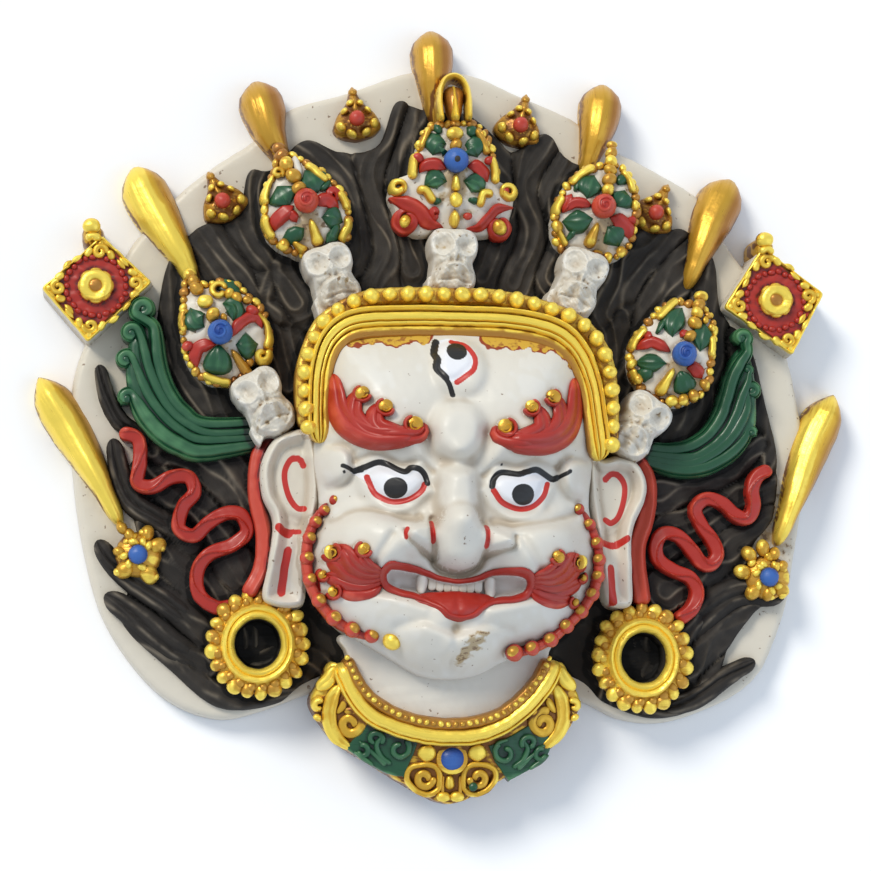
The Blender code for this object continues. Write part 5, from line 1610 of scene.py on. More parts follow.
LEFT_FLUTES = (
    Flute(
        (-80.7, 27.6), 3.1, 215, -1.3,
        ((-78.4, 23.4, 0.75), (-77.5, 19.7, 0.9), (-77.1, 15.3, 1), (-75.9, 10, 1), (-73.5, 4.6, 1),
         (-70, 0.4, 0.95), (-64, -2.9, 0.85), (-46.5, -2, 0.62))),
    Flute(
        (-84, 21.2), 2.7, 20, 1.25,
        ((-81, 19, 0.75), (-80.2, 15.8, 0.9), (-79, 11.4, 0.95), (-76.6, 5.8, 1), (-73.2, 0.6, 0.95),
         (-68.6, -3.1, 0.9), (-62, -5.4, 0.8), (-47, -4.3, 0.6))),
    Flute(
        (-85.4, 14.1), 2.6, 15, 1.25,
        ((-82.3, 11.6, 0.75), (-80.8, 8, 0.95), (-78.6, 3.6, 1), (-75.2, -0.8, 1), (-70.8, -4.6, 0.95),
         (-64.5, -7.2, 0.9), (-47, -6.2, 0.6))),
    Flute(
        (-85, 3.8), 2.6, 40, 0.85,
        ((-82, 2.6, 1), (-79.6, -1.2, 1.25), (-75.8, -5.3, 1.3), (-70.8, -8.4, 1.28), (-64.5, -10.1, 1.15),
         (-47.5, -7.8, 0.7))))
RIGHT_FLUTES = (
    Flute(
        (80.6, 21.6), 2.6, -50, 1.2,
        ((82, 17.8, 0.7), (80, 14.6, 0.9), (77.9, 10.4, 1), (76.3, 5, 1), (74.2, -0.6, 1),
         (69.6, -6.1, 0.95), (62.5, -8.8, 0.85), (51, -8, 0.6))),
    Flute(
        (81.9, 13), 1.7, -60, 1.1,
        ((82, 9.4, 0.7), (80.4, 5.6, 0.9), (78.8, 1, 0.95), (76, -4.2, 1), (71.4, -8.6, 1), (65.4, -11, 0.9),
         (52, -9.6, 0.6))),
    Flute(
        (83.2, 7.2), 2.5, 165, -1.25,
        ((81.6, 2.6, 0.8), (79.6, -2, 1), (76.2, -6.7, 1), (71, -10.5, 1), (64.5, -12.7, 0.9),
         (52, -10.8, 0.6))),
    Flute(
        (83, -4.2), 1.9, 150, -0.9,
        ((81.2, -5.2, 0.75), (78.8, -8.2, 0.95), (74.6, -11.4, 1), (69, -13.8, 1), (62, -14.2, 0.9),
         (52, -11.8, 0.62))))


@dataclass
class Plumes:
    """The fluted green plumes at the temples, whose flutes curl over on the outer edge."""

    base: float = 12.6
    half: float = 2.5
    rise: float = 3.2
    flutes: tuple[tuple[Flute, ...], ...] = (LEFT_FLUTES, RIGHT_FLUTES)
    spines: tuple[Route, ...] = (
        ((-80.4, 24, 0.5), (-80.8, 17, 0.75), (-80.2, 9, 0.92), (-77, 0.5, 1.05), (-68, -6, 0.95),
         (-57, -6.8, 0.8), (-47, -4, 0.62)),
        ((80.6, 19, 0.45), (80.4, 12, 0.66), (80.2, 5, 0.8), (78, -4, 1), (70, -10.2, 0.9),
         (61, -11.8, 0.72), (52, -9.5, 0.55)))

    def section(self, along: Array, across: Array) -> Array:
        """A full smooth tube with a thin dark groove on either side of its crown."""
        full = np.sqrt(np.maximum(1.0 - np.abs(across) ** 2.6, 0.0))
        return full * (1.0 - 0.3 * np.exp(-((np.abs(across) - 0.62) / 0.09) ** 2)) + 0.0 * along

    def build(self) -> list[Piece]:
        """Makes both plumes."""
        pieces = []
        for side, (spine, flutes) in enumerate(zip(self.spines, self.flutes)):
            clay = Clay(f"plume_{side}", GREEN, 0.03)
            clay.stroke(GREEN, spine, 5.6, 3.3, self.base, profile=flat_top, sink=8.0, across=15)
            for flute in flutes:
                clay.stamp(BENCH.bead, GREEN, (*flute.curl, self.base + 1.0),
                           (flute.radius * 0.7, flute.radius * 0.7, 2.4))
                # Below zero, the tint lays more of the pale ridge colour on the flutes, partly rubbed paint and
                # partly a painted highlight, and more on the left plume than on the right.
                clay.stroke(GREEN, flute.path(), self.half, self.rise, self.base + 1.0,
                            profile=self.section, across=27,
                            sink=6.0, step=0.4, tint=(-0.38, -0.24)[side])
            pieces.append(clay.make())
        return pieces


@dataclass
class Ribbons:
    """The red ribbons that wind over the hair and the plain bands behind the ears."""

    base: float = 13.2
    half: float = 1.9
    routes: tuple[Route, ...] = (
        ((-87, -5), (-82, -7), (-81.5, -13), (-82, -18.5), (-78, -19.5), (-73, -17), (-68.5, -17),
         (-67, -21), (-70, -25), (-71, -30.5), (-67, -32.5), (-63, -29), (-58.5, -26.5), (-54.5, -27),
         (-53, -31.5), (-57, -35), (-63, -37.5), (-66, -42), (-65.5, -48), (-61, -51.5), (-56, -51)),
        ((88.6, -13.6), (84.8, -15.8), (83.3, -19.4), (83.7, -24), (81.8, -27.2), (78.4, -26.2), (75, -23.2),
         (70.6, -22), (67.7, -25), (69.5, -29.5), (72.4, -33.5), (73.5, -37.2), (71.6, -39.8), (69, -39),
         (66, -35.1), (62.6, -31.9), (59, -31.4), (56.9, -34.3), (57.6, -38.4), (61.7, -41.4), (66, -43.3),
         (68, -47.2), (66.4, -51.8), (62.2, -55.1)))
    bands: tuple[Route, ...] = (
        ((-46.5, -5), (-50, -12), (-50.5, -22), (-48.5, -32), (-49, -41), (-53, -49)),
        ((50.4, -10), (54, -16), (54.6, -22), (53.6, -28.4), (51.6, -34.6), (51.6, -41), (53.1, -51)))

    def build(self) -> list[Piece]:
        """Makes the ribbons and the bands."""
        pieces = []
        for side, route in enumerate(self.routes):
            clay = Clay(f"ribbon_{side}", RED, 0.04)
            clay.stroke(RED, route, self.half, 2.6, self.base, profile=twisting(4.5, 0.2 * side), across=25,
                        step=0.4,
                        sink=6.0)
            pieces.append(clay.make())
        for side, route in enumerate(self.bands):
            clay = Clay(f"band_{side}", RED, 0.04)
            clay.stroke(RED, route, 2.3, 4.4, self.base + 1.0, profile=CREASED, across=19, sink=10.0)
            pieces.append(clay.make())
        return pieces


# ---- head

HEAD = [
    (1, 25), (26, 23), (34.5, 17), (37.5, 0), (38, -13), (37, -25), (39, -36), (37, -48), (31, -57),
    (22, -62), (14, -66), (7, -69.5), (-1, -70.5), (-8, -69.5), (-15, -65.5), (-24, -60), (-31.5, -54),
    (-36, -46), (-36.5, -35), (-34.5, -25), (-36, -13), (-35, 0), (-33, 18), (-26, 23)]
HEAD_CENTRE = (0.5, -27)
LIPS = [
    (-18.7, -43.7), (-17.7, -42.1), (-15.9, -41.5), (-10, -42.4), (-3.8, -44.5), (1.3, -45.3), (6.2, -44.5),
    (10, -43.1), (15.6, -42.9), (18.8, -43.8), (20, -45.8), (19.2, -48.4), (16, -49.8), (10.3, -50.4),
    (7.6, -51.8), (5.1, -53.9), (1.8, -54.8), (-1.5, -54), (-3.8, -51.9), (-9.1, -49.5), (-14.6, -48),
    (-17.7, -46.4)]


@dataclass(frozen=True)
class Bump:
    """A rounded swelling of the face, or a hollow where rise is below zero."""

    x: float
    y: float
    half_width: float
    half_length: float
    rise: float
    turn: float = 0.0
    power: float = 1.5

    def at(self, flat: Array) -> Array:
        """The height that it adds at rows of x, y."""
        angle = radians(self.turn)
        dx, dy = flat[:, 0] - self.x, flat[:, 1] - self.y
        across = (dx * cos(angle) + dy * sin(angle)) / self.half_width
        along = (dy * cos(angle) - dx * sin(angle)) / self.half_length
        return self.rise * np.exp(-(across ** 2 + along ** 2) ** self.power)


@dataclass(frozen=True)
class Fold:
    """A soft line carved in the face, or raised from it where rise is above zero."""

    rise: float
    half: float
    route: Route

    def at(self, flat: Array) -> Array:
        """The height that it adds at rows of x, y."""
        away = distance_to(flat, self.route, 3.0 * self.half)
        return self.rise * np.exp(-(away / self.half) ** 2)


@dataclass(frozen=True)
class Flap:
    """A flat swelling of the face with a crisp edge all round."""

    rise: float
    slope: float
    outline: Route

    def at(self, flat: Array) -> Array:
        """The height that it adds at rows of x, y."""
        return self.rise * soft_step(depth_inside(flat, self.outline, self.slope + 0.5), -0.4, self.slope)


@dataclass(frozen=True)
class Line:
    """A line painted on the face, from a fine point to its full width and back."""

    half: float
    route: Route
    closed: bool = False

    def inside(self, flat: Array) -> Array:
        """How far inside the line rows of x, y are, at least zero."""
        return np.clip(self.half - distance_to(flat, self.route, self.half + 0.1, self.closed, 0.35), 0.0,
                       1.0)


BASE_FORMS = (
    Bump(1.5, 12, 6.5, 8.5, 1.2), Bump(0.6, -6.6, 6.6, 7.6, 5.6, 0, 2.6), Bump(-16, 5, 12, 10, 2.4),
    Bump(18, 4, 12, 10, 2.4), Bump(0.6, 3.4, 4.2, 5, -1.2), Bump(0.8, -15.4, 4.6, 2.6, -2.2),
    Bump(-21, -7, 13, 5, 3.4, -18), Bump(22, -8, 13, 5, 3.4, 18), Bump(-15.5, -20.5, 11, 8, -4.4),
    Bump(16, -22, 11, 8, -4.4), Bump(-15.5, -20.5, 8, 6, 4.4), Bump(16, -22, 8, 6, 4.4),
    Bump(-31, -15, 5, 5, 5.4, 0, 2.6), Bump(33, -18, 5, 5, 5.4, 0, 2.6), Bump(0.6, -24, 4.9, 11, 6.6, 0, 2),
    Bump(0.9, -34.4, 6.4, 7.6, 9.4, 0, 2.8), Bump(-9.6, -33.6, 5, 4, 4.6, 30, 2),
    Bump(10.4, -34.4, 5, 4, 4.6, -30, 2),
    Flap(
        2.6, 2,
        ((-13, -32.6), (-12.6, -34.4), (-9.4, -36.6), (-5.6, -39.2), (-5, -34.6), (-5.8, -30.6),
         (-10.6, -30.8))),
    Flap(2.6, 2, ((6.4, -31.4), (6.2, -38.2), (10.2, -37.6), (13.8, -36.2), (13.8, -34.2), (10.4, -32))),
    Bump(-22.5, -35.4, 12, 8.4, 8.6, 0, 1.8), Bump(23.5, -37.2, 12, 8.4, 8.6, 0, 1.8),
    Bump(0.5, -47, 22, 5.5, -4), Bump(0, -52, 6, 4, 3), Bump(-17, -54, 12, 6.5, 3.8, 15),
    Bump(18, -55, 12, 6.5, 3.8, -15), Bump(-6.5, -61.8, 7.6, 6.4, 7.2, 0, 2),
    Bump(6, -62.8, 7.6, 6.4, 7.2, 0, 2))
FINE_FORMS = (
    Bump(1.4, 10.2, 6.9, 7.8, 2.8, 0, 3.6), Bump(-15.2, -20.6, 8, 4.4, 1.2, -6, 3),
    Bump(16.2, -21.8, 8, 4.6, 1.2, 6, 3),
    Fold(-1, 0.9, ((-26, -14.2), (-20, -12.4), (-14, -15), (-9, -14.4), (-5.8, -17))),
    Fold(-1, 0.9, ((27, -15.4), (21, -14.2), (16, -15.4), (11, -15), (7.4, -18))),
    Fold(0.9, 1.1, ((-24.6, -18.5), (-22.5, -23), (-17, -27), (-11.5, -26.2), (-6.6, -22.2))),
    Fold(0.9, 1.1, ((7.4, -22), (9.6, -26), (15, -28.8), (21.5, -27.2), (25.4, -21.5))),
    Fold(-1.8, 1.3, ((-9.5, -29.2), (-11.8, -29.4), (-19.3, -27.4), (-25.5, -27.1), (-31.5, -29.4))),
    Fold(-1.8, 1.3, ((9.8, -30.2), (14.5, -30.8), (21.5, -30.3), (27.8, -28.9), (32.4, -27.2))),
    Fold(-2.2, 0.9, ((-6, -29.6), (-6.4, -33), (-6, -36.5), (-5.4, -39.6))),
    Fold(-2.2, 0.9, ((6.9, -30.4), (7.6, -33.5), (7.4, -37.6))),
    Fold(-1.6, 1.2, ((-5.6, -39.4), (-3.6, -42.4), (0.9, -43.8), (5.2, -42.4), (7.4, -39.2))),
    Fold(
        -2.2, 0.9,
        ((-13.2, -32.6), (-12.2, -35.2), (-8.9, -37.6), (-6.2, -39.6), (-4.7, -41.6), (0.8, -43.2),
         (6.2, -41.6), (8.2, -38.9), (14.2, -37), (15, -34.2))),
    Fold(-1.3, 1.3, ((-16.5, -33.5), (-19.5, -38), (-21.5, -41.5))),
    Fold(-1.3, 1.3, ((16.8, -34.5), (20, -39), (22.2, -42.5))),
    Fold(
        -1.5, 2,
        ((-7, -8), (-5.8, -12), (-2.6, -14.2), (0.5, -14.6), (3.8, -13.8), (6.6, -11), (7.6, -7.5))),
    Fold(0.9, 1.8, ((-11.5, -8.5), (-10, -12), (-9, -14.5))),
    Fold(0.9, 1.8, ((12, -9.5), (11, -12.5), (9.6, -15.5))),
    Fold(-1.5, 1.3, ((0.4, -57.2), (0.2, -62), (-0.4, -68))),
    Fold(
        -1.2, 1.3,
        ((-14.5, -57), (-8, -55.6), (-4.5, -57), (0, -58.2), (4.6, -57.6), (8.6, -56.6), (15.4, -58))),
    Fold(-1.5, 1.3, ((-26.2, -13.6), (-26.4, -17), (-28.6, -20.2), (-32, -20.8))),
    Fold(-1.5, 1.3, ((27.8, -15.6), (28.2, -19.6), (30.4, -23), (34.2, -23.8))),
    Fold(-1.3, 1.2, ((-26.4, -12), (-29, -9.9), (-33, -9.6))),
    Fold(-1.3, 1.2, ((28.4, -14), (31, -12.4), (35.6, -12.6))),
    Fold(0.8, 1.4, ((-30, -50.6), (-22, -49.6), (-14.5, -50.6), (-8, -52.6))),
    Fold(0.8, 1.4, ((31.5, -51.8), (23, -50.8), (15.5, -52), (9.5, -53.2))))
EYE_WHITES = (
    ((-27, -16.6), (-23.5, -16.9), (-20, -14.7), (-17, -15.7), (-13, -17.9), (-10.5, -16.7), (-8.4, -17.2),
     (-7.1, -19.6), (-9, -22.6), (-12, -24.6), (-16, -25.3), (-20, -23.6), (-22.6, -20.2)),
    ((28, -18.2), (25.5, -18.4), (22.6, -17), (20, -17.2), (17.5, -18), (15, -17.3), (12, -17), (9.5, -18.5),
     (8.7, -20.8), (10, -23.6), (13, -26), (16.5, -27.1), (20, -25.9), (22.6, -23), (24.3, -20)),
    ((-0.6, 18.4), (-3.8, 17.6), (-5, 15.5), (-4.2, 12.6), (-4.6, 9.4), (-2.2, 6.6), (0.4, 6.4), (3, 8.4),
     (5, 10.6), (5.2, 13.4), (3.4, 16.6)))
INK_LINES = (
    Line(0.6, ((-28.9, -15.5), (-25.6, -16.7), (-23.8, -16.6))),
    Line(
        0.85,
        ((-25.6, -16.7), (-22.5, -15.6), (-20, -14.7), (-17.5, -15.2), (-13.4, -17.3), (-11.4, -16.2),
         (-9.4, -16.5), (-8, -17.9), (-7.2, -20.2))),
    Line(0.45, ((-28.5, -17), (-28.4, -17.1))),
    Line(
        0.85,
        ((9.5, -20.9), (10, -18.9), (12, -17.3), (16.4, -17.7), (18.6, -17), (21.7, -16.4), (25.5, -18.5),
         (27.2, -18.2))),
    Line(0.6, ((25.5, -18.6), (27.7, -18), (30.4, -16.6))), Line(0.38, ((12, -15.2), (12.1, -15.2))),
    Line(1, ((-4.3, 17.4), (-5, 14.2), (-4.3, 12.3), (-4.6, 9.8), (-2.4, 7.2))),
    Line(0.75, ((-3.2, 8.4), (-1.6, 5.6), (-0.6, 2.8))))
PUPILS = (Bump(-15.5, -21.5, 3.1, 2.8, 1), Bump(17.5, -23, 3.1, 2.8, 1), Bump(0.8, 14.6, 2.7, 2.5, 1))
RED_LINES = (
    Line(
        0.8,
        ((-22.6, -18.4), (-22.1, -19.8), (-20.4, -23), (-16.2, -25), (-11.8, -24.3), (-8.9, -22.3),
         (-8, -20.5))),
    Line(0.8, ((9.8, -22), (12, -25), (16.3, -26.7), (20.1, -26), (23.1, -23.4), (24.4, -20))),
    Line(0.75, ((-0.3, 17.4), (3.2, 16.2), (5.4, 12.9), (4.9, 9.6), (2.4, 7.4), (0.4, 6))),
    Line(0.75, ((-6.5, -30.6), (-6.5, -32.2), (-6.2, -35.4))),
    Line(0.75, ((7.4, -31.8), (7.5, -33.4), (7.3, -36.6))),
    Line(0.6, ((-12.9, -32.2), (-13.4, -33.4), (-13.3, -34.6))), Line(0.4, ((-34.6, -45.4), (-34.2, -47.4))))
GILD_FRINGE = (
    ((-28.5, 21.5), (-27, 16.2), (-23.4, 16.4), (-20, 17), (-16, 16.2), (-12.4, 16.6), (-9.4, 17.2),
     (-6, 17), (-5, 21.5), (-10, 24), (-20, 24)),
    ((8, 21.5), (7.6, 17.2), (10.4, 15.6), (13.2, 16), (16.6, 15.2), (19.5, 16), (23, 14.8), (26.4, 15.2),
     (30, 13), (33.4, 8.6), (34.5, 14), (29, 21), (20, 23.5)))


class HeadForm:
    """The form of the face, which its pieces are laid on."""

    jaw_height = 26.0
    dome = 17.0
    mouth_depth = 2.6

    def __init__(self) -> None:
        """Reads the head's outline as radii by bearing."""
        edge = evenly(HEAD, 1.0, closed=True)[:, :2] - HEAD_CENTRE
        bearings = np.arctan2(edge[:, 1], edge[:, 0])
        order = np.argsort(bearings)
        self.bearings, self.radii = bearings[order], np.hypot(*edge[order].T)

    def reach(self, flat: Array) -> Array:
        """How far out rows of x, y lie, from 0 at the centre to 1 on the outline."""
        offset = flat - HEAD_CENTRE
        radius = np.interp(np.arctan2(offset[:, 1], offset[:, 0]), self.bearings, self.radii, period=2 * pi)
        return np.clip(np.hypot(*offset.T) / radius, 0.0, 1.0)

    def broad(self, flat: Array, reach: Array) -> Array:
        """The face's height with its large forms."""
        swellings = sum(form.at(flat) for form in BASE_FORMS)
        return self.jaw_height + self.dome * (1.0 - reach ** 3) + (1.0 - reach ** 6) * swellings

    def full(self, flat: Array, reach: Array) -> Array:
        """The face's height with folds, lids, the third eye and the open mouth."""
        height = self.broad(flat, reach) + (1.0 - reach ** 8) * sum(form.at(flat) for form in FINE_FORMS)
        for outline in EYE_WHITES:
            inside = depth_inside(flat, outline, 2.4)
            height -= 0.5 * soft_step(inside, -0.2, 0.5) - 0.6 * soft_step(inside, 0.4, 2.4)
        mouth = depth_inside(flat, LIPS, 3.0)
        height -= self.mouth_depth * soft_step(mouth, 0.4, 2.2)
        return height + 0.03 * ripple(flat, 6.0, 21)

    def ground(self, flat: Array) -> Array:
        """The finished height at rows of x, y."""
        return self.full(flat, self.reach(flat))

    def smooth_ground(self, flat: Array) -> Array:
        """The height without the fine forms, for what lies across them."""
        return self.broad(flat, self.reach(flat))


@dataclass
class Face:
    """The white face: its carved form and what is painted on it."""

    form: HeadForm
    corners: int = 620
    rings: int = 130

    def painted(self, flat: Array) -> Coats:
        """How far inside each kind of painted area rows of x, y lie."""
        ink = np.max([line.inside(flat) for line in INK_LINES], axis=0)
        for pupil in PUPILS:
            away = np.hypot((flat[:, 0] - pupil.x) / pupil.half_width,
                            (flat[:, 1] - pupil.y) / pupil.half_length)
            ink = np.maximum(ink, np.clip(pupil.half_width * (1.0 - away), 0.0, 1.0))
        red = np.max([line.inside(flat) for line in RED_LINES], axis=0)
        fringe = np.max([depth_inside(flat, outline, 2.5) for outline in GILD_FRINGE], axis=0)
        fringe += 0.45 * ripple(flat, 3.4, 5) + 0.25 * ripple(flat, 1.6, 6)
        bare = 0.55 + 0.5 * ripple(flat, 3.0, 8)
        clear = np.max([depth_inside(flat, outline, 1.0) for outline in EYE_WHITES], axis=0)
        # Inside the lips a weaker coat of the same bluish white, partly white paint and partly a painted cool
        # shade.
        clear = np.maximum(clear, np.minimum(depth_inside(flat, LIPS, 1.0), 0.07))
        dx, dy = flat[:, 0] - 4.4, flat[:, 1] + 62.2
        chin = np.exp(-((0.78 * dx - 0.62 * dy) / 2.9) ** 2 - ((0.62 * dx + 0.78 * dy) / 6.6) ** 4)
        chin *= 1.12 + 0.35 * ripple(flat, 2.2, 12)
        nose = 0.3 * np.exp(-((flat[:, 0] - 1.0) / 5.0) ** 2 - ((flat[:, 1] + 36.0) / 8.0) ** 2)
        return {"ink": ink, "red": red, "gild": np.clip(fringe - bare, 0.0, 1.0),
                "rust": np.clip(fringe, 0.0, 1.0),
                "clear": np.clip(clear, 0.0, 1.0), "grime": np.maximum(chin, nose)}

    def build(self) -> Piece:
        """Makes the face."""
        clay = Clay("face", WHITE, 0.03)
        clay.relief(WHITE, HEAD, HEAD_CENTRE, self.form.full, corners=self.corners, rings=self.rings,
                    foot=8.0,
                    draft=0.8, edge=0.8, coats=self.painted)
        return clay.make()


LOBE_SECTION = steps_across(
    ((-1, 0.1), (-0.88, 0.5), (-0.6, 0.82), (-0.36, 0.84), (-0.22, 0.56), (-0.08, 0.86), (0.15, 1),
     (0.5, 0.92), (0.85, 0.56), (1, 0.1)))


@dataclass
class BrowsAndMoustaches:
    """The red flame-shaped brows and moustaches, whose lobes end in gilded curls."""

    form: HeadForm
    brow_half: float = 3.05
    moustache_half: float = 2.55
    brow_lobes: tuple[tuple[Route, ...], ...] = (
        (((-12, -8.4, 0.7), (-17, -7.4, 0.9), (-20.4, -5.6, 0.9), (-20.8, -2.6, 0.8), (-19.4, 0.4, 0.6)),
         ((-12, -8.8, 0.7), (-18, -8.4, 0.9), (-23.6, -6.6, 1), (-26.2, -2.6, 0.9), (-26, 1.2, 0.75),
          (-24.8, 4, 0.6)),
         ((-20, -8.2, 0.8), (-14, -8.3, 0.95), (-9.8, -7.6, 0.8), (-8.2, -6, 0.55), (-8.6, -4.6, 0.4)),
         ((-10.6, -8, 0.7), (-15, -8.5, 1), (-21.6, -8.2, 1.1), (-27.2, -5, 1.1), (-29.8, -0.4, 0.95),
          (-30.6, 4.6, 0.75), (-31.2, 9.2, 0.5))),
        (((14, -9.2, 0.7), (18.8, -8.2, 0.9), (22.2, -6.2, 0.9), (22.4, -3, 0.8), (20.8, 0.2, 0.6)),
         ((14, -9.8, 0.7), (20, -9.4, 0.9), (25.4, -7.2, 1), (28, -3.2, 0.9), (27.6, 0.8, 0.75),
          (26.4, 3.4, 0.6)),
         ((21, -9.2, 0.8), (16, -9.2, 0.95), (12, -8.4, 0.8), (10.2, -6.8, 0.55), (10.8, -5.2, 0.4)),
         ((12.6, -9, 0.7), (17, -9.7, 1), (23.8, -9.2, 1.1), (29, -6.4, 1.1), (31.8, -1.8, 0.95),
          (32.6, 3.4, 0.75), (32.6, 8.6, 0.5))))
    brow_curls: Route = (
        (-23.9, 3.2, 1.8, 1), (-18.2, -0.6, 1.9, 1), (-10.8, -5.3, 2.2, 1), (25.8, 2.7, 1.9, -1),
        (19.8, -0.4, 1.8, -1), (13, -5.8, 2.2, -1))
    moustache_lobes: tuple[tuple[Route, ...], ...] = (
        (((-18.6, -46.4, 0.5), (-22, -47.8, 0.85), (-26.2, -48.2, 0.9), (-29.8, -47.4, 0.55)),
         ((-18.6, -45.4, 0.5), (-23.2, -46.4, 0.85), (-27.4, -45.8, 0.9), (-30.8, -44.4, 0.8),
          (-33.4, -43.6, 0.5)),
         ((-18.8, -43, 0.4), (-22, -42.2, 0.65), (-24.2, -40.2, 0.7), (-24.6, -38.4, 0.5)),
         ((-18.6, -44.6, 0.5), (-23.6, -44.9, 0.85), (-27.8, -43.4, 1), (-30.4, -40.8, 0.85),
          (-32.8, -39.2, 0.6)),
         ((-18.8, -43.8, 0.5), (-23.2, -43.5, 0.85), (-26.6, -41.4, 1), (-28.4, -38.4, 0.9),
          (-30.6, -36, 0.55))),
        (((19.6, -47.4, 0.5), (23, -49.2, 0.85), (27.6, -50, 0.9), (31.8, -49.6, 0.55)),
         ((19.6, -46.5, 0.5), (24.4, -47.8, 0.85), (28.8, -47.4, 0.9), (32, -46, 0.8), (34.4, -44.8, 0.5)),
         ((19.8, -44.2, 0.4), (23.2, -43.6, 0.65), (25.4, -42, 0.7), (26.2, -40.2, 0.5)),
         ((19.6, -45.7, 0.5), (24.8, -46.3, 0.85), (29, -45, 1), (31.6, -42.6, 0.85), (34, -41.4, 0.6)),
         ((19.8, -44.9, 0.5), (24.4, -44.8, 0.85), (27.8, -43.2, 1), (29.6, -40.4, 0.9), (32, -38, 0.55))))
    moustache_curls: Route = (
        (-23.9, -37.4, 1.6, 1), (-31.6, -37.8, 1.9, -1), (-33.6, -43.4, 1.2, 1), (-30.8, -47.8, 1.5, -1),
        (26, -39.2, 1.6, -1), (33, -40.2, 1.9, 1), (34.4, -44, 1, -1), (32.4, -50.4, 1.1, 1))

    def build(self) -> list[Piece]:
        """Makes the brows and the moustaches."""
        brows = Clay("brows", RED, 0.03)
        for lobes in self.brow_lobes:
            self.lay(brows, lobes, self.brow_half, 2.5)
        self.roll(brows, self.brow_curls)
        moustaches = Clay("moustaches", RED, 0.03)
        for lobes in self.moustache_lobes:
            self.lay(moustaches, lobes, self.moustache_half, 2.2)
        self.roll(moustaches, self.moustache_curls)
        return [brows.make(), moustaches.make()]

    def lay(self, clay: Clay, lobes: Sequence[Route], half: float, rise: float) -> None:
        """Lays the grooved lobes of one brow or moustache on the face."""
        for number, lobe in enumerate(lobes):
            clay.stroke(RED, lobe, half, rise + 0.12 * number, self.form.smooth_ground,
                        profile=LOBE_SECTION, across=21,
                        step=0.5, sink=2.5)

    def roll(self, clay: Clay, curls: Route) -> None:
        """Rolls the curls: a red rim round a gilded spiral."""
        for x, y, radius, turn in curls:
            start = 90.0 - 100.0 * turn
            top = height_at(self.form.smooth_ground, x, y)
            clay.stroke(RED, coil(x, y, radius + 0.3, radius + 0.1, start, -turn * 0.7), 0.65, 2.5,
                        self.form.smooth_ground, across=9, step=0.4, sink=2.5)
            clay.stamp(BENCH.bead, GOLD, (x, y, top + 1.3), (radius * 1.08, radius * 0.98, 0.9),
                       40.0 * turn, 0.4)
            clay.stroke(GOLD, coil(x, y, radius * 0.76, 0.1, start, -turn * 1.15), radius * 0.24, 2.45,
                        self.form.smooth_ground, across=7, step=0.3, sink=2.0)


@dataclass
class Mouth:
    """The painted lips, the teeth, the fangs and the tongue."""

    form: HeadForm
    lip_half: float = 1.0
    tooth_half: float = 1.14
    teeth: Route = (
        (-5.6, -44, -47.7), (-3.6, -44.6, -48), (-1.6, -45, -48.2), (0.4, -45.2, -48.3), (2.4, -45.2, -48.4),
        (4.4, -44.8, -48.4), (6.4, -44.2, -48.4))
    fangs: tuple[Route, ...] = (
        ((-8.1, -43, 1), (-8.2, -46, 1), (-8.6, -49, 0.7)),
        ((9.2, -43.8, 1), (9.5, -47, 1), (9.6, -50.2, 0.7)))
    tongue: Route = (
        (-10.2, -48.9), (-7, -48.2), (-3.2, -48), (0.6, -47.8), (4.8, -48.2), (8.2, -48.6), (10.8, -49.6),
        (10.5, -51.4), (7.2, -52.6), (4.8, -54.6), (1.4, -55.8), (-2.2, -54.9), (-4.8, -52.6), (-10, -50.6))

    def build(self) -> Piece:
        """Makes the mouth."""
        clay = Clay("mouth", RED)
        ground = self.form.smooth_ground
        ring = [(x, y, 0.6 + 0.028 * abs(x)) for x, y in (*LIPS, *LIPS[:2])]
        clay.stroke(RED, ring, self.lip_half, 1.3, ground, across=13, step=0.5, sink=3.5)
        bed = height_at(ground, 0.0, -50.0) - 1.0

        def tongue(flat: Array, reach: Array) -> Array:
            """The tongue: full, with a groove down its middle."""
            groove = np.exp(-((flat[:, 0] - 0.6) / 0.9) ** 2)
            return ground(flat) + 0.2 + 0.5 * (1.0 - reach ** 4) - 0.3 * groove
        clay.relief(RED, self.tongue, (0.4, -50.8), tongue, corners=90, rings=12, foot=bed - 4.0, edge=0.5)
        for x, gum, edge in self.teeth:
            clay.stroke(WHITE, [(x, gum), (x, edge)], self.tooth_half, 0.6, lambda flat: ground(flat) - 1.2,
                        sink=2.5,
                        profile=flat_top, across=13, step=0.5)
        for route in self.fangs:
            clay.stroke(WHITE, route, 1.45, 1.9, lambda flat: ground(flat) - 1.4, sink=2.5, step=0.4)
        return clay.make()


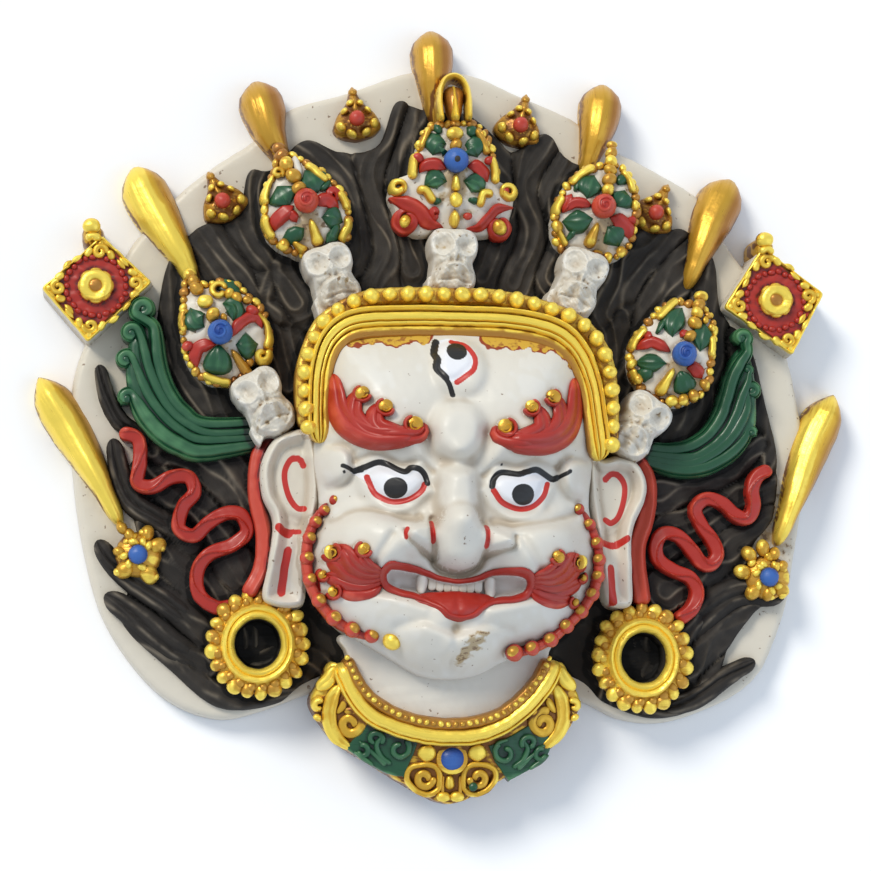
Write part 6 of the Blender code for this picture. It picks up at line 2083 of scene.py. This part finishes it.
@dataclass
class Beard:
    """The line of red beads with gilded caps along the jaw."""

    radius: float = 1.95
    lines: tuple[Route, ...] = (
        ((-30.4, -24, 30, 0.8), (-33.2, -26.6, 29.4, 0.8), (-35.4, -29.6, 29, 0.9), (-37, -33.8, 28.6, 0.95),
         (-37.6, -39, 28.4, 1), (-36.8, -44.6, 28.4, 1), (-34.4, -50, 28.6, 1.05), (-30.6, -54.6, 29, 1.1),
         (-25.8, -57.6, 29.6, 1.1), (-20.8, -59.2, 30.2, 1), (-15.4, -60.4, 31, 1.35)),
        ((33.6, -26, 30, 0.8), (36.6, -30, 29.4, 0.85), (38.6, -34.8, 29, 0.9), (39.2, -39.2, 28.6, 0.95),
         (38.9, -43.6, 28.4, 0.95), (37.4, -48.2, 28.4, 1), (34.4, -52.8, 28.6, 1), (30.4, -56.6, 29, 1.05),
         (26.2, -60.2, 29.6, 1.05), (21.2, -62.4, 30.2, 1.05), (16.4, -63.6, 30.8, 1.2)))

    def build(self) -> Piece:
        """Makes the beads, joined by a thin red cord of clay."""
        clay = Clay("beard_beads", RED, 0.04)
        for side, beads in enumerate(self.lines):
            clay.stroke(RED, [(x, y) for x, y, _, _ in beads], 1.5, 2.8, 26.6, sink=4.5)
            for number, (x, y, z, size) in enumerate(beads):
                gilded = number == len(beads) - 1 and side == 0
                radius = self.radius * size
                clay.stamp(BENCH.bead, GOLD if gilded else RED, (x, y, z), (radius, radius, radius * 1.15))
                if not gilded:
                    inward = -0.25 if x > 0 else 0.25
                    clay.stamp(BENCH.bead, GOLD, (x + inward, y + 0.2, z + 0.5 * radius),
                               (radius * 0.78, radius * 0.74, radius * 0.7), tint=0.6)
        return clay.make()


# ---- ears and earrings

@dataclass(frozen=True)
class Ear:
    """The plan of one ear and its long lobe."""

    name: str
    outline: Route
    middle: Spot
    hollow: Route
    inner: Route
    red_lines: tuple[Line, ...]


EARS = (
    Ear(
        "ear_0",
        ((-36, -6), (-42.5, -5.6), (-47, -8.6), (-49.6, -15), (-49, -22.5), (-46.4, -28), (-46.4, -33),
         (-47.6, -41), (-48.4, -50), (-38.6, -51), (-37.4, -42), (-35.4, -32), (-34, -20)),
        (-41.5, -26),
        ((-37, -9.8), (-42, -8.6), (-46, -11.2), (-47.4, -16), (-46.6, -22.5), (-43.8, -27.6), (-40, -29.6)),
        ((-37.4, -12), (-41, -10.6), (-44, -13), (-44.2, -20), (-42.4, -25.4), (-38.2, -27.6)),
        (Line(
             0.85,
             ((-38.4, -14.4), (-39.4, -12.8), (-41.6, -12.8), (-43.2, -15.6), (-43.2, -19), (-42, -23),
              (-40, -25.6), (-38.2, -25.8))),
         Line(1.15, ((-44.8, -30.8), (-43.6, -32), (-42.2, -32.4))), Line(0.7, ((-43, -32), (-39.4, -31.9))),
         Line(1.15, ((-42.4, -37), (-43.2, -41.5), (-43.9, -47.6))))),
    Ear(
        "ear_1",
        ((37, -10), (41, -12), (45.5, -11.4), (50.2, -13.2), (52.7, -17.8), (52.4, -23), (49.4, -30),
         (48.6, -36), (48.9, -43), (49.2, -50.8), (43.4, -50.6), (41, -44), (39, -35), (37, -22)),
        (43.8, -29.5),
        ((39.6, -13.4), (44, -12.4), (48.6, -14), (50, -19), (48.8, -26), (45.6, -30.4), (41.4, -32.6)),
        ((40.4, -16), (43.8, -14), (47, -16.2), (47.4, -21.4), (45.6, -27.2), (41, -30.6)),
        (Line(
             0.85,
             ((41.9, -17.6), (43.3, -16.3), (45.2, -16.4), (46.9, -18.8), (46.9, -22.5), (45.5, -27.2),
              (43.5, -29.2), (41.8, -28.4))),
         Line(0.95, ((41.1, -34.7), (44.2, -35.2), (47.3, -33.4))),
         Line(1.1, ((43, -41.3), (43.5, -45), (44.2, -50))))))


@dataclass
class Ears:
    """The long ears with their rolled rims and painted folds."""

    height: float = 26.0

    def build(self) -> list[Piece]:
        """Makes both ears."""
        return [self.ear(plan) for plan in EARS]

    def ear(self, plan: Ear) -> Piece:
        """Makes one ear."""
        def top(flat: Array, reach: Array) -> Array:
            """The rolled rim, the hollow behind it, the inner fold and the flat lobe."""
            rim = distance_to(flat, plan.hollow, 4.0)
            inner = distance_to(flat, plan.inner, 4.0)
            lobe = soft_step(-flat[:, 1], -plan.middle[1] + 4.0, -plan.middle[1] + 8.0)
            inside = depth_inside(flat, plan.outline, 4.0)
            height = self.height - 4.2 + 4.0 * (1.0 - 0.5 * lobe) * np.exp(-((inside - 1.5) / 1.6) ** 2)
            height -= 0.5 * np.exp(-((rim - 0.6) / 1.3) ** 2)
            height += 0.4 * np.exp(-(inner / 1.6) ** 2) + 1.2 * lobe
            height -= 6.0 * soft_step(-flat[:, 1], -plan.middle[1] + 9.0, -plan.middle[1] + 24.0)
            return height + 0.5 * lobe * np.exp(-((inside - 1.0) / 0.8) ** 2) + 0.04 * ripple(flat, 3.0, 31)

        def painted(flat: Array) -> Coats:
            """The red lines of the folds."""
            return {"red": np.max([line.inside(flat) for line in plan.red_lines], axis=0),
                    "grime": 0.2 + 0.2 * ripple(flat, 9.0, 4)}
        clay = Clay(plan.name, WHITE, 0.03)
        clay.relief(WHITE, plan.outline, plan.middle, top, corners=260, rings=44, foot=8.0, draft=0.6,
                    edge=0.8,
                    tint=0.4, coats=painted)
        return clay.make()


@dataclass
class Earrings:
    """Round gilded earrings: a grooved ring about a blind hollow, in a worn beaded border."""

    beads: int = 21
    places: Route = ((-50, -61.2, 12.5, 13.4), (52.8, -64.8, 12.4, 13.7))
    profile: Route = (
        (0, 9), (0.44, 9.1), (0.475, 10.2), (0.49, 17.2), (0.515, 18.4), (0.57, 18.9), (0.62, 18.5),
        (0.645, 17.8), (0.67, 18.5), (0.72, 18.7), (0.76, 18.1), (0.775, 17.2), (0.8, 16.6), (0.9, 16.2),
        (0.97, 15.2), (0.99, 13), (1, 7))

    def build(self) -> list[Piece]:
        """Makes both earrings."""
        ring = BENCH.turned(self.profile, 72)
        dark = BENCH.turned(((0.0, 9.2), (0.43, 9.3), (0.466, 10.6), (0.482, 16.4)), 48)
        pieces = []
        for side, (x, y, across, down) in enumerate(self.places):
            clay = Clay(f"earring_{side}", GOLD)
            clay.stamp(ring, GOLD, (x, y, 0.0), (across, down, 1.0), tint=0.3)
            clay.stamp(dark, BLACK, (x, y, 0.15), (across, down, 1.0))
            for k in range(self.beads):
                bearing = 360.0 * (k + 0.3 * side) / self.beads
                reach = 0.93 + 0.02 * sin(4.1 * k)
                px, py = x + across * reach * cos(radians(bearing)), y + down * reach * sin(radians(bearing))
                size = 1.0 + 0.14 * sin(1.9 * k + side)
                clay.stamp(BENCH.bead, GOLD, (px, py, 15.2), (2.4, 1.95 * size, 1.8),
                           turn=bearing + 12 * sin(2.3 * k),
                           tint=0.35 + 0.25 * sin(2.7 * k))
                px = x + across * 0.85 * cos(radians(bearing + 4))
                py = y + down * 0.85 * sin(radians(bearing + 4))
                clay.stamp(BENCH.seed, GOLD, (px, py, 16.5), (1.3, 1.2 * size, 0.7), turn=bearing, tint=0.6)
            pieces.append(clay.make())
        return pieces


# ---- neck and collar

@dataclass
class Collar:
    """The neck and the gilded collar with beaded edge, green panels and a blue stone."""

    neck_height: float = 21.0
    roll_base: float = 19.0
    border_base: float = 15.6
    neck: Route = (
        (-24, -58), (-26.5, -64), (-22, -74), (-11, -82.4), (1, -85), (12.5, -82.6), (22.6, -74), (27, -64),
        (24, -58))
    roll: Route = (
        (-28.6, -66.2), (-25.2, -74), (-20.5, -79.7), (-14, -82.9), (-6.4, -85), (1.1, -85.6), (8.2, -85),
        (15.2, -82.2), (21.5, -77.2), (26.2, -71.4), (29, -65.6))
    beads: Route = (
        (-26.8, -64.8), (-24, -70.7), (-21, -74.7), (-17, -77.7), (-11, -80.5), (-3.9, -82), (2.6, -82.2),
        (8.7, -81.3), (14.2, -79.3), (19.3, -75.5), (23.9, -70.2), (26.6, -65))
    outer: Route = (
        (-29.5, -66), (-33.4, -70.8), (-36, -76.6), (-33.6, -81.6), (-28.6, -87.6), (-20, -92.8),
        (-12.8, -97.2), (-5.4, -101.4), (1, -103.4), (7.4, -101.4), (14.4, -97.4), (22, -93.2), (30, -87.4),
        (34.2, -81.6), (35.8, -76.6), (33.4, -71), (29.5, -66), (20, -76), (1, -84), (-20, -76))
    panels: tuple[Route, ...] = (
        ((-20.4, -81.2), (-20, -81.1), (-13.6, -84.6), (-8.2, -87), (-7.9, -87.4), (-11.2, -95.9),
         (-11.6, -96.1), (-16.6, -94.9), (-26.3, -88.9), (-26.4, -88.4), (-23.7, -85)),
        ((11.1, -88.2), (11.4, -87.9), (16.8, -85.4), (22.8, -82), (23.2, -82.1), (28.3, -86.7),
         (28.2, -87.2), (26.3, -91.5), (21.9, -94.5), (16.9, -97.2), (16.5, -97.1), (12.9, -92.4)))

    def build(self) -> list[Piece]:
        """Makes the neck and the collar."""
        return [self.build_neck(), self.build_collar()]

    def build_neck(self) -> Piece:
        """Makes the smooth white neck."""
        clay = Clay("neck", WHITE)
        clay.relief(WHITE, self.neck, (0.5, -70.0), lambda flat, reach: self.neck_height - 2.0 * reach ** 2
                    + 0.08 * ripple(flat, 8.0, 14), corners=200, rings=30, foot=8.0, edge=0.8,
                    coats=lambda flat: {"grime": 0.15 + 0.4 * soft_step(-flat[:, 1], 74.0, 84.0)})
        return clay.make()

    def border(self, flat: Array) -> Array:
        """The border's height: rounded towards its outer edge and higher under the roll."""
        inner = np.hypot(flat[:, 0] - 0.5, (flat[:, 1] + 58.0) * 1.05)
        return self.border_base + 3.6 * (1.0 - soft_step(inner, 28.0, 46.0))

    def build_collar(self) -> Piece:
        """Makes the collar with all its carving."""
        clay = Clay("collar", GOLD)
        clay.relief(GOLD, self.outer, (1.0, -84.5), lambda flat,
                    reach: self.border(flat) - 1.2 * soft_step(reach, 0.8, 1),
                    corners=260, rings=34, foot=4.0, draft=0.5, edge=1.1, tint=0.12)
        clay.stroke(GOLD, self.roll, 2.5, 5.0, self.roll_base - 0.4, profile=steps_across(
            ((-1.0, 0.2), (-0.9, 0.62), (-0.7, 0.7), (-0.6, 0.55), (-0.5, 0.8), (-0.2, 0.97), (0.2, 1.0),
             (0.6, 0.9),
             (0.8, 0.72), (0.88, 0.6), (1.0, 0.3))), across=31, sink=8.0, tint=0.08)
        clay.stroke(GOLD, self.beads, 1.75, 5.4, self.roll_base - 0.8, profile=flat_top, across=11,
                    sink=8.0, tint=0.85)
        for number, (x, y) in enumerate(evenly(self.beads, 1.9)):
            worn = 1.0 + 0.2 * sin(3.1 * number)
            clay.stamp(BENCH.seed, GOLD, (x, y, self.roll_base + 4.7), (0.78 * worn, 0.72, 0.7),
                       turn=50.0 * number, tint=0.35 + 0.3 * sin(1.7 * number))
        for panel in self.panels:
            self.green_panel(clay, panel)
        self.scrolls(clay)
        self.stone(clay)
        return clay.make()

    def green_panel(self, clay: Clay, panel: Route) -> None:
        """Lays a green panel with scrolls of its own colour."""
        side = 1.0 if panel[0][0] > 0 else -1.0
        middle = tuple(np.mean(panel, axis=0))
        clay.relief(GREEN, panel, middle, lambda flat, reach: self.border(flat) + 0.5, corners=90, rings=10,
                    foot=12.0, edge=0.4)

        def ground(flat: Array) -> Array:
            """The panel's face."""
            return self.border(flat) + 0.4
        mx, my = middle
        # Below zero, the tint gives the panel's scrolls and stems more of the pale ridge colour, partly rubbed
        # paint and partly a painted highlight.
        for dx, dy, outer, start, turns in ((4.2, -0.6, 3.0, 60, -1.0), (-2.2, 2.0, 2.2, -40, 0.9),
                                            (-5.4, -1.2, 1.8, 120, -0.9)):
            route = coil(mx - side * dx, my + dy, outer, 0.8, 180 - start if side > 0 else start,
                         -turns if side > 0 else turns)
            clay.stroke(GREEN, route, 0.85, 1.2, ground, across=9, step=0.4, sink=2.0, tint=-0.3)
        for stem in (((-6.5, 1.5, 0.5), (-2.5, -1.8, 0.9), (1.0, -4.8, 1.2)),
                     ((-1.2, 4.4, 0.5), (-0.6, 2.6, 0.9), (-1.8, 0.4, 1.0), (-0.6, -2.6, 1.1),
                      (2.2, -4.6, 0.8)),
                     ((-7.6, -1.2, 0.5), (-5.2, -3.0, 0.9), (-2.4, -4.9, 0.6)),
                     ((3.4, 3.0, 0.5), (6.2, 2.0, 0.9), (7.4, -0.6, 0.8))):
            clay.stroke(GREEN, [(mx - side * dx, my + dy, share) for dx, dy, share in stem], 0.8, 1.1,
                        ground,
                        across=9, sink=2.0, tint=-0.3)

    def scrolls(self, clay: Clay) -> None:
        """Carves the broad gilded scrolls at both ends of the border."""
        furrowed = ribbed(2, 0.3)
        forms = (
            (coil(-25.6, -82.2, 3.7, 0.5, 120, -1.5), 1.35, 1.0, round_top, 11, 0.4, 2.0, 0.1),
            (((-28.6, -72, 0.6), (-30.6, -76.4, 1), (-31, -81.4, 1), (-29.2, -85.6, 0.9),
              (-25.4, -88.8, 0.5)),
             2.0, 1.0, furrowed, 15, 0.7, 2.0, 0.0),
            (coil(-34.0, -77.4, 1.4, 0.4, 30, 0.9), 1.05, 1.2, round_top, 9, 0.3, 1.2, 0.0),
            (((-29.4, -67, 0.7), (-31.4, -70.6, 1), (-34.4, -73.2, 0.8)), 1.9, 1.3, furrowed, 11, 0.4, 1.2,
             0.0),
            (((-26.2, -75, 0.7), (-27.4, -77.2, 1), (-29, -79.6, 0.5)), 1.2, 1.1, round_top, 9, 0.4, 1.2,
             0.0),
        )
        for side in (-1, 1):
            for points, half, rise, profile, across, step, sink, tint in forms:
                route = [(side * -x, *rest) for x, *rest in points]
                clay.stroke(GOLD, route, half, rise, self.border, profile=profile, sink=sink, tint=tint,
                            step=step, across=across)
            for x, y, size in ((-22.6, -79.0, 1.3), (-34.2, -80.6, 1.2)):
                height = height_at(self.border, side * -x, y) + 0.7
                clay.stamp(BENCH.bead, GOLD, (side * -x, y, height), (size, 0.8 * size, 1.1),
                           turn=side * 30.0)

    def stone(self, clay: Clay) -> None:
        """Sets the stone with its petals and the two swirled squares below it."""
        x, y = 1.3, -91.4
        for side in (-1, 1):
            petal = [(x + side * 4.2, y + 0.9, 0.8), (x + side * 6.8, y + 1.5, 1.0),
                     (x + side * 9.2, y + 1.1, 0.7)]
            clay.stroke(GOLD, petal, 2.6, 1.3, self.border, step=0.4)
            clay.stroke(GOLD, [(x + side * 2.0, y + 4.2), (x + side * 8.8, y + 5.0)], 1.0, 0.9, self.border,
                        across=7)
            square = [(x + side * u, y - v) for u, v in ((3.4, 8.0), (3.2, 4.2), (4.6, 2.0), (8.0, 1.6),
                                                         (11.0, 2.6),
                                                        (11.8, 5.0), (10.2, 7.6), (6.6, 9.4), (3.4, 8.0),
                                                        (3.2, 4.2))]
            clay.stroke(GOLD, square, 0.85, 1.0, self.border, across=9, step=0.4, tint=0.1)
            clay.stroke(GOLD, coil(x + side * 7.2, y - 5.2, 2.6, 0.5, 90 + side * 80, side * 1.2), 1.15, 1.2,
                        self.border, across=11, step=0.4, tint=0.2)
            clay.stroke(GOLD, [(x + side * 2.2, y - 4.4, 0.5), (x + side * 2.4, y - 9.8, 1.0)], 0.7, 1.0,
                        self.border,
                        across=7, tint=0.4)
            clay.stamp(BENCH.bead, GOLD, (x - 0.3 + side * 1.8, y - 10.0, 16.2), (1.9, 1.4, 1.0))
        clay.stroke(GOLD, [(x - 0.4, y - 4.2, 0.7), (x - 0.5, y - 8.2, 1.0)], 1.5, 1.5, self.border)
        clay.stamp(BENCH.cup, GOLD, (x, y, 17.2), (4.1, 4.0, 2.0), tint=0.35)
        clay.stamp(BENCH.bead, BLUE, (x, y, 18.2), (3.4, 3.3, 1.8))
        clay.stamp(BENCH.bead, GREEN, (x + 5.7, y - 7.4, 17.2), (1.2, 1.2, 0.8))


# ---- painted shade, dirt and wear, from the heights of the whole mask

class ShadeAndWearMap:
    """Works out which parts of the whole mask lie low and which stand proud, for the painted shade and dirt in
    its recesses and the wear and painted highlight on its ridges, and stores it in each piece.
    """

    cell = 0.4
    margin = 12.0
    fine = 0.8
    broad = 3.0

    def __init__(self, pieces: Sequence[Piece], shares: dict[str, float]) -> None:
        """Reads the pieces' points and makes a map of their heights.

        Args:
            pieces: every piece of the mask.
            shares: how much of the painted shade, dirt and wear a piece takes, by the start of its name.
        """
        self.pieces = pieces
        self.shares = shares
        self.clouds = []
        for piece in pieces:
            points = np.zeros(len(piece.data.vertices) * 3)
            piece.data.vertices.foreach_get("co", points)
            self.clouds.append(points.reshape(-1, 3) / MM)
        everything = np.vstack(self.clouds)
        self.low = everything[:, :2].min(axis=0) - self.margin
        size = np.ceil((everything[:, :2].max(axis=0) + self.margin - self.low) / self.cell).astype(int)
        self.top = np.full(size, -1.0)
        cells = ((everything[:, :2] - self.low) / self.cell).astype(int)
        np.maximum.at(self.top, (cells[:, 0], cells[:, 1]), everything[:, 2])

    def softened(self, sigma: float) -> Array:
        """The mean height round each cell, over about the given distance in millimetres."""
        known = (self.top >= 0.0).astype(float)
        across = np.fft.fftfreq(self.top.shape[0], self.cell)[:, None]
        up = np.fft.rfftfreq(self.top.shape[1], self.cell)[None, :]
        kernel = np.exp(-2.0 * (pi * sigma) ** 2 * (across ** 2 + up ** 2))
        total = np.fft.irfft2(np.fft.rfft2(self.top * known) * kernel, self.top.shape)
        weight = np.fft.irfft2(np.fft.rfft2(known) * kernel, self.top.shape)
        return total / np.maximum(weight, 1e-3)

    def sample(self, chart: Array, points: Array) -> Array:
        """Reads a map between its cells."""
        place = (points[:, :2] - self.low) / self.cell - 0.5
        corner = np.floor(place).astype(int)
        share = place - corner
        i, j = corner.T
        u, v = share.T
        return ((1 - u) * (1 - v) * chart[i, j] + u * (1 - v) * chart[i + 1, j]
                + (1 - u) * v * chart[i, j + 1] + u * v * chart[i + 1, j + 1])

    def apply(self) -> None:
        """Stores the two values in every piece."""
        near, far = self.softened(self.fine), self.softened(self.broad)
        for piece, points in zip(self.pieces, self.clouds):
            cells = ((points[:, :2] - self.low) / self.cell).astype(int)
            buried = np.maximum(self.top[cells[:, 0], cells[:, 1]] - points[:, 2] - 0.5, 0.0)
            share = next((share for start, share in self.shares.items() if piece.name.startswith(start)),
                         1.0)
            seen = np.exp(-(buried / 0.8) ** 2) * share
            # crease and depth set each paint's recess colour, which is dirt and painted shade; crease also sets
            # its ridge colour, which is wear and painted highlight.
            for name, chart, limit in (("crease", near, 1.6), ("depth", far, 6.0)):
                values = np.clip(self.sample(chart, points) - points[:, 2], -limit, limit) * seen
                attribute = piece.data.attributes.new(name, "FLOAT", "POINT")
                attribute.data.foreach_set("value", values.astype(np.float32))


# ---- floor, light and camera

@dataclass
class Studio:
    """The pale floor, the soft light and the camera."""

    floor_side: float = 4.0
    sky: float = 0.70
    sun: float = 2.15
    fill: float = 0.65
    aim: Triple = (-1.5, -4.2, 0)
    distance: float = 750.0
    yaw: float = -5.0
    pitch: float = 5.0
    lens: float = 113.5

    def lay_floor(self) -> None:
        """Lays the plain white floor under the mask."""
        bpy.ops.object.select_all(action="DESELECT")
        bpy.ops.mesh.primitive_plane_add(size=self.floor_side, location=(0.0, 0.0, -0.0004))
        floor = bpy.context.active_object
        floor.name = "floor"
        material = bpy.data.materials.new("pale_floor")
        material.use_nodes = True
        shader = material.node_tree.nodes["Principled BSDF"]
        shader.inputs["Base Color"].default_value = (0.93, 0.93, 0.935, 1.0)
        shader.inputs["Roughness"].default_value = 0.9
        floor.data.materials.append(material)

    def light(self) -> None:
        """Sets a broad warm light at the upper left and a weak blue one at the right, under a soft sky."""
        world = bpy.data.worlds.new("soft_sky")
        world.use_nodes = True
        background = world.node_tree.nodes["Background"]
        background.inputs["Color"].default_value = (0.80, 0.885, 1.0, 1.0)
        background.inputs["Strength"].default_value = self.sky
        bpy.context.scene.world = world
        self.hang("key", self.sun, 20.0, (1.0, 0.955, 0.86), (-0.78, 0.88, 1.08))
        self.hang("fill", self.fill, 60.0, (0.66, 0.80, 1.0), (1.1, -0.45, 0.8))

    def hang(self, name: str, energy: float, spread: float, colour: Triple,
             place: Triple) -> None:
        """Hangs one far, broad light that shines at the mask from its place."""
        lamp = bpy.data.lights.new(name, "SUN")
        lamp.energy, lamp.angle, lamp.color = energy, radians(spread), colour
        holder = bpy.data.objects.new(name, lamp)
        holder.location = place
        holder.rotation_euler = (-holder.location).to_track_quat("-Z", "Y").to_euler()
        bpy.context.scene.collection.objects.link(holder)

    def place_camera(self) -> None:
        """Sets the camera above the mask, a little to the left and below."""
        yaw, pitch = radians(self.yaw), radians(self.pitch)
        back = Vector((sin(yaw) * cos(pitch), -sin(pitch), cos(yaw) * cos(pitch)))
        right = Vector((cos(yaw), 0.0, -sin(yaw)))
        up = back.cross(right)
        lens = bpy.data.cameras.new("camera")
        lens.lens = self.lens
        lens.sensor_width = 36.0
        lens.clip_start = 0.01
        camera = bpy.data.objects.new("camera", lens)
        turn = Matrix((right, up, back)).transposed()
        camera.matrix_world = Matrix.Translation((Vector(self.aim) + back * self.distance) * MM) @ turn.to_4x4()
        bpy.context.scene.collection.objects.link(camera)
        bpy.context.scene.camera = camera
        bpy.context.scene.view_settings.view_transform = "Standard"


def main() -> None:
    """Builds the mask piece by piece, lays its painted shade, dirt and wear, and sets the studio."""
    logging.basicConfig(level=logging.INFO, format="%(message)s")
    studio = Studio()
    studio.place_camera()
    studio.lay_floor()
    studio.light()
    form = HeadForm()
    makers = (
        BackPlate(), Hair(), Buds(), Florets(), SideFlowers(), Plaques(), Crown(), Skulls(), Jewels(),
        Plumes(),
        Ribbons(), Face(form), BrowsAndMoustaches(form), Mouth(form), Beard(), Ears(), Earrings(), Collar())
    pieces = []
    for maker in makers:
        made = maker.build()
        pieces += made if isinstance(made, list) else [made]
    ShadeAndWearMap(pieces, {"back_plate": 0.15, "neck": 0.15, "bud": 0.35}).apply()
    log.info("%d pieces, %d faces", len(pieces), sum(len(piece.data.polygons) for piece in pieces))


if __name__ == "__main__":
    main()
